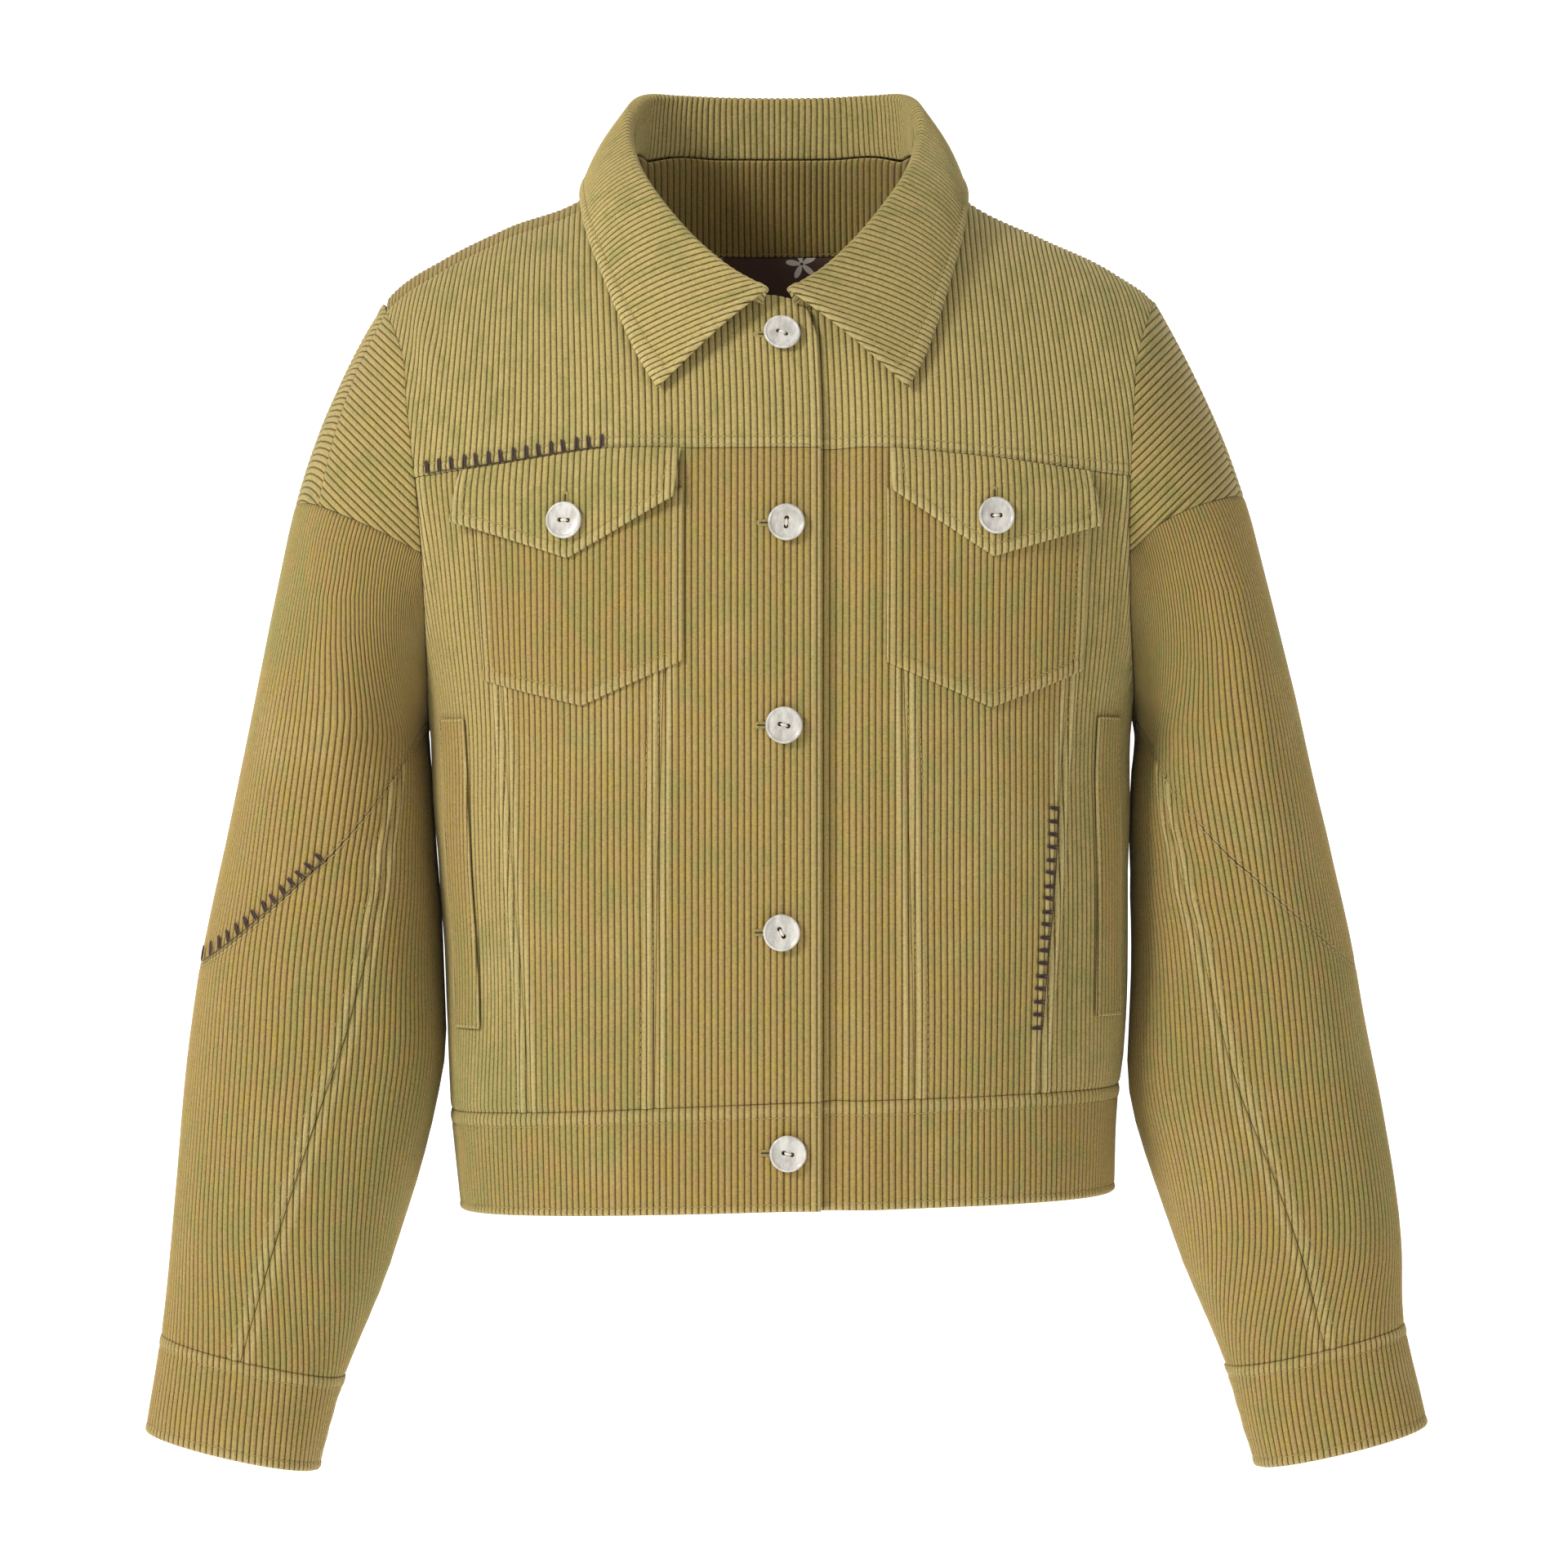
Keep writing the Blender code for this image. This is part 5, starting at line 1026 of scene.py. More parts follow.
@dataclass(frozen=True)
class Drape:
    """How the whole jacket hangs: folds, and a slight unevenness that every layer follows.

    Each of the waves has its turns to the metre in x, y and z, its phase and its height.
    """

    folds: tuple[Fold, ...]
    waves: tuple[tuple[float, float, float, float, float], ...] = (
        (41.0, 13.0, 9.0, 0.3, 0.00055),
        (-23.0, 31.0, 17.0, 1.9, 0.00050),
        (67.0, -11.0, 35.0, 4.1, 0.00035),
        (19.0, 47.0, -52.0, 2.6, 0.00030),
        (95.0, 20.0, 12.0, 0.8, 0.00020),
    )
    calm: float = 0.75
    calm_from: float = -0.06
    calm_over: float = 0.05

    def height(self, points: Array) -> Array:
        """How far the cloth stands out from its form at points."""
        x, y, z = points[..., 0], points[..., 1], points[..., 2]
        out = np.zeros_like(x)
        for a, b, c, phase, size in self.waves:
            out = out + size * np.sin(a * x + b * y + c * z + phase)
        for fold in self.folds:
            out = out + fold.lift(points)
        return out * (1 - self.calm * ease((z - self.calm_from) / self.calm_over))


DRAPE = Drape(folds=(
    Fold((-0.2270, -0.175), (-0.2330, -0.330), 0.012, 0.0028),
    Fold((-0.2480, -0.190), (-0.2600, -0.300), 0.008, -0.0014),
    Fold((0.2300, -0.175), (0.2430, -0.340), 0.012, 0.0026),
    Fold((0.2120, -0.200), (0.2180, -0.300), 0.008, -0.0014),
    Fold((-0.2010, -0.335), (-0.2420, -0.362), 0.009, -0.0022),
    Fold((-0.2080, -0.372), (-0.2450, -0.392), 0.008, -0.0016),
    Fold((0.1980, -0.338), (0.2380, -0.366), 0.009, -0.0022),
    Fold((0.2050, -0.376), (0.2460, -0.398), 0.008, -0.0016),
    Fold((-0.2620, -0.560), (-0.2350, -0.600), 0.012, -0.0018),
    Fold((0.2420, -0.575), (0.2800, -0.600), 0.012, -0.0020),
    Fold((0.2500, -0.470), (0.2620, -0.560), 0.012, 0.0018),
    Fold((-0.2500, -0.470), (-0.2660, -0.560), 0.012, 0.0018),
    Fold((-0.1930, -0.0640), (-0.1880, -0.105), 0.0050, -0.0016),
    Fold((-0.1850, -0.0680), (-0.1790, -0.100), 0.0045, 0.0012),
    Fold((-0.1770, -0.0640), (-0.1720, -0.092), 0.0045, -0.0012),
    Fold((0.1800, -0.0700), (0.1730, -0.100), 0.0050, -0.0012),
    Fold((-0.1080, -0.300), (-0.1000, -0.455), 0.014, 0.0018),
    Fold((0.1050, -0.300), (0.1000, -0.455), 0.014, 0.0018),
    Fold((-0.0450, -0.240), (-0.0480, -0.440), 0.014, -0.0012),
    Fold((0.0500, -0.220), (0.0480, -0.430), 0.014, -0.0012),
    Fold((-0.1560, -0.330), (-0.1520, -0.450), 0.010, -0.0016),
    Fold((0.0260, -0.125), (0.0250, -0.515), 0.0065, -0.0034),
    Fold((-0.1870, -0.270), (-0.1830, -0.400), 0.006, 0.0007),
    Fold((-0.1870, -0.270), (-0.1830, -0.400), 0.006, 0.0007, Face.BACK),
    Fold((0.1855, -0.268), (0.1830, -0.345), 0.007, 0.0013),
    Fold((0.1855, -0.268), (0.1830, -0.345), 0.007, 0.0013, Face.BACK),
    Fold((0.1480, -0.300), (0.1420, -0.450), 0.010, -0.0016),
    Fold((-0.1700, -0.190), (-0.1660, -0.290), 0.010, 0.0016),
    Fold((0.1680, -0.190), (0.1640, -0.290), 0.010, 0.0016),
    Fold((-0.1200, -0.160), (-0.1250, -0.440), 0.022, -0.0035, Face.BACK),
    Fold((0.1200, -0.160), (0.1250, -0.440), 0.022, -0.0035, Face.BACK),
    Fold((0.0, -0.120), (0.004, -0.440), 0.030, 0.0022, Face.BACK),
    Fold((-0.2150, -0.330), (-0.2600, -0.350), 0.012, -0.0025, Face.BACK),
    Fold((0.2150, -0.330), (0.2600, -0.350), 0.012, -0.0025, Face.BACK),
))
WALES = Wales()
Place = Callable[[Array, Array], tuple[Array, Array]]


@dataclass(frozen=True)
class Finish:
    """Heights, distances and widths of what sewing does to the cloth near a border."""

    level: float = 0.75
    mesh_rows: tuple[float, ...] = (0.0, 0.0007, 0.0018, 0.0040)
    stitch_row: float = 0.0012
    roll: float = 1.6
    roll_drop: float = 0.9
    fold_wear: float = 0.6
    fold_reach: float = 0.0020
    seam_reach: float = 0.0026
    welt_at: float = 0.0036
    welt_width: float = 0.0018
    # A painted highlight on the raised welt and on the ridge beside a row of stitching; fold_wear
    # is rubbed pile at folded edges.
    welt_wear: float = 1000.0
    dent: float = 0.00045
    dent_width: float = 0.0010
    row_ridge: float = 0.00030
    row_wear: float = 0.35


FINISH = Finish()


@dataclass
class Panel:
    """One cut piece of cloth in flat coordinates: u across its wales, w along them.

    low and high are its lower and upper borders by u, left and right its side borders by w.
    place gives points and outward directions. metres is the size of one unit of w. sewn gives, for
    each border, the distances of its lines of stitching from it.
    """

    name: str
    nodes: tuple[str, ...]
    left: Curve
    right: Curve
    low: Curve
    high: Curve
    place: Place
    wall: float = WALL
    cloth: Wales = WALES
    spacing: float = 0.0105
    metres: Callable[[Array, Array], Array] | None = None
    finish: dict[str, Edge] = field(default_factory=dict)
    sewn: dict[str, tuple[float, ...]] = field(default_factory=dict)
    inward: bool = False
    # How far the ribs mix towards the lighter, greener colour: partly the cloth's own tone by
    # piece, partly a painted highlight on pieces that face the lights.
    tone: float = 0.0
    held: str = "hung"
    rests: tuple[str, ...] = ("back",)
    mitre: float = 0.0
    welt: float = 0.0
    dip: float = 0.0006
    # A function of u that paints light (above 0) and shade (below 0) on the pile; the collar uses
    # it for its leaves.
    nap: Callable[[Array], Array] | None = None
    along: Curve | None = None
    limits: tuple[float, float] = (-0.6, 0.1)
    shares: tuple[float, ...] = ()

    @property
    def facing(self) -> float:
        """1 where the ribs face outwards, -1 where they face the wearer."""
        return -1.0 if self.inward else 1.0

    def unit_at(self, u: Array, w: Array) -> Array:
        """Metres to a unit of w."""
        return np.ones_like(u) if self.metres is None else self.metres(u, w)

    def _sides(self, w: Array) -> tuple[Array, Array]:
        """Both side borders, never crossed."""
        left, right = self.left(w), self.right(w)
        middle = 0.5 * (left + right)
        return np.minimum(left, middle), np.maximum(right, middle)

    def rows(self) -> list[tuple[float, float, float]]:
        """Rows as share of the height and distances from the lower and upper border."""
        probe = np.linspace(*self.reach(), 41)
        span = (self.high(probe) - self.low(probe)) * self.unit_at(probe, self.low(probe))
        marks = {}
        for border in ("low", "high"):
            own = set(FINISH.mesh_rows)
            for line in self.sewn.get(border, ()):
                own |= {line - FINISH.stitch_row, line, line + FINISH.stitch_row}
            marks[border] = sorted(d for d in own if d >= 0)
        reach = float(np.max(span)) - marks["low"][-1] - marks["high"][-1]
        count = max(2, int(reach / self.spacing))
        shares = self.shares or np.linspace(0, 1, count + 1)
        rows = [(0.0, d, 0.0) for d in marks["low"][:-1]]
        rows += [(s, marks["low"][-1], marks["high"][-1]) for s in shares]
        rows += [(1.0, 0.0, d) for d in marks["high"][:-1][::-1]]
        return rows

    def reach(self) -> tuple[float, float]:
        """The least and the greatest u of the piece."""
        left, right = self._sides(np.linspace(*self.limits, 60))
        return float(left.min()), float(right.max())

    def flat(self, column: Array, row: Array) -> tuple[Array, Array]:
        """Flat coordinates of places of the mesh, kept inside the borders.

        Args:
            column: Their columns, as distances across the wales.
            row: Their rows, as indices.

        Returns:
            u and w.
        """
        rows = np.array(self.rows())
        share, below, above = rows[row].T
        middle = (share > 0) & (share < 1)
        u = column
        for _ in range(5):
            low, high = self.low(u), self.high(u)
            size = self.unit_at(u, low)
            tall = np.maximum(high - low, 1e-6)
            squeeze = np.minimum(1.0, 0.45 * tall / np.maximum(
                np.maximum(below, above) / size, 1e-9))
            start, end = low + below * squeeze / size, high - above * squeeze / size
            w = np.where(middle, start + (end - start) * share,
                         np.where(share <= 0, start, end))
            u = np.clip(column, *self._sides(w))
        return u, w

    def margins(self, u: Array, w: Array) -> dict[str, Array]:
        """Distance of places from each border."""
        size = self.unit_at(u, w)
        left, right = self._sides(w)
        return {
            "left": u - left, "right": right - u,
            "low": (w - self.low(u)) * size, "high": (self.high(u) - w) * size,
        }

    def surface(self, u: Array, w: Array) -> tuple[Array, Array]:
        """Points and directions of the draped cloth, before its ribs."""
        points, normals = self.place(u, w)
        return points + normals * DRAPE.height(points)[..., None], normals

    def relief(self, u: Array, w: Array) -> tuple[Array, Array, Array]:
        """What ribs, edges, seams and stitching do to the cloth's two sides.

        Args:
            u: Distances across the wales.
            w: Places along them.

        Returns:
            Height of the outer and of the inner side, and how light the pile is: rubbed at folds,
            painted highlight on welts and stitch ridges.
        """
        cut, radius = FINISH, self.wall / 2
        outer = self.cloth.relief * (self.cloth.height(u) - cut.level)
        inner = np.zeros_like(outer)
        wear = np.zeros_like(outer)
        for border, distance in self.margins(u, w).items():
            distance = np.maximum(distance, 0)
            if self.finish.get(border, Edge.SEAM) is Edge.FOLD:
                part = 1 - np.clip(distance / (cut.roll * radius), 0, 1)
                drop = radius * (1 - np.sqrt(1 - np.minimum(part, 0.999) ** 2)) * cut.roll_drop
                outer, inner = outer - drop, inner + drop
                worn = cut.fold_wear * np.exp(-(distance / cut.fold_reach) ** 2)
            else:
                part = 1 - ease(distance / cut.seam_reach)
                side = border in ("left", "right")
                ridge = side * np.exp(-((distance - cut.welt_at) / cut.welt_width) ** 2)
                outer = outer - self.dip * part + self.welt * ridge
                # Painted highlight along the raised welt beside a seam.
                worn = cut.welt_wear * self.welt * ridge
            wear = np.maximum(wear, worn)
            for line in self.sewn.get(border, ()):
                near = np.exp(-((distance - line) / cut.dent_width) ** 2)
                ridge = np.exp(-((distance - line * 0.5) / (0.4 * line + 0.0004)) ** 2)
                outer = outer - cut.dent * near + cut.row_ridge * ridge
                # Painted highlight on the ridge between the stitching and the border.
                wear = np.maximum(wear, cut.row_wear * ridge)
        return outer, inner, wear

    def build(self) -> bpy.types.Object:
        """Makes the piece's closed wall.

        Returns:
            The piece's object, with flat coordinates as one attribute, and rubbed pile, tone and
            painted light as another.
        """
        columns = self.cloth.columns(*self.reach())
        count = len(self.rows())
        bm = bmesh.new()
        bmesh.ops.create_grid(bm, x_segments=len(columns) - 1, y_segments=count - 1, size=0.5)
        inner = bmesh.ops.extrude_face_region(bm, geom=bm.faces[:])["geom"]
        inner = [v for v in inner if isinstance(v, bmesh.types.BMVert)]
        bmesh.ops.translate(bm, verts=inner, vec=(0, 0, -1))
        mesh = mesh_of(bm, self.name)
        grid = places_of(mesh)
        column = columns[np.rint((grid[:, 0] + 0.5) * (len(columns) - 1)).astype(int)]
        row = np.rint((grid[:, 1] + 0.5) * (count - 1)).astype(int)
        u, w = self.flat(column, row)
        points, normals = self.surface(u, w)
        outer, hidden, wear = self.relief(u, w)
        height = np.where(grid[:, 2] > -0.5, outer, hidden - self.wall)
        move_to(mesh, points + normals * (height * self.facing)[:, None])
        length = w if self.along is None else self.along(w)
        # Painted light and shade by place across the piece, none by default.
        nap = 0 * u if self.nap is None else self.nap(u)
        # The second attribute holds rubbed pile with painted highlight, the tone with painted
        # highlight, and painted light and shade by collar leaf.
        for name, values in (("flat", np.stack((u, length, 0 * u), axis=-1)),
                             ("wear", np.stack((wear, self.tone + 0 * u, nap), axis=-1))):
            layer = mesh.attributes.new(name, "FLOAT_VECTOR", "POINT")
            layer.data.foreach_set("vector", values.astype(np.float32).ravel())
        return self._close(mesh)

    def _close(self, mesh: bpy.types.Mesh) -> bpy.types.Object:
        """Closes the wall where borders bring places together, and turns its faces outwards.

        Args:
            mesh: The wall.

        Returns:
            Its object.
        """
        bm = bmesh.new()
        bm.from_mesh(mesh)
        bmesh.ops.remove_doubles(bm, verts=bm.verts, dist=4e-6)
        bmesh.ops.dissolve_degenerate(bm, edges=bm.edges, dist=4e-6)
        if bm.calc_volume(signed=True) < 0:
            bmesh.ops.reverse_faces(bm, faces=bm.faces)
        bm.to_mesh(mesh)
        bm.free()
        mesh.shade_smooth()
        return link(self.name, mesh)

    def cut_size(self) -> tuple[float, float, float]:
        """Width across the ribs, length along them and area of the flat cut."""
        across, share = np.linspace(*self.reach(), 81), np.linspace(0, 1, 61)[:, None]
        columns = u = np.tile(across, (61, 1))
        for _ in range(5):
            low, high = self.low(u), self.high(u)
            w = low + np.maximum(high - low, 0) * share
            u = np.clip(columns, *self._sides(w))
        points, _ = self.place(u, w)
        along, side = np.diff(points, axis=0), np.diff(points, axis=1)
        run = np.linalg.norm(along, axis=-1)
        cells = np.linalg.norm(np.cross(side[:-1], along[:, :-1]), axis=-1)
        width = (cells / np.maximum(run[:, :-1], 1e-5)).sum(axis=1).max()
        length, area = run.sum(axis=0).max(), cells.sum()
        return float(max(width, area / length)), float(length), float(area)

    def line(self, border: str, distance: float, gap: float = 0.0) -> tuple[Array, Array]:
        """A line of stitching beside a border.

        Args:
            border: left, right, low or high.
            distance: Metres from the border.
            gap: Metres left out at both ends.

        Returns:
            Points on the ribs and their outward directions, closely spaced.
        """
        if border in ("low", "high"):
            u = np.linspace(*self.reach(), 400)
            for _ in range(4):
                edge = self.low(u) if border == "low" else self.high(u)
                shift = distance / self.unit_at(u, edge)
                w = edge + shift if border == "low" else edge - shift
                left, right = self._sides(w)
                u = np.clip(u, left + gap, right - gap)
        else:
            w = np.linspace(*self.limits, 600)
            left, right = self._sides(w)
            u = left + distance if border == "left" else right - distance
            inside = (w >= self.low(u) + gap) & (w <= self.high(u) - gap)
            u, w = u[inside], w[inside]
        points, normals = self.surface(u, w)
        normals = normals * self.facing
        return points + normals * (0.10 * self.cloth.relief), normals


# ---------------------------------------------------------------- pieces of the body
@dataclass
class BodyPieces:
    """Cuts the panels of the body and of what lies on it.

    By side, pockets and flaps have distances from the middle of their edges and point, and the
    heights of their lower corners and point; a welt has the heights of its ends, how far out its
    inner edge is there, and its width.
    """

    torso: Torso
    sleeves: dict[Side, Sleeve]
    yoke_level: float = -0.145
    wale_lean: float = 0.055
    throat_drop: float = 0.0058
    throat_middle: float = 0.004
    facing_depth: float = 0.0036
    lining_depth: float = 0.0032
    lining_share: float = 0.93
    waist_level: float = -0.468
    hem_level: float = -0.524
    lap_row: float = 0.0065
    pocket_top: float = -0.1600
    pocket_wall: float = 0.0016
    pocket_row: float = 0.0070
    flap_wall: float = 0.0020
    flap_row: float = 0.0060
    welt_wall: float = 0.0018
    welt_row: float = 0.0020
    pockets: dict[Side, tuple] = field(default_factory=lambda: {
        Side.RIGHT: ((0.0505, 0.1015, 0.1545), (-0.2462, -0.2687, -0.2556)),
        Side.LEFT: ((0.0515, 0.1040, 0.1526), (-0.2470, -0.2695, -0.2502)),
    })
    flaps: dict[Side, tuple] = field(default_factory=lambda: {
        Side.RIGHT: ((0.0515, 0.1070, 0.1620), (0.0547, 0.1083, 0.1649),
                     (-0.1653, -0.1948, -0.1748)),
        Side.LEFT: ((0.0531, 0.1040, 0.1538), (0.0539, 0.1042, 0.1571),
                    (-0.1620, -0.1939, -0.1769)),
    })
    welts: dict[Side, tuple] = field(default_factory=lambda: {
        Side.RIGHT: ((-0.4327, -0.2745), (0.1560, 0.1635), 0.0265),
        Side.LEFT: ((-0.4263, -0.2735), (0.1570, 0.1600), 0.0265),
    })

    @property
    def cut(self) -> BodyCut:
        """The body's sizes."""
        return self.torso.cut

    def directions(self, points: Array, side: Side | None) -> Array:
        """Outward directions, shared with the sleeves at the armholes."""
        normals = self.torso.normal(points)
        for own in Side if side is None else (side,):
            normals = self.sleeves[own].near_armhole(points, normals)
        return normals

    def underlap(self, points: Array, side: Side | None) -> Array:
        """How far a point of the left front lies under the right one."""
        cut = self.cut
        start = cut.overlap + 0.004
        past = (points[..., 0] - start) / (cut.underlap_end - start)
        return -cut.underlap_drop * (1 - ease(past)) * (side is Side.LEFT)

    def ring_place(self, face: Face, side: Side | None, lift: float | Callable) -> Place:
        """How a piece lies on level rings.

        Args:
            face: The face of the body.
            side: The side whose front it is, or None.
            lift: Its height over the body, or a function of place.

        Returns:
            What places flat coordinates: arc length and height.
        """

        def place(u: Array, w: Array) -> tuple[Array, Array]:
            """Points and outward directions of flat coordinates."""
            points = self.torso.at_arc(u, w, face)
            normals = self.directions(points, side)
            own = lift(u, w) if callable(lift) else lift
            moved = points + normals * (self.underlap(points, side) + own)[..., None]
            return moved, normals

        return place

    def x_at(self, u: Array, level: float, face: Face) -> Array:
        """Distance from the middle of an arc length at a height."""
        return self.torso.at_arc(u, np.full_like(u, level), face)[..., 0]

    def yoke_height(self, x: Array) -> Array:
        """Height of the yoke seam."""
        return by_side(self.cut.yoke, x, np.abs(x))

    def side_border(self, side: Side, face: Face) -> Curve:
        """Arc length of the armhole's edge, or of the side seam below it, by height."""
        z = np.concatenate((np.linspace(-0.56, -0.269, 80), np.linspace(-0.268, -0.135, 90)))
        hole = self.torso.arc(
            side.value * (self.sleeves[side].armhole_x(z) - 0.8 * SEAM), z, face)
        seam = self.torso.side_arc(z, side, face) - side.value * SEAM / 2
        return table_curve(z, np.where(z > self.cut.underarm, hole, seam))

    def slant(self, side: Side, column: int, shift: float) -> Curve:
        """Arc length of a slanting front seam by height."""
        z = np.linspace(-0.56, -0.13, 120)
        arc = self.torso.arc(side.value * curve(self.cut.slant, column, z), z, Face.FRONT)
        return table_curve(z, arc + side.value * shift)

    def seam_by_arc(self, table: Array, level: float, face: Face, shift: float) -> Curve:
        """Height of the waist seam or hem by arc length."""
        u = np.linspace(-0.25, 0.25, 120)
        x = self.x_at(u, level, face)
        return table_curve(u, self.torso.seam_height(table, x) + shift)

    def yoke_by_arc(self, shift: float) -> Curve:
        """Height of the yoke seam by arc length."""
        u = np.linspace(-0.27, 0.27, 160)
        return table_curve(u, self.yoke_height(self.x_at(u, self.yoke_level, Face.FRONT)) + shift)

    def fronts(self, side: Side) -> list[Panel]:
        """The three lower pieces of one front.

        Args:
            side: The front's side.

        Returns:
            The panels, from the middle outwards.
        """
        inner = [self.lap_edge(side), self.slant(side, 1, SEAM / 2), self.slant(side, 2, SEAM / 2)]
        outer = [self.slant(side, 1, -SEAM / 2), self.slant(side, 2, -SEAM / 2),
                 self.side_border(side, Face.FRONT)]
        low = self.seam_by_arc(self.cut.waist_seam, self.waist_level, Face.FRONT, SEAM / 2)
        high = self.yoke_by_arc(-SEAM / 2)
        place = self.ring_place(Face.FRONT, side, 0.0)
        made = []
        for part, near, far in zip(("centre", "middle", "side"), inner, outer):
            laps = part == "centre"
            # The pieces' tone mixes in a lighter colour: partly the cloth's tone, partly a painted
            # highlight, strongest on the side pieces.
            made.append(Panel(
                name=f"{part}_front_{side.word}", nodes=(f"front_{part}_{side.word}",),
                **side.borders(near, far), low=low, high=high, place=place,
                limits=(-0.477, -0.138), welt=0.0007, tone=0.42 if part == "side" else 0.08,
                sewn={side.near: (self.lap_row,) if laps else (0.0014, 0.0072)},
                finish={side.near: Edge.FOLD} if laps else {}))
        return made

    def lap_edge(self, side: Side) -> Curve:
        """The edge of a front that laps over or under the other."""
        return constant(-side.value * self.cut.overlap)

    def swing(self, x: Array, w: Array, level: float) -> Array:
        """How far a wale that passes x at a level has leaned towards the neck at w."""
        outer = self.wale_lean * ease((np.abs(x) - 0.07) / 0.12)
        return 1 - outer * np.clip((w - level) / 0.1, 0, 1.4)

    def profile_place(self, face: Face, side: Side | None, level: float) -> Place:
        """How a piece over the shoulder lies on the body.

        Args:
            face: The face of the body.
            side: The side whose front it is, or None.
            level: The height above which w grows up the surface, along wales that lean a little
                towards the neck.

        Returns:
            What places flat coordinates: arc length at the level, and w.
        """

        def place(u: Array, w: Array) -> tuple[Array, Array]:
            """Points and outward directions of flat coordinates."""
            x = self.x_at(u, level, face)
            x = x * self.swing(x, w, level)
            down = self.torso.down_to(x, np.full_like(x, level), face) - (w - level)
            points = self.torso.at_profile(x, down, face)
            normals = self.directions(points, side)
            return points + normals * self.underlap(points, side)[..., None], normals

        return place

    def armhole_border(self, side: Side, face: Face, level: float) -> Curve:
        """Arc coordinate of the armhole above a level, by distance up the surface."""
        z = np.linspace(level - 0.012, -0.045, 120)
        for _ in range(2):
            x = side.value * (self.sleeves[side].armhole_x(z) - 0.4 * SEAM)
            top = self.torso.ridge(x, face) - 0.0005
            z = np.minimum(z, top)
        foot = self.torso.down_to(x, np.full_like(x, level), face)
        w = level + foot - self.torso.down_to(x, z, face)
        return table_curve(w, self.arc_below(x, w, level, face))

    def arc_below(self, x: Array, w: Array, level: float, face: Face) -> Array:
        """The arc coordinate of the wale that passes a place."""
        own = x
        for _ in range(8):
            own = x / self.swing(own, w, level)
        return self.torso.arc(own, np.full_like(own, level), face)

    def yoke(self, side: Side) -> Panel:
        """The front shoulder piece.

        Args:
            side: Its side.

        Returns:
            The panel.
        """
        cut, level = self.cut, self.yoke_level
        seam = cut.seam_forward(side)
        x = np.linspace(-0.222, 0.222, 900)
        foot = self.torso.down_to(x, np.full_like(x, level), Face.FRONT)
        bottom = self.torso.down_to(x, self.yoke_height(x), Face.FRONT) - SEAM / 2
        out = side.value * x
        corner = self.torso.down_to(x, curve(cut.neck_corner, 1, np.maximum(-out, 0)), Face.FRONT)
        neck = np.where(out < 0, corner, self.torso.neck(x, Face.FRONT))
        top = np.where(out < cut.neck_half - 1e-6, neck, seam + SEAM / 2)
        aside = ease((np.abs(x - self.throat_middle) - 0.012) / 0.016)
        top = top - self.throat_drop * (1 - aside)
        hole = self.armhole_border(side, Face.FRONT, level)
        # The yoke's tone is partly a painted highlight on the shoulders, which face the lights.
        return Panel(
            name=f"yoke_front_{side.word}", nodes=(f"front_yoke_{side.word}",),
            **side.borders(self.lap_edge(side), hole),
            low=self.upper_curve(x, level + foot - bottom, level, Face.FRONT),
            high=self.upper_curve(x, level + foot - top, level, Face.FRONT),
            place=self.profile_place(Face.FRONT, side, level), limits=(-0.165, 0.05),
            sewn={"low": (0.0012, 0.0055), side.near: (self.lap_row,)},
            finish={side.near: Edge.FOLD}, dip=0.0003, tone=0.60, held="draped")

    def upper_curve(self, x: Array, w: Array, level: float, face: Face) -> Curve:
        """A border given by places, by arc coordinate."""
        return table_curve(self.arc_below(x, w, level, face), w)

    def back_curves(self) -> dict[str, Curve]:
        """Borders of the back: side seams and armholes, neck and shoulder seams."""
        cut, start, face = self.cut, self.cut.back_top, Face.BACK
        sides = {}
        for side in Side:
            lower, upper = self.side_border(side, face), self.armhole_border(side, face, start)
            w = np.concatenate((
                np.linspace(-0.56, start, 160), np.linspace(start + 1e-4, 0.12, 120)))
            sides[side] = table_curve(w, np.where(w <= start, lower(w), upper(w)))
        x = np.linspace(-0.222, 0.222, 1000)
        foot = self.torso.down_to(x, np.full_like(x, start), face)
        seam = np.where(x < 0, cut.seam_forward(Side.RIGHT), cut.seam_forward(Side.LEFT))
        neck = self.torso.neck(x, face)
        top = np.where(np.abs(x) < cut.neck_half - 1e-6, neck, -seam + SEAM / 2)
        return {
            "left": sides[Side.RIGHT], "right": sides[Side.LEFT],
            "low": self.seam_by_arc(cut.waist_seam, self.waist_level, face, SEAM / 2),
            "high": self.upper_curve(x, start + foot - top, start, face),
        }

    def back_place(self, depth: float) -> Place:
        """How a piece lies on the back.

        Args:
            depth: Its depth inside the back's outer surface.

        Returns:
            What places flat coordinates.
        """
        start = self.cut.back_top
        ring = self.ring_place(Face.BACK, None, 0.0)
        profile = self.profile_place(Face.BACK, None, start)

        def place(u: Array, w: Array) -> tuple[Array, Array]:
            """Points and outward directions of flat coordinates."""
            (low, low_out), (high, high_out) = (
                ring(u, np.minimum(w, start)), profile(u, np.maximum(w, start)))
            above = (w > start)[..., None]
            normals = np.where(above, high_out, low_out)
            return np.where(above, high, low) - normals * depth, normals

        return place

    def back(self) -> Panel:
        """The plain back."""
        return Panel(name="back_body", nodes=("back",), place=self.back_place(0.0), spacing=0.014,
                     limits=(-0.477, 0.12), rests=("collar",), **self.back_curves())

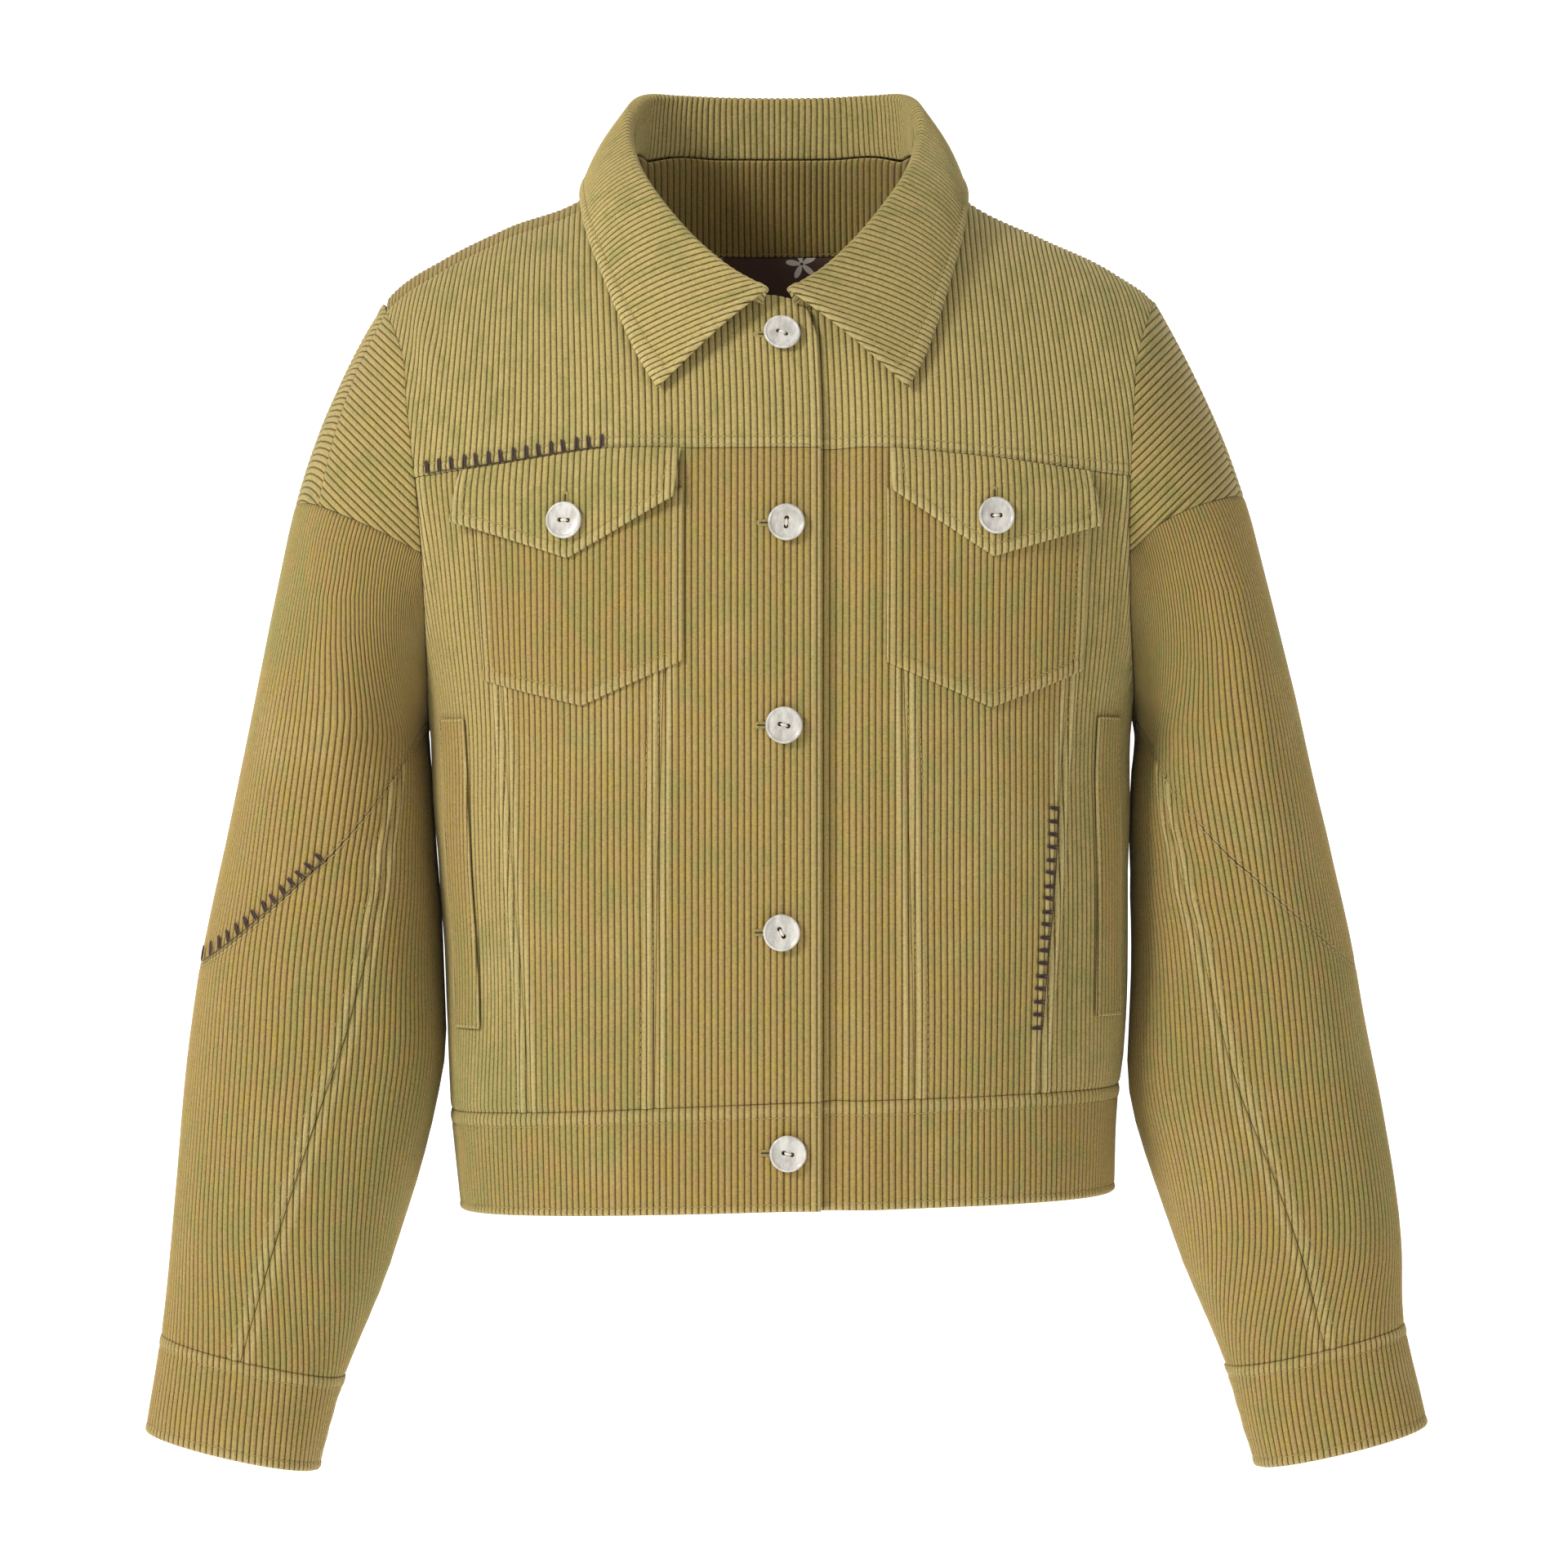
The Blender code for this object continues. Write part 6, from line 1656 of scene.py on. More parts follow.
    def inner_back(self) -> list[Panel]:
        """The neck facing and the lining below it."""
        start, borders = self.cut.back_top, self.back_curves()
        neck = float(self.torso.arc(self.cut.neck_half - 0.001, start, Face.BACK))
        u = np.linspace(-0.27, 0.27, 600)
        split = start + (borders["high"](u) - start) * 4 / 6 + 0.0075
        level = table_curve(u, split)
        facing = Panel(
            name="neck_facing", nodes=("neck_facing_back",), left=constant(-neck),
            right=constant(neck), low=table_curve(u, split + 0.0004),
            high=lambda u: borders["high"](u) + 0.0022,
            place=self.back_place(self.facing_depth), limits=(-0.10, 0.12), wall=0.0014,
            inward=True,
            sewn={"low": (0.0015,)})
        lining = Panel(
            name="lining_of_back", nodes=("lining_back",),
            left=lambda w: self.lining_share * borders["left"](w),
            right=lambda w: self.lining_share * borders["right"](w),
            low=lambda u: borders["low"](u) + 0.008, high=lambda u: level(u) - 0.0004,
            place=self.back_place(self.lining_depth), limits=(-0.477, 0.06), wall=0.0010,
            inward=True,
            cloth=PlainCloth())
        return [facing, lining]

    def waistband(self) -> list[Panel]:
        """The waistband's two front pieces and its back piece."""
        z = np.linspace(-0.54, -0.455, 40)
        ends = {(side, face): table_curve(
            z, self.torso.side_arc(z, side, face) - side.value * SEAM / 2)
            for side in Side for face in Face}
        made = [self.band(side.word, Face.FRONT, side, side.borders(
            self.lap_edge(side), ends[side, Face.FRONT])) for side in Side]
        made.append(self.band("", Face.BACK, None, {
            "left": ends[Side.RIGHT, Face.BACK], "right": ends[Side.LEFT, Face.BACK]}))
        return made

    def band(self, word: str, face: Face, side: Side | None, ends: dict[str, Curve]) -> Panel:
        """One piece of the waistband.

        Args:
            word: The side's word, or nothing for the back.
            face: Its face of the body.
            side: Its side, or None for the back.
            ends: Its left and right border.

        Returns:
            The piece.
        """
        name = "_".join(part for part in (face.name.lower(), word) if part)
        lap = {} if side is None else {side.near: (self.lap_row,)}
        return Panel(
            name=f"band_{name}", nodes=(f"waistband_{name}",), **ends,
            low=self.seam_by_arc(self.cut.hem, self.hem_level, face, 0.0),
            high=self.seam_by_arc(self.cut.waist_seam, self.waist_level, face, -SEAM / 2),
            place=self.ring_place(face, side, 0.0003), wall=BAND_WALL, limits=(-0.530, -0.462),
            finish=dict.fromkeys(("low", *lap), Edge.FOLD),
            sewn={"low": (0.0040,), **lap, "high": (0.0070,)})

    @staticmethod
    def edging(row: float, *borders: str) -> dict[str, dict]:
        """Folded borders with a row of stitches at this distance, for a Panel."""
        folds: dict[str, Edge] = dict.fromkeys(borders, Edge.FOLD)
        return {"finish": folds, "sewn": dict.fromkeys(borders, (row,))}

    def pocket(self, side: Side) -> Panel:
        """A chest pocket with a pointed lower edge.

        Args:
            side: Its side.

        Returns:
            The panel.
        """
        sign = side.value
        outs, lows = self.pockets[side]
        at = self.torso.arc(sign * np.array(outs), np.full(3, -0.21), Face.FRONT)
        ends = sorted((float(at[0]), float(at[2])))
        return Panel(
            name=f"pocket_front_{side.word}", nodes=(f"pocket_{side.word}",),
            left=constant(ends[0]), right=constant(ends[1]), low=table_curve(at, np.array(lows)),
            high=constant(self.pocket_top), wall=self.pocket_wall,
            place=self.ring_place(Face.FRONT, side, LAY + self.pocket_wall),
            limits=(-0.27, -0.159), mitre=self.pocket_row,
            **self.edging(self.pocket_row, "left", "right", "low"))

    def flap(self, side: Side) -> Panel:
        """A pocket flap, sewn in at the yoke seam.

        Args:
            side: Its side.

        Returns:
            The panel.
        """
        sign = side.value
        tops, ends, lows = self.flaps[side]
        full = 2 * LAY + self.pocket_wall + self.flap_wall
        tucked = LAY + self.flap_wall
        seam = self.yoke_by_arc(-0.0006)
        heights = np.array((lows[0], float(self.yoke_height(arr(sign * 0.1)))))
        corners = []
        for index in (0, 2):
            z = np.array((lows[index], heights[1]))
            corners.append(table_curve(z, self.torso.arc(
                sign * np.array((ends[index], tops[index])), z, Face.FRONT)))
        mid = self.torso.arc(sign * np.array(ends), np.array(lows), Face.FRONT)
        low = table_curve(mid, np.array(lows))
        middle = float(np.sort(mid)[1])

        def lift(u: Array, w: Array) -> Array:
            """The flap's height: tucked into the yoke seam, and up at its corners."""
            part = (w - low(u)) / (seam(u) - low(u))
            corner = np.clip((np.abs(u - middle) - 0.014) / 0.035, 0, 1.2) * ease(1.1 - part)
            return (full + 0.0030 * corner ** 1.5
                    + (tucked - full) * ease((part - 0.66) / 0.34))

        if sign < 0:
            corners.reverse()
        # The flap's tone is partly the cloth's tone and partly a painted highlight.
        return Panel(
            name=f"flap_front_{side.word}", nodes=(f"flap_{side.word}",),
            left=corners[0], right=corners[1], low=low, high=seam, wall=self.flap_wall,
            place=self.ring_place(Face.FRONT, side, lift), limits=(-0.196, -0.138),
            mitre=self.flap_row, tone=0.50, **self.edging(self.flap_row, "left", "right", "low"))

    def welt(self, side: Side) -> Panel:
        """The welt of a side pocket.

        Args:
            side: Its side.

        Returns:
            The panel.
        """
        sign = side.value
        heights, edges, width = self.welts[side]
        z = np.linspace(heights[0], heights[1], 40)
        start = self.torso.arc(sign * np.interp(z, heights, edges), z, Face.FRONT)
        inner, outer = table_curve(z, start), table_curve(z, start + sign * width)
        return Panel(
            name=f"welt_front_{side.word}", nodes=(f"welt_{side.word}",),
            **side.borders(inner, outer), low=constant(heights[0]), high=constant(heights[1]),
            wall=self.welt_wall, place=self.ring_place(Face.FRONT, side, LAY + self.welt_wall),
            limits=heights, **self.edging(self.welt_row, "left", "right", "low", "high"))


# ---------------------------------------------------------------- pieces of the sleeves
@dataclass
class SleevePieces:
    """Cuts the panels of one sleeve. w is minus the section number.

    The gaps are half of a seam: in degrees for seams along the sleeve, in sections for those
    round it.
    """

    sleeve: Sleeve
    back_slope: float = 0.45
    turn_gap: float = 0.14
    elbow_gap: float = 0.0060
    section_gap: float = 0.0030
    cap_gap: float = 0.0008
    seam_row: float = 0.0014

    @property
    def side(self) -> Side:
        """The sleeve's side."""
        return self.sleeve.side

    @property
    def cut(self) -> SleeveCut:
        """The sleeve's sizes."""
        return self.sleeve.cut

    def place(self, lift: float = 0.0) -> Place:
        """What places flat coordinates: arc length round the sleeve, and minus the section."""

        def put(u: Array, w: Array) -> tuple[Array, Array]:
            """Points and outward directions of flat coordinates."""
            turn = self.sleeve.around.value(-w, u)
            normals = self.sleeve.normal(turn, -w)
            return self.sleeve.at(turn, -w) + normals * lift, normals

        return put

    def metres(self, u: Array, w: Array) -> Array:
        """Metres to one section, at a place."""
        sleeve = self.sleeve
        turn = sleeve.around.value(-w, u)
        return read_table(sleeve.metres, *np.broadcast_arrays(
            -w / (sleeve.rows[1] - sleeve.rows[0]), turn - sleeve.degrees[0]))

    def along(self, w: Array) -> Array:
        """Metres along the sleeve."""
        return -np.interp(-w, self.sleeve.rows, self.sleeve.length)

    def turn_border(self, turn: Callable[[Array], Array]) -> Curve:
        """Arc length of a seam given in degrees by section."""
        v = np.linspace(0, 7, 160)
        return table_curve(-v, self.sleeve.around.length(v, turn(v)))

    def seam_border(self, section: Callable[[Array], Array], low: float, high: float) -> Curve:
        """Minus the section of a seam that runs round the sleeve, by arc length.

        Args:
            section: Section number by degrees.
            low: The first degrees.
            high: The last degrees.

        Returns:
            The border.
        """
        turn = np.linspace(low, high, 1600)
        v = section(turn)
        return table_curve(self.sleeve.around.length(v, turn), -v)

    def panel(self, name: str, node: str, turns: tuple[Curve, Curve], low: Curve, high: Curve,
              **options: object) -> Panel:
        """A sleeve panel between two seams along it.

        Args:
            name: The piece's name, without its side.
            node: Its node's name, without its side.
            turns: Degrees of its left and right seam by section.
            low: Its lower border.
            high: Its upper border.
            options: More fields of the panel.

        Returns:
            The panel.
        """
        options.setdefault("place", self.place())
        return Panel(
            name=f"{name}_{self.side.word}", nodes=(f"{node}_{self.side.word}",),
            left=self.turn_border(turns[0]), right=self.turn_border(turns[1]), low=low, high=high,
            metres=self.metres, along=self.along, spacing=0.0125, welt=0.0006, dip=0.0003,
            **options)

    def elbow(self, shift: float) -> Curve:
        """The slanting elbow seam by arc length."""
        return self.seam_border(lambda turn: self.sleeve.elbow_seam(turn) + shift, -200, 200)

    def upper(self) -> Panel:
        """The sleeve above the elbow seam."""

        def top(turn: Array) -> Array:
            """Section number of the upper border: the cap's seam, or the armhole past it."""
            start = self.sleeve.cap_seam(turn)
            return start + np.where(start > 0, self.cap_gap, 0.0)

        return self.panel(
            "upper_sleeve", "sleeve_upper", self.underarm(), self.elbow(-self.elbow_gap),
            self.seam_border(top, -185, 185), limits=(-3.9, 0.0), sewn={"low": (self.seam_row,)})

    def underarm(self) -> tuple[Curve, Curve]:
        """Both ends of a piece that goes all round, at the seam below the arm."""
        return constant(-180 + self.turn_gap), constant(180 - self.turn_gap)

    @staticmethod
    def seam_turn(table: Array, shift: float, turns: float = 0.0) -> Curve:
        """Degrees of a seam along the sleeve by section, with a shift and whole turns added."""
        return lambda v: turns + curve(table, 1, v) + shift

    def lower(self) -> list[Panel]:
        """The outer and the under piece below the elbow seam."""
        front, back, gap = self.cut.front_seam, self.cut.back_seam, self.turn_gap
        foot = constant(-(self.cut.cuff_top - self.section_gap))
        outer = self.panel(
            "outer_sleeve", "sleeve_outer",
            (self.seam_turn(back, gap), self.seam_turn(front, -gap)), foot,
            self.elbow(self.elbow_gap), limits=(-6.0, -0.9),
            sewn={"high": (self.seam_row,), "right": (self.seam_row, 0.0068)})
        under = self.panel(
            "under_sleeve", "sleeve_under",
            (self.seam_turn(front, gap), self.seam_turn(back, -gap, 360)), foot,
            self.under_elbow(), limits=(-6.0, -0.9), sewn={"high": (self.seam_row,)})
        return [outer, under]

    def under_elbow(self) -> Curve:
        """The elbow seam by arc length, counted on past the underarm."""
        return self.seam_border(
            lambda turn: self.sleeve.elbow_seam(turn) + self.elbow_gap, 10, 370)

    def cuff(self) -> Panel:
        """The plain closed cuff."""
        cut = self.cut
        return self.panel(
            "cuff_band", "cuff", self.underarm(),
            constant(-cut.cuff_end), constant(-(cut.cuff_top + self.section_gap)),
            limits=(-7.0, -6.0), place=self.place(0.0003), wall=BAND_WALL,
            finish={"low": Edge.FOLD}, sewn={"high": (0.0060,), "low": (0.0050,)})

    def caps(self, ridge: float) -> list[Panel]:
        """Both pieces of the shoulder cap, with slanting wales that meet along its ridge.

        Args:
            ridge: Degrees from the armhole's top to the shoulder seam.

        Returns:
            The front and the back piece.
        """
        sleeve = self.sleeve
        turn = np.linspace(-125, 125, 501)
        steps = np.linspace(0, 1, 31)
        path = sleeve.at(turn[:, None], steps[None, :])
        length = np.linalg.norm(np.diff(path, axis=1), axis=-1).sum(axis=1)
        end = sleeve.ridge_end
        made = []
        for face in Face:
            sign = -face.value
            corner = sign * sleeve.cap_end[face]
            seam = np.linspace(corner, end, 160)
            t = np.linspace(0, 1, 80)
            spine = ridge + (end - ridge) * t
            gap = sign * 0.16
            border = np.concatenate((
                np.stack((np.linspace(ridge + gap, corner, 160), np.zeros(160)), axis=-1),
                np.stack((seam, np.maximum(sleeve.cap_seam(seam) - self.cap_gap, 0)), axis=-1),
                np.stack((spine + gap, sleeve.cap_seam(spine) * t), axis=-1)[::-1],
            ))
            out = border[:, 1] * np.interp(border[:, 0], turn, length)
            levels = self.cap_levels(face, turn, length, float(out.max()), (ridge, end))
            outline = np.stack((levels.length(out, border[:, 0]), out), axis=-1)
            low, high = outline_curves(outline)
            # The caps' tone is partly a painted highlight on the top of the shoulder.
            made.append(Panel(
                name=f"cap_{face.name.lower()}_piece_{self.side.word}",
                nodes=(f"cap_{face.name.lower()}_{self.side.word}",),
                left=constant(float(outline[:, 0].min()) + 1e-5),
                right=constant(float(outline[:, 0].max()) - 1e-5), low=low, high=high,
                place=self.cap_place(levels, turn, length), limits=(0.0, 0.3), spacing=0.007,
                dip=0.0003, tone=0.40, held="draped", rests=(f"front_yoke_{self.side.word}",)))
        return made

    def cap_levels(self, face: Face, turn: Array, length: Array, reach: float,
                   spine: tuple[float, float]) -> Unrolled:
        """How far each place of the cap is across its slanting wales.

        Args:
            face: The front or the back piece.
            turn: Degrees round the armhole.
            length: The cap's length outwards at them.
            reach: How far the piece reaches outwards.
            spine: Degrees of the ridge's inner and outer end.

        Returns:
            The measure across the wales, by distance outwards and degrees.
        """
        sign = -face.value
        first = min(sign * end for end in spine) - 3.0
        round_it = sign * np.linspace(first, 125.0, 311)
        rows = np.linspace(0, 1.02 * reach, 70)
        v = np.clip(rows[:, None] / np.interp(round_it, turn, length), 0, 1)
        points = self.sleeve.at(np.broadcast_to(round_it, v.shape), v)
        arc = run_length(points[0])
        if face is Face.FRONT:
            slant = unit(np.array((-self.side.value, 0.0, 1.0)))
            return Unrolled(rows, round_it, -points @ slant, 0.0)
        levels = (self.back_slope * arc - rows[:, None]) / math.hypot(1, self.back_slope)
        return Unrolled(rows, round_it[::-1], -levels[:, ::-1], 0.0)

    def cap_place(self, levels: Unrolled, turn: Array, length: Array) -> Place:
        """How a cap's piece lies on the sleeve.

        Args:
            levels: The measure across its wales.
            turn: Degrees round the armhole.
            length: The cap's length outwards at them.

        Returns:
            What places flat coordinates: the measure, and the distance outwards.
        """

        def put(u: Array, w: Array) -> tuple[Array, Array]:
            """Points and outward directions of flat coordinates."""
            at = levels.value(w, u)
            v = np.clip(w / np.interp(at, turn, length), 0, 1)
            return self.sleeve.at(at, v), self.sleeve.normal(at, v)

        return put


def outline_curves(outline: Array) -> tuple[Curve, Curve]:
    """Lower and upper border by u of an outline that each u crosses twice.

    Args:
        outline: Points (u, w) round the piece.

    Returns:
        The lower and the upper border.
    """
    closed = np.concatenate((outline, outline[:1]))
    us = np.linspace(outline[:, 0].min() + 1e-6, outline[:, 0].max() - 1e-6, 500)
    a, b = closed[:-1], closed[1:]
    lows, highs = [], []
    for u in us:
        crossing = (a[:, 0] - u) * (b[:, 0] - u) <= 0
        span = b[crossing, 0] - a[crossing, 0]
        part = np.where(np.abs(span) < 1e-12, 0.5, (u - a[crossing, 0]) / np.where(
            np.abs(span) < 1e-12, 1, span))
        w = a[crossing, 1] + (b[crossing, 1] - a[crossing, 1]) * part
        lows.append(w.min())
        highs.append(w.max())
    return table_curve(us, np.array(lows)), table_curve(us, np.array(highs))


@dataclass
class CollarPiece:
    """Cuts the collar: its wales are straight on the flat piece and swing round with its ends."""

    form: CollarForm
    shares: tuple[float, ...] = (
        0.0, 0.1, 0.2, 0.28, 0.30, 0.32, 0.34, 0.36, 0.38, 0.40, 0.42, 0.44, 0.48, 0.54,
        0.60, 0.66, 0.72, 0.78, 0.84, 0.89, 0.94, 1.0)
    heading: float = 0.66
    fold_share: float = 0.36
    row: float = 0.0060

    def __post_init__(self) -> None:
        """Measures the collar's fold and width."""
        self.t = np.linspace(-1, 1, 321)
        widths = np.linspace(0, 1, 41)
        t, w = np.meshgrid(self.t, widths, indexing="ij")
        grid = self.form.at(t, w)
        self.across = np.linalg.norm(np.diff(grid, axis=1), axis=-1).sum(axis=1)
        fold = grid[:, 15]
        step = np.linalg.norm(np.diff(fold, axis=0), axis=-1)
        swing = self.swing(0.5 * (self.t[1:] + self.t[:-1]))
        x = np.concatenate(([0], np.cumsum(step * np.cos(swing))))
        self.x = x - np.interp(0, self.t, x)

    def swing(self, t: Array) -> Array:
        """Heading of the neck edge on the flat piece."""
        return self.heading * np.sign(t) * ease(np.abs(t))

    def place(self, u: Array, w: Array) -> tuple[Array, Array]:
        """Places flat coordinates: u across the wales, w the share of the width."""
        t = np.interp(u, self.x, self.t)
        for _ in range(14):
            q = (w - self.fold_share) * np.interp(t, self.t, self.across)
            t = 0.4 * t + 0.6 * np.interp(u - q * np.sin(self.swing(t)), self.x, self.t)
        return self.form.at(t, w), self.form.normal(t, w)

    def end(self, t: float) -> Curve:
        """The collar's front end on the flat piece."""
        across = float(np.interp(t, self.t, self.across))
        w = np.linspace(0, 1, 60)
        x = float(np.interp(t, self.t, self.x))
        heading = float(self.swing(arr(t)))
        return table_curve(w, x + (w - self.fold_share) * across * math.sin(heading))

    def panel(self) -> Panel:
        """The collar's one piece."""
        width = float(self.across.mean())
        # The collar's tone is partly the cloth's tone and partly a painted highlight.
        return Panel(
            name="collar_piece", nodes=("collar",), left=self.end(-0.9995),
            right=self.end(0.9995), low=constant(0.0), high=constant(1.0), place=self.place,
            limits=(0.0, 1.0), wall=self.form.cut.wall,
            metres=lambda u, w: np.full_like(u, width), along=lambda w: w * width,
            shares=self.shares, mitre=self.row,
            **BodyPieces.edging(self.row, "left", "right", "high"), tone=0.60, held="draped",
            rests=("back", "front_yoke_left"),
            # Painted light and shade by leaf: lighter on the wearer's right leaf, darker towards
            # the left one.
            nap=lambda u: np.interp(u, (-0.20, -0.10, 0.10, 0.20), (0.12, -0.06, -0.10, -0.14)))


# ---------------------------------------------------------------- sewing and buttons
def axes_to(along: Array, up: Array) -> tuple[Array, Array, Array]:
    """Three square axes from a direction and roughly upward directions."""
    x = unit(along)
    y = unit(np.cross(up, x))
    return x, y, np.cross(x, y)


@dataclass
class Sewing:
    """Collects stitches by thread, and builds each thread's stitches as one piece."""

    stitches: dict[str, list[tuple[Array, Array, Array, Array]]] = field(default_factory=dict)
    tonal_sides: tuple[int, int] = (4, 3)
    bold_sides: tuple[int, int] = (8, 6)
    blunt: float = 0.7

    def add(self, thread: str, starts: Array, ends: Array, ups: Array, width: float,
            height: float | None = None) -> None:
        """Adds stitches.

        Args:
            thread: The thread's name.
            starts: Where they start.
            ends: Where they end.
            ups: The surface's outward directions there.
            width: Their width.
            height: Their height, or None for the width.
        """
        size = np.tile((width, height or width), (len(starts), 1))
        self.stitches.setdefault(thread, []).append((starts, ends, ups, size))

    def run(self, thread: str, line: tuple[Array, Array], length: float = 0.0030,
            gap: float = 0.0007, width: float = 0.00055, lift: float = 0.0) -> None:
        """Adds a row of stitches.

        Args:
            thread: The thread's name.
            line: Points and outward directions along the row.
            length: Length of one stitch.
            gap: Cloth between two stitches.
            width: Thickness of the thread.
            lift: Height of the stitches' middle over the points.
        """
        points, ups = line
        if len(points) < 2:
            return
        s = run_length(points)
        keep = np.concatenate(([True], np.diff(s) > 1e-7))
        points, ups, s = points[keep], ups[keep], s[keep]
        count = int(s[-1] / (length + gap))
        if count < 1:
            return
        first = (s[-1] - count * (length + gap) + gap) / 2 + np.arange(count) * (length + gap)
        up = unit(between(first + length / 2, s, ups))
        start, end = between(first, s, points), between(first + length, s, points)
        self.add(thread, start + up * lift, end + up * lift, up, width)

    def build(self, thread: str, name: str, material: bpy.types.Material,
              torso: Torso) -> bpy.types.Object:
        """Builds every stitch of a thread.

        Args:
            thread: The thread's name.
            name: The piece's name.
            material: The thread's material.
            torso: The body, for its stance.

        Returns:
            The piece.
        """
        starts, ends, ups, sizes = (
            np.concatenate([group[k] for group in self.stitches[thread]]) for k in range(4))
        template = bmesh.new()
        sides, rings = self.tonal_sides if thread == "tonal_thread" else self.bold_sides
        bmesh.ops.create_uvsphere(template, u_segments=sides, v_segments=rings, radius=1.0,
                                  matrix=Matrix.Rotation(math.pi / 2, 4, "Y"))
        one = mesh_of(template, name + "_one")
        bm = bmesh.new()
        for _ in range(len(starts)):
            bm.from_mesh(one)
        mesh = mesh_of(bm, name)
        shape = places_of(one)
        bpy.data.meshes.remove(one)
        shape[:, 0] = np.sign(shape[:, 0]) * np.abs(shape[:, 0]) ** self.blunt
        x, y, z = axes_to(ends - starts, ups)
        half = 0.5 * np.linalg.norm(ends - starts, axis=1) + 0.25 * sizes[:, 0]
        middle = 0.5 * (starts + ends)
        placed = (
            middle[:, None] + x[:, None] * (shape[None, :, :1] * half[:, None, None])
            + y[:, None] * (shape[None, :, 1:2] * 0.5 * sizes[:, None, :1])
            + z[:, None] * (shape[None, :, 2:] * 0.5 * sizes[:, None, 1:])
        )
        move_to(mesh, torso.lean(placed.reshape(-1, 3)))
        mesh.shade_smooth()
        mesh.materials.append(material)
        log.info("%s: %d stitches", name, len(starts))
        return link(name, mesh)


@dataclass
class ButtonForm:
    """A turned button with a raised thin rim, a shallow dish and two sewing holes."""

    radius: float = 0.0093
    height: float = 0.0030
    hole: float = 0.00120
    apart: float = 0.0042
    section: tuple[tuple[float, float], ...] = (
        (0.00, 0.00), (0.55, 0.00), (0.78, 0.03), (0.90, 0.14), (0.97, 0.38), (1.00, 0.62),
        (0.995, 0.80), (0.965, 0.94), (0.925, 1.00), (0.885, 0.98), (0.855, 0.90), (0.83, 0.80),
        (0.78, 0.75), (0.60, 0.70), (0.30, 0.64), (0.00, 0.62),
    )

    def mesh(self) -> bpy.types.Mesh:
        """One button lying face up at the origin."""
        bm = bmesh.new()
        corners = [bm.verts.new((r * self.radius, 0, h * self.height)) for r, h in self.section]
        edges = [bm.edges.new(pair) for pair in zip(corners, corners[1:])]
        bmesh.ops.spin(bm, geom=corners + edges, cent=(0, 0, 0), axis=(0, 0, 1),
                       angle=2 * math.pi, steps=48, use_merge=True, use_duplicate=False)
        bmesh.ops.remove_doubles(bm, verts=bm.verts, dist=1e-6)
        bmesh.ops.recalc_face_normals(bm, faces=bm.faces)
        disc = link("button_disc", mesh_of(bm, "button_disc"))
        cutter = bmesh.new()
        for offset in (-self.apart / 2, self.apart / 2):
            made = bmesh.ops.create_cone(cutter, cap_ends=True, segments=16, radius1=self.hole,
                                         radius2=self.hole, depth=4 * self.height)
            bmesh.ops.translate(cutter, verts=made["verts"], vec=(offset, 0, 0))
        drill = link("button_drill", mesh_of(cutter, "button_drill"))
        cut = disc.modifiers.new("holes", "BOOLEAN")
        cut.operation, cut.object = "DIFFERENCE", drill
        graph = bpy.context.evaluated_depsgraph_get()
        made = bpy.data.meshes.new_from_object(disc.evaluated_get(graph))
        for thing in (disc, drill):
            bpy.data.objects.remove(thing)
        return made


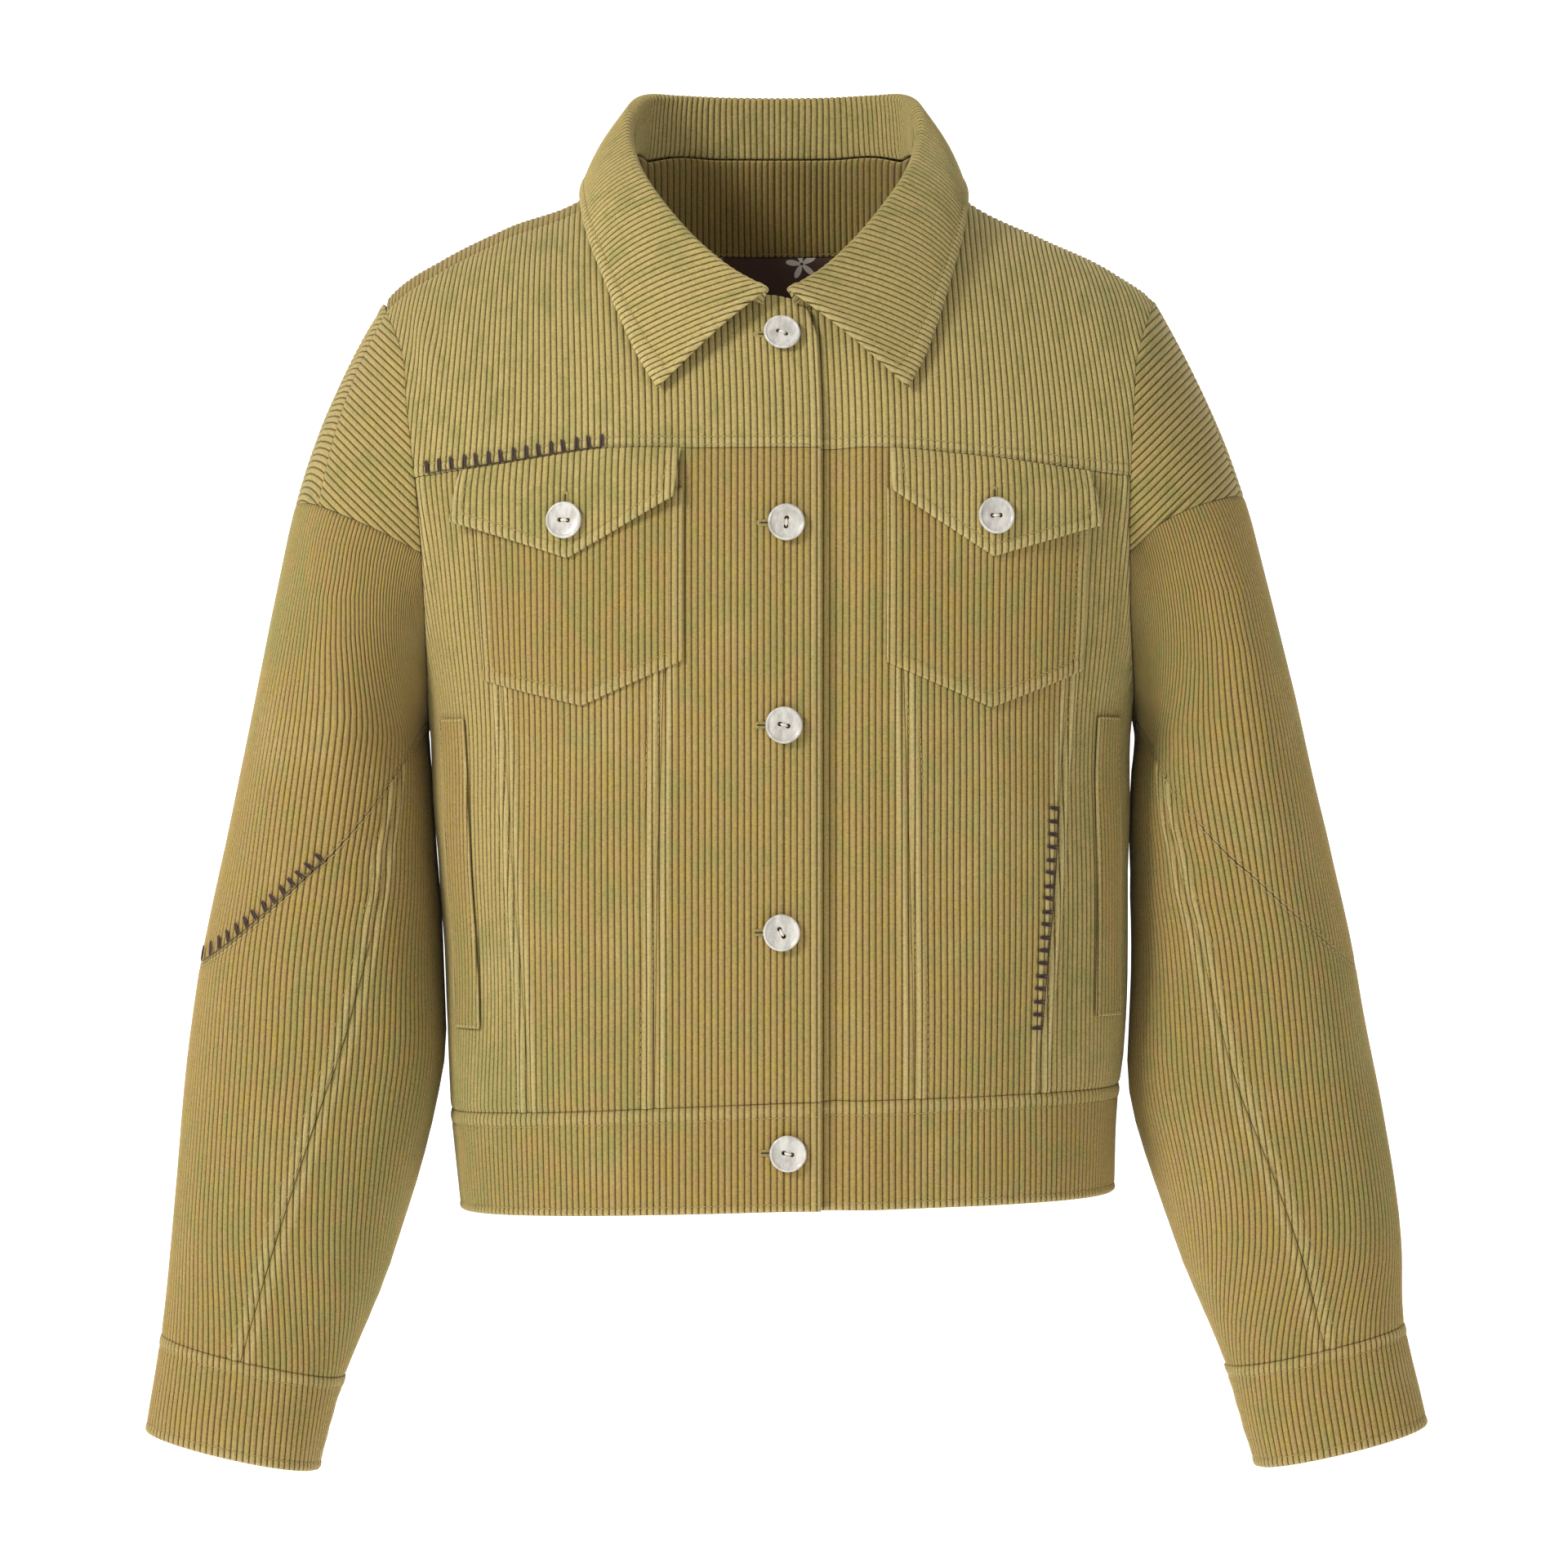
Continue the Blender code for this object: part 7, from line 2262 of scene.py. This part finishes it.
@dataclass
class Fastenings:
    """The buttons, their thread and their buttonholes.

    Each button has its x, its z, and the turn of its holes in degrees.
    """

    torso: Torso
    sewing: Sewing
    front: tuple[tuple[float, float, float], ...] = (
        (0.0010, -0.0810, -25), (0.0012, -0.1774, 85), (0.0000, -0.2786, -15),
        (-0.0012, -0.3823, -60), (0.0020, -0.4929, -12))
    flaps: dict[Side, tuple[float, float, float]] = field(default_factory=lambda: {
        Side.RIGHT: (-0.1090, -0.1761, -4), Side.LEFT: (0.1045, -0.1741, 3)})
    form: ButtonForm = field(default_factory=ButtonForm)
    front_lift: float = 0.0010
    flap_lift: float = 0.0007
    hole_shift: float = 0.0035
    hole_lift: float = 0.0002
    hole_length: float = 0.0192
    slit: float = 0.00045
    hole_reach: float = 0.00170
    hole_thread: float = 0.00062

    def spot(self, x: float, z: float, lift: float) -> tuple[Array, Array]:
        """A point over the front and the outward direction there."""
        point = np.array([[x, float(self.torso.y(arr(x), arr(z), Face.FRONT)), z]])
        normal = self.torso.normal(point)
        return (point + normal * (lift + DRAPE.height(point)[..., None]))[0], normal[0]

    def turned(self, normal: Array, degrees: float) -> tuple[Array, Array]:
        """Two directions on the cloth: level ones turned by degrees."""
        right = unit(np.cross(np.array((0, 0, 1.0)), normal))
        up = np.cross(normal, right)
        a = math.radians(degrees)
        across = right * math.cos(a) + up * math.sin(a)
        return across, np.cross(normal, across)

    def button(self, name: str, node: str, spot: tuple[Array, Array], degrees: float,
               base: bpy.types.Mesh, material: bpy.types.Material) -> bpy.types.Object:
        """Places one button, and sews it on.

        Args:
            name: The piece's name.
            node: The node that it replaces.
            spot: Its place and outward direction.
            degrees: The turn of its holes.
            base: The mesh of a button at the origin.
            material: The button's material.

        Returns:
            The button.
        """
        point, normal = spot
        across, up = self.turned(normal, degrees)
        mesh = base.copy()
        move_to(mesh, self.torso.lean(
            point + places_of(mesh) @ np.stack((across, up, normal))))
        mesh.materials.clear()
        mesh.materials.append(material)
        mesh.shade_smooth()
        mesh.set_sharp_from_angle(angle=math.radians(40))
        thing = link(name, mesh)
        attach(thing, "root")
        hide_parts(node)
        self.sew_on(point, normal, across, up)
        return thing

    def sew_on(self, point: Array, normal: Array, across: Array, up: Array) -> None:
        """The thread between a button's holes, and down through them to the cloth.

        Args:
            point: The cloth below the button's middle.
            normal: The outward direction there.
            across: The direction of the holes.
            up: The direction across them.
        """
        face = point + normal * (0.70 * self.form.height)
        ends = [face + across * sign * self.form.apart / 2 for sign in (-1, 1)]
        inner = [end + across * sign * -0.00045 for sign, end in zip((-1, 1), ends)]
        strand, shank = 0.00052, 0.00100
        for shift in (-0.00030, 0.0, 0.00030):
            middle = 0.5 * (ends[0] + ends[1]) + up * shift + normal * 0.00062
            for end in inner:
                foot = end + up * shift * 0.8 - normal * 0.00015
                self.sewing.add("button_thread", foot[None], middle[None], normal[None], strand)
        for end in inner:
            self.sewing.add("button_thread", (end - normal * 0.0008)[None],
                            (end - normal * 0.0042)[None], up[None], shank)

    def hole(self, centre: tuple[Array, Array], degrees: float) -> None:
        """A worked buttonhole: close stitches round its slit, and a dark brown strand down it as
        painted shade in the opening.

        Args:
            centre: The place of its middle and the outward direction there.
            degrees: The turn of the slit.
        """
        point, normal = centre
        length, reach = self.hole_length, self.hole_reach
        along, side = self.turned(normal, degrees)
        at = np.linspace(-length / 2, length / 2, 40)
        turn = np.radians(np.linspace(-80, 80, 9))[:, None]
        lift = normal * 0.00022
        for sign in (-1, 1):
            inner = point + along * at[:, None] + side * sign * self.slit + lift
            outer = point + along * at[:, None] + side * sign * reach + lift * 0.2
            way = along * sign * np.cos(turn) + side * np.sin(turn)
            end = point + along * sign * length / 2 + lift
            for start, stop in ((inner, outer), (end + way * 0.0004, end + way * reach)):
                self.sewing.add("tonal_thread", start, stop, np.tile(normal, (len(start), 1)),
                                self.hole_thread)
        # A dark brown strand along the slit: painted shade in its opening.
        self.sewing.add("brown_thread", (point - along * length / 2 + lift * 0.6)[None],
                        (point + along * length / 2 + lift * 0.6)[None], normal[None], 0.0013,
                        0.0005)

    def build(self, materials: dict[str, bpy.types.Material]) -> None:
        """Builds the seven buttons and their buttonholes.

        Args:
            materials: The materials by name.
        """
        base, horn = self.form.mesh(), materials["pale_horn_button"]
        for number, (x, z, turn) in enumerate(self.front, start=1):
            self.button(f"front_button_{number}", f"button_{number}",
                        self.spot(x, z, self.front_lift), turn, base, horn)
            self.hole(self.spot(x - self.hole_shift, z, self.hole_lift), 0.0)
        lift = 2 * LAY + BodyPieces.pocket_wall + BodyPieces.flap_wall
        for side, (x, z, turn) in self.flaps.items():
            self.button(f"flap_button_{side.word}", f"button_flap_{side.word}",
                        self.spot(x, z, lift + self.flap_lift), turn, base, horn)
            self.hole(self.spot(x, z + self.hole_shift, lift), 90.0)


# ---------------------------------------------------------------- finishes
class Graph:
    """A small writer of shader nodes for one material."""

    def __init__(self, name: str) -> None:
        """Starts a material with a Principled shader."""
        self.material = bpy.data.materials.new(name)
        self.material.use_nodes = True
        self.tree = self.material.node_tree
        self.shader = self.tree.nodes["Principled BSDF"]

    def node(self, kind: str, **inputs: object) -> bpy.types.Node:
        """Adds a node.

        Args:
            kind: The node's type name.
            inputs: Settings (lower case) of the node, and values or links of its sockets, by
                names with _ for spaces.

        Returns:
            The node.
        """
        made = self.tree.nodes.new(kind)
        for key, value in inputs.items():
            if key.islower() and hasattr(made, key):
                setattr(made, key, value)
            else:
                self.plug(made.inputs[key.replace("_", " ")], value)
        return made

    def plug(self, socket: bpy.types.NodeSocket, value: object) -> None:
        """Links a socket into another, or sets its value."""
        if isinstance(value, bpy.types.NodeSocket):
            self.tree.links.new(value, socket)
        else:
            socket.default_value = value

    def finish(self, **inputs: object) -> bpy.types.Material:
        """Sets the shader's sockets, by names with _ for spaces, and gives the material."""
        for key, value in inputs.items():
            self.plug(self.shader.inputs[key.replace("_", " ")], value)
        return self.material

    def math(self, operation: str, *values: object, clamp: bool = False) -> bpy.types.NodeSocket:
        """One step of arithmetic."""
        made = self.tree.nodes.new("ShaderNodeMath")
        made.operation, made.use_clamp = operation, clamp
        for socket, value in zip(made.inputs, values):
            self.plug(socket, value)
        return made.outputs[0]

    def times(self, first: object, second: object) -> bpy.types.NodeSocket:
        """The product of two values."""
        return self.math("MULTIPLY", first, second)

    def plus(self, first: object, second: object) -> bpy.types.NodeSocket:
        """The sum of two values."""
        return self.math("ADD", first, second)

    def ramp(self, value: object, low: float, high: float) -> bpy.types.NodeSocket:
        """0 below low, 1 above high, smooth between."""
        made = self.node("ShaderNodeMapRange", interpolation_type="SMOOTHSTEP", Value=value)
        made.inputs["From Min"].default_value = low
        made.inputs["From Max"].default_value = high
        return made.outputs[0]

    def mix(self, part: object, first: object, second: object,
            blend: str = "MIX") -> bpy.types.NodeSocket:
        """Mixes two colours."""
        made = self.tree.nodes.new("ShaderNodeMix")
        made.data_type, made.blend_type = "RGBA", blend
        self.plug(made.inputs[0], part)
        self.plug(made.inputs[6], first)
        self.plug(made.inputs[7], second)
        return made.outputs[2]

    def noise(self, vector: object, scale: float, detail: float = 3.0,
              rough: float = 0.55) -> bpy.types.NodeSocket:
        """Cloudy noise from 0 to 1."""
        return self.node("ShaderNodeTexNoise", Vector=vector, Scale=scale, Detail=detail,
                         Roughness=rough).outputs[0]

    def attribute(self, name: str) -> bpy.types.NodeSocket:
        """A point attribute of the piece."""
        return self.node("ShaderNodeAttribute", attribute_name=name).outputs["Vector"]

    def place(self) -> bpy.types.NodeSocket:
        """Object coordinates."""
        return self.node("ShaderNodeTexCoord").outputs["Object"]

    def scaled(self, vector: object, scale: tuple[float, float, float]) -> bpy.types.NodeSocket:
        """Coordinates stretched by axis."""
        return self.vectors("MULTIPLY", vector, scale)

    def vectors(self, operation: str, first: object, second: object) -> bpy.types.NodeSocket:
        """One step of arithmetic with vectors."""
        made = self.tree.nodes.new("ShaderNodeVectorMath")
        made.operation = operation
        self.plug(made.inputs[0], first)
        self.plug(made.inputs[1], second)
        return made.outputs[0]

    def bump(self, height: object, strength: float, distance: float) -> bpy.types.NodeSocket:
        """A bump of a height from 0 to 1 times the distance in metres."""
        return self.node("ShaderNodeBump", Height=height, Strength=strength,
                         Distance=distance).outputs[0]


Colour = tuple[float, float, float]


def rgba(colour: Colour) -> tuple[float, float, float, float]:
    """A colour with its alpha."""
    return (*colour, 1.0)


@dataclass(frozen=True)
class Corduroy:
    """Olive-mustard corduroy: brushed ribs over a darker ground, darkened further as painted shade
    in the grooves.
    """

    name: str = "corduroy"
    rib: Colour = (0.285, 0.196, 0.062)
    # The ground between the ribs: its darker base weave, darkened further as painted shade in the
    # grooves.
    ground: Colour = (0.078, 0.047, 0.009)
    green: Colour = (0.215, 0.205, 0.062)
    tan: Colour = (0.298, 0.200, 0.073)
    yellow: Colour = (0.300, 0.222, 0.042)
    # The lighter, greener colour that a piece's tone mixes in: partly the cloth's own tone, partly
    # a painted highlight.
    light: Colour = (0.375, 0.312, 0.120)
    # Colour of rubbed pile at folded edges, and of the painted highlight on welts and stitch
    # ridges.
    worn: Colour = (0.440, 0.362, 0.165)
    pitch: float = WALES.pitch

    def build(self) -> bpy.types.Material:
        """Makes the material."""
        g = Graph(self.name)
        flat = g.attribute("flat")
        across = g.node("ShaderNodeSeparateXYZ", Vector=flat).outputs[0]
        # Second attribute: rubbed pile with painted highlight, tone with painted highlight, and
        # painted light and shade by collar leaf.
        worn, tone, painted_leaf_light = g.node("ShaderNodeSeparateXYZ", Vector=g.attribute("wear")).outputs
        wave = g.math("ABSOLUTE", g.math("SINE", g.times(across, math.pi / self.pitch)))
        # Fine noise of the pile itself.
        nap = g.noise(g.scaled(flat, (1.0, 0.35, 1.0)), 2600.0, 2.0)
        ragged = g.plus(wave, g.times(g.math("SUBTRACT", nap, 0.5), 0.42))
        rib = g.ramp(ragged, 0.10, 0.58)
        streak, second, third = (
            g.noise(g.scaled(flat, (1.0, length, 1.0)), scale, 4.0, 0.68)
            for length, scale in ((0.50, 240.0), (0.42, 150.0), (0.50, 95.0)))
        cloud = g.noise(g.place(), 16.0, 4.0, 0.6)
        patch = g.noise(g.place(), 7.0, 2.0)
        tint = g.mix(g.ramp(streak, 0.42, 0.62), rgba(self.rib), rgba(self.tan))
        tint = g.mix(g.times(g.ramp(second, 0.46, 0.66), 0.62), tint, rgba(self.yellow))
        # Mix towards the lighter colour by the piece's tone: partly the cloth's tone, partly a
        # painted highlight.
        tint = g.mix(tone, tint, rgba(self.light))
        greener = g.plus(third, g.times(g.math("SUBTRACT", patch, 0.5), 0.6))
        tint = g.mix(g.times(g.ramp(greener, 0.44, 0.68), 0.66), tint, rgba(self.green))
        # Rubbed pile and painted highlight from the piece, plus random rubbed patches.
        rubbed_and_highlit = g.plus(worn, g.times(g.ramp(cloud, 0.50, 0.80), 0.30))
        tint = g.mix(g.math("MULTIPLY", rubbed_and_highlit, 0.75, clamp=True), tint, rgba(self.worn))
        # Grooves take the ground colour: the base weave, with painted shade.
        colour = g.mix(rib, rgba(self.ground), tint)
        tuft = g.ramp(g.noise(g.scaled(flat, (0.55, 1.0, 1.0)), 850.0, 2.0), 0.34, 0.66)
        nub = g.ramp(g.noise(g.scaled(flat, (1.0, 0.75, 1.0)), 420.0, 3.0, 0.6), 0.34, 0.66)
        fleck = g.plus(g.plus(g.times(nap, 0.34), g.times(tuft, 0.17)), g.times(nub, 0.10))
        fleck = g.plus(fleck, g.plus(0.69, g.times(cloud, 0.06)))
        # Brighten or darken by the painted light and shade of the collar's leaves.
        fleck = g.times(fleck, g.plus(1.0, painted_leaf_light))
        grey = g.node("ShaderNodeCombineColor", Red=fleck, Green=fleck, Blue=fleck).outputs[0]
        height = g.plus(g.plus(g.times(nap, 0.50), g.times(rib, 0.45)), g.times(tuft, 0.32))
        return g.finish(
            Base_Color=g.mix(1.0, colour, grey, "MULTIPLY"), Roughness=0.88,
            Specular_IOR_Level=0.18, Sheen_Weight=0.30, Sheen_Roughness=0.45,
            Sheen_Tint=rgba((0.90, 0.80, 0.50)), Normal=g.bump(height, 0.70, 0.00050))


@dataclass(frozen=True)
class PrintedLining:
    """Dark brown cotton with small scattered pale flowers."""

    name: str = "printed_lining"
    ground: Colour = (0.055, 0.022, 0.016)
    ground_light: Colour = (0.090, 0.040, 0.028)
    petal: Colour = (0.62, 0.56, 0.50)
    leaf: Colour = (0.42, 0.38, 0.33)

    def build(self) -> bpy.types.Material:
        """Makes the material."""
        g = Graph(self.name)
        flat = g.attribute("flat")
        colour = g.mix(g.noise(flat, 60.0, 3.0), rgba(self.ground), rgba(self.ground_light))
        for scale, petals, size, ink in (
                (34.0, 5.0, 0.30, self.petal), (52.0, 2.0, 0.26, self.leaf)):
            cells = g.node("ShaderNodeTexVoronoi", voronoi_dimensions="2D", Vector=flat,
                           Scale=scale, Randomness=0.8)
            own = g.node("ShaderNodeSeparateColor", Color=cells.outputs["Color"])
            offset = g.vectors("SUBTRACT", g.scaled(flat, (scale,) * 3),
                               g.scaled(cells.outputs["Position"], (scale,) * 3))
            axes = g.node("ShaderNodeSeparateXYZ", Vector=offset)
            angle = g.math("ARCTAN2", axes.outputs[1], axes.outputs[0])
            turned = g.plus(g.times(angle, petals), g.times(own.outputs[0], 6.28))
            lobe = g.times(g.plus(1.35, g.math("COSINE", turned)), 0.42 * size)
            inside = g.math("LESS_THAN", cells.outputs["Distance"], lobe)
            hole = g.math("GREATER_THAN", cells.outputs["Distance"], 0.10 * size)
            kept = g.math("LESS_THAN", own.outputs[1], 0.55)
            colour = g.mix(g.times(g.times(inside, hole), kept), colour, rgba(ink))
        weave = g.noise(flat, 2400.0, 1.0)
        return g.finish(Base_Color=colour, Roughness=0.80, Normal=g.bump(weave, 0.25, 0.0002))


@dataclass(frozen=True)
class Thread:
    """Sewing thread."""

    name: str
    colour: Colour

    def build(self) -> bpy.types.Material:
        """Makes the material."""
        g = Graph(self.name)
        twist = g.noise(g.place(), 1800.0, 2.0)
        dark = tuple(0.72 * part for part in self.colour)
        return g.finish(Base_Color=g.mix(twist, rgba(dark), rgba(self.colour)), Roughness=0.62,
                        Normal=g.bump(twist, 0.35, 0.0002))


@dataclass(frozen=True)
class HornButton:
    """Pale grey mottled button with a bright turned rim."""

    name: str = "pale_horn_button"
    light: Colour = (0.52, 0.50, 0.455)
    dark: Colour = (0.35, 0.33, 0.29)
    vein: Colour = (0.62, 0.60, 0.56)

    def build(self) -> bpy.types.Material:
        """Makes the material."""
        g = Graph(self.name)
        place = g.place()
        cloud = g.noise(g.scaled(place, (1.0, 1.0, 0.4)), 230.0, 4.0, 0.6)
        vein = g.noise(g.scaled(place, (1.0, 1.0, 2.5)), 420.0, 3.0, 0.7)
        base = g.mix(g.ramp(cloud, 0.36, 0.64), rgba(self.dark), rgba(self.light))
        veined = g.mix(g.times(g.ramp(vein, 0.55, 0.75), 0.35), base, rgba(self.vein))
        return g.finish(
            Base_Color=veined, Roughness=g.plus(0.22, g.times(vein, 0.16)), Coat_Weight=0.35,
            Coat_Roughness=0.12, Normal=g.bump(cloud, 0.15, 0.0003))


# ---------------------------------------------------------------- studio
@dataclass
class Studio:
    """Camera, lights, floor and world."""

    camera_at: tuple[float, float, float] = (0.0, -2.8, -0.308)
    lens: float = 122.8
    floor_at: float = -0.90
    middle: tuple[float, float, float] = (0.0, 0.0, -0.3)
    ambient: float = 0.40
    glow: float = 0.70

    def build(self) -> None:
        """Sets the studio up round the hanging jacket."""
        self.camera()
        self.floor()
        self.world()
        self.light("key", (-2.2, -2.1, 1.2), 0.9, 92.0, (1.0, 0.985, 0.96))
        self.light("fill", (1.9, -2.6, 0.2), 2.0, 9.0, (0.97, 0.98, 1.0))
        self.light("top", (0.0, -0.2, 2.3), 1.4, 14.0, (1.0, 1.0, 1.0))
        bpy.context.scene.view_settings.view_transform = "Standard"

    def camera(self) -> None:
        """The camera at eye height with the jacket's middle."""
        data = bpy.data.cameras.new("camera")
        data.lens, data.sensor_width = self.lens, 36.0
        data.clip_end = 60.0
        thing = link("camera", data)
        thing.location = self.camera_at
        thing.rotation_euler = (math.pi / 2, 0, 0)
        bpy.context.scene.camera = thing

    def floor(self) -> None:
        """A pale floor that rises behind into a wall."""
        bm = bmesh.new()
        bmesh.ops.create_grid(bm, x_segments=1, y_segments=1, size=7.0)
        bmesh.ops.translate(bm, verts=bm.verts, vec=(0, -2.0, self.floor_at))
        back = [e for e in bm.edges if all(v.co.y > 4.9 for v in e.verts)]
        made = bmesh.ops.extrude_edge_only(bm, edges=back)["geom"]
        top = [v for v in made if isinstance(v, bmesh.types.BMVert)]
        bmesh.ops.translate(bm, verts=top, vec=(0, 0, 7.0))
        bend = [e for e in bm.edges if all(v.co.y > 4.9 and v.co.z < 0 for v in e.verts)]
        bmesh.ops.bevel(bm, geom=bend, offset=2.2, segments=14, profile=0.5, affect="EDGES",
                        material=-1)
        mesh = mesh_of(bm, "backdrop")
        mesh.shade_smooth()
        g = Graph("pale_backdrop")
        grain = g.mix(g.noise(g.place(), 3.0, 2.0), rgba((0.90,) * 3), rgba((0.93,) * 3))
        mesh.materials.append(g.finish(
            Base_Color=grain, Roughness=0.9, Emission_Color=rgba((1.0,) * 3),
            Emission_Strength=self.glow))
        thing = link("backdrop", mesh)

    def world(self) -> None:
        """Even pale light from everywhere."""
        world = bpy.data.worlds.new("studio")
        world.use_nodes = True
        ground = world.node_tree.nodes["Background"]
        ground.inputs[0].default_value = (1.0, 1.0, 1.0, 1.0)
        ground.inputs[1].default_value = self.ambient
        bpy.context.scene.world = world

    def light(self, name: str, place: tuple[float, float, float], size: float, power: float,
              colour: Colour) -> None:
        """A soft square light aimed at the jacket's middle."""
        data = bpy.data.lights.new(name, "AREA")
        data.size, data.energy, data.color = size, power, colour
        thing = link(name, data)
        thing.location = place
        aim = Vector(self.middle) - Vector(place)
        thing.rotation_euler = aim.to_track_quat("-Z", "Y").to_euler()


# ---------------------------------------------------------------- the jacket
class Jacket:
    """Builds and dresses every piece."""

    def __init__(self) -> None:
        """Works out the forms."""
        self.torso = Torso(BodyCut())
        sizes = SleeveCut()
        self.sleeves = {side: Sleeve(side, self.torso, sizes) for side in Side}
        self.body = BodyPieces(self.torso, self.sleeves)
        self.materials = {
            finish.name: finish.build()
            for finish in (Corduroy(), PrintedLining(), HornButton(),
                           Thread("tonal_thread", (0.36, 0.27, 0.085)),
                           Thread("brown_thread", (0.036, 0.014, 0.011)),
                           Thread("button_thread", (0.74, 0.67, 0.54)))
        }
        self.sewing = Sewing()

    def ridge_turn(self, side: Side) -> float:
        """Degrees from the armhole's top to the shoulder seam."""
        down = arr(self.torso.cut.seam_forward(side) + SEAM / 2)
        x = arr(side.value * 0.205)
        for _ in range(20):
            z = self.torso.at_profile(x, down, Face.FRONT)[..., 2]
            x = side.value * self.sleeves[side].armhole_x(z)
        return self.sleeves[side].turn_of(self.torso.at_profile(x, down, Face.FRONT))

    def dress(self, panel: Panel, material: str) -> bpy.types.Object:
        """Builds a panel, dresses it, sews its rows of stitches and enters it in the frame.

        Args:
            panel: The piece.
            material: Its material's name.

        Returns:
            The piece's object.
        """
        thing = panel.build()
        move_to(thing.data, self.torso.lean(places_of(thing.data)))
        thing.data.update()
        thing.data.materials.append(self.materials[material])
        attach(thing, "root")
        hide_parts(*panel.nodes)
        width, length, area = panel.cut_size()
        for border, distances in panel.sewn.items():
            for distance in distances:
                self.sewing.run("tonal_thread", panel.line(border, distance, panel.mitre),
                                lift=-0.00018)
        log.info("%s: %d triangles, cut %.0f x %.0f mm", panel.name,
                 len(thing.data.loop_triangles), 1000 * width, 1000 * length)
        return thing

    def blanket(self, panel: Panel, border: str, ends: tuple[tuple[float, float], ...],
                count: int, reach: float = 0.0072, over: float = 0.0009) -> None:
        """Brown blanket stitches beside a border: bars of two strands, joined at the border.

        Args:
            panel: The piece that they are on.
            border: Its border.
            ends: Where they begin and end, as x and z, before the body's lean.
            count: How many bars.
            reach: Length of a bar.
            over: Height of the bars' middle over the cloth.
        """
        strands, strand, joint = (-0.00040, 0.00044), 0.00110, 0.00050
        near, ups = panel.line(border, 0.0006)
        far, _ = panel.line(border, reach)
        behind = 0.2 * (near[:, 1] > 0.02)
        first, last = sorted(
            int(np.argmin(np.hypot(near[:, 0] - x, near[:, 2] - z) + behind)) for x, z in ends)
        part, up = near[first:last + 1], ups[first:last + 1]
        seen = part[:, ::2]
        s = run_length(seen)
        at = np.linspace(0, s[-1], count)
        foot, up = between(at, s, part), unit(between(at, s, up))
        gaps = np.linalg.norm(far[None] - foot[:, None], axis=-1)
        top = far[np.argmin(gaps, axis=1)]
        slip = unit(np.gradient(foot, axis=0))
        top = top + slip * 0.0004 * np.sin(2.7 * np.arange(count))[:, None]
        lift = up * over
        for shift in strands:
            aside = slip * shift
            self.sewing.add("brown_thread", foot + aside * 1.6 + lift, top + aside + lift, up,
                            strand)
        base = foot + lift * 0.6
        self.sewing.add("brown_thread", base[:-1], base[1:], up[:-1], joint)
        log.info("%s: %d blanket stitches over %.0f mm", panel.name, count, 1000 * s[-1])

    def build(self) -> None:
        """Builds the whole jacket."""
        panels = []
        for side in Side:
            panels += self.body.fronts(side)
            panels += [self.body.yoke(side), self.body.pocket(side), self.body.flap(side),
                       self.body.welt(side)]
            own = SleevePieces(self.sleeves[side])
            panels += [own.upper(), *own.lower(), own.cuff(), *own.caps(self.ridge_turn(side))]
        panels += [self.body.back(), *self.body.waistband()]
        panels += [CollarPiece(CollarForm(self.torso, CollarCut())).panel()]
        facing, lining = self.body.inner_back()
        for panel in (*panels, facing):
            self.dress(panel, "corduroy")
        self.dress(lining, "printed_lining")
        by_name = {panel.name: panel for panel in panels}
        self.blanket(by_name["yoke_front_right"], "low",
                     ((-0.1800, -0.1540), (-0.0912, -0.1400)), 15)
        self.blanket(by_name["middle_front_left"], "right",
                     ((0.1356, -0.3205), (0.1250, -0.4310)), 18, 0.0074, 0.0010)
        self.blanket(by_name["upper_sleeve_right"], "low",
                     ((-0.2415, -0.3440), (-0.3050, -0.4020)), 15, 0.0088, 0.0014)
        Fastenings(self.torso, self.sewing).build(self.materials)
        for thread, name in (("tonal_thread", "seam_stitches"), ("brown_thread", "brown_stitches"),
                             ("button_thread", "button_stitches")):
            thing = self.sewing.build(thread, name, self.materials[thread], self.torso)
            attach(thing, "root")


def main() -> None:
    """Builds the jacket and its studio."""
    logging.basicConfig(level=logging.INFO, format="%(message)s")
    before = set(bpy.data.objects)
    Jacket().build()
    total = sum(len(thing.data.loop_triangles) for thing in bpy.data.objects
                if thing.type == "MESH" and thing not in before)
    log.info("%d triangles in all", total)
    Studio().build()


if __name__ == "__main__":
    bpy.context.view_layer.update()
    main()
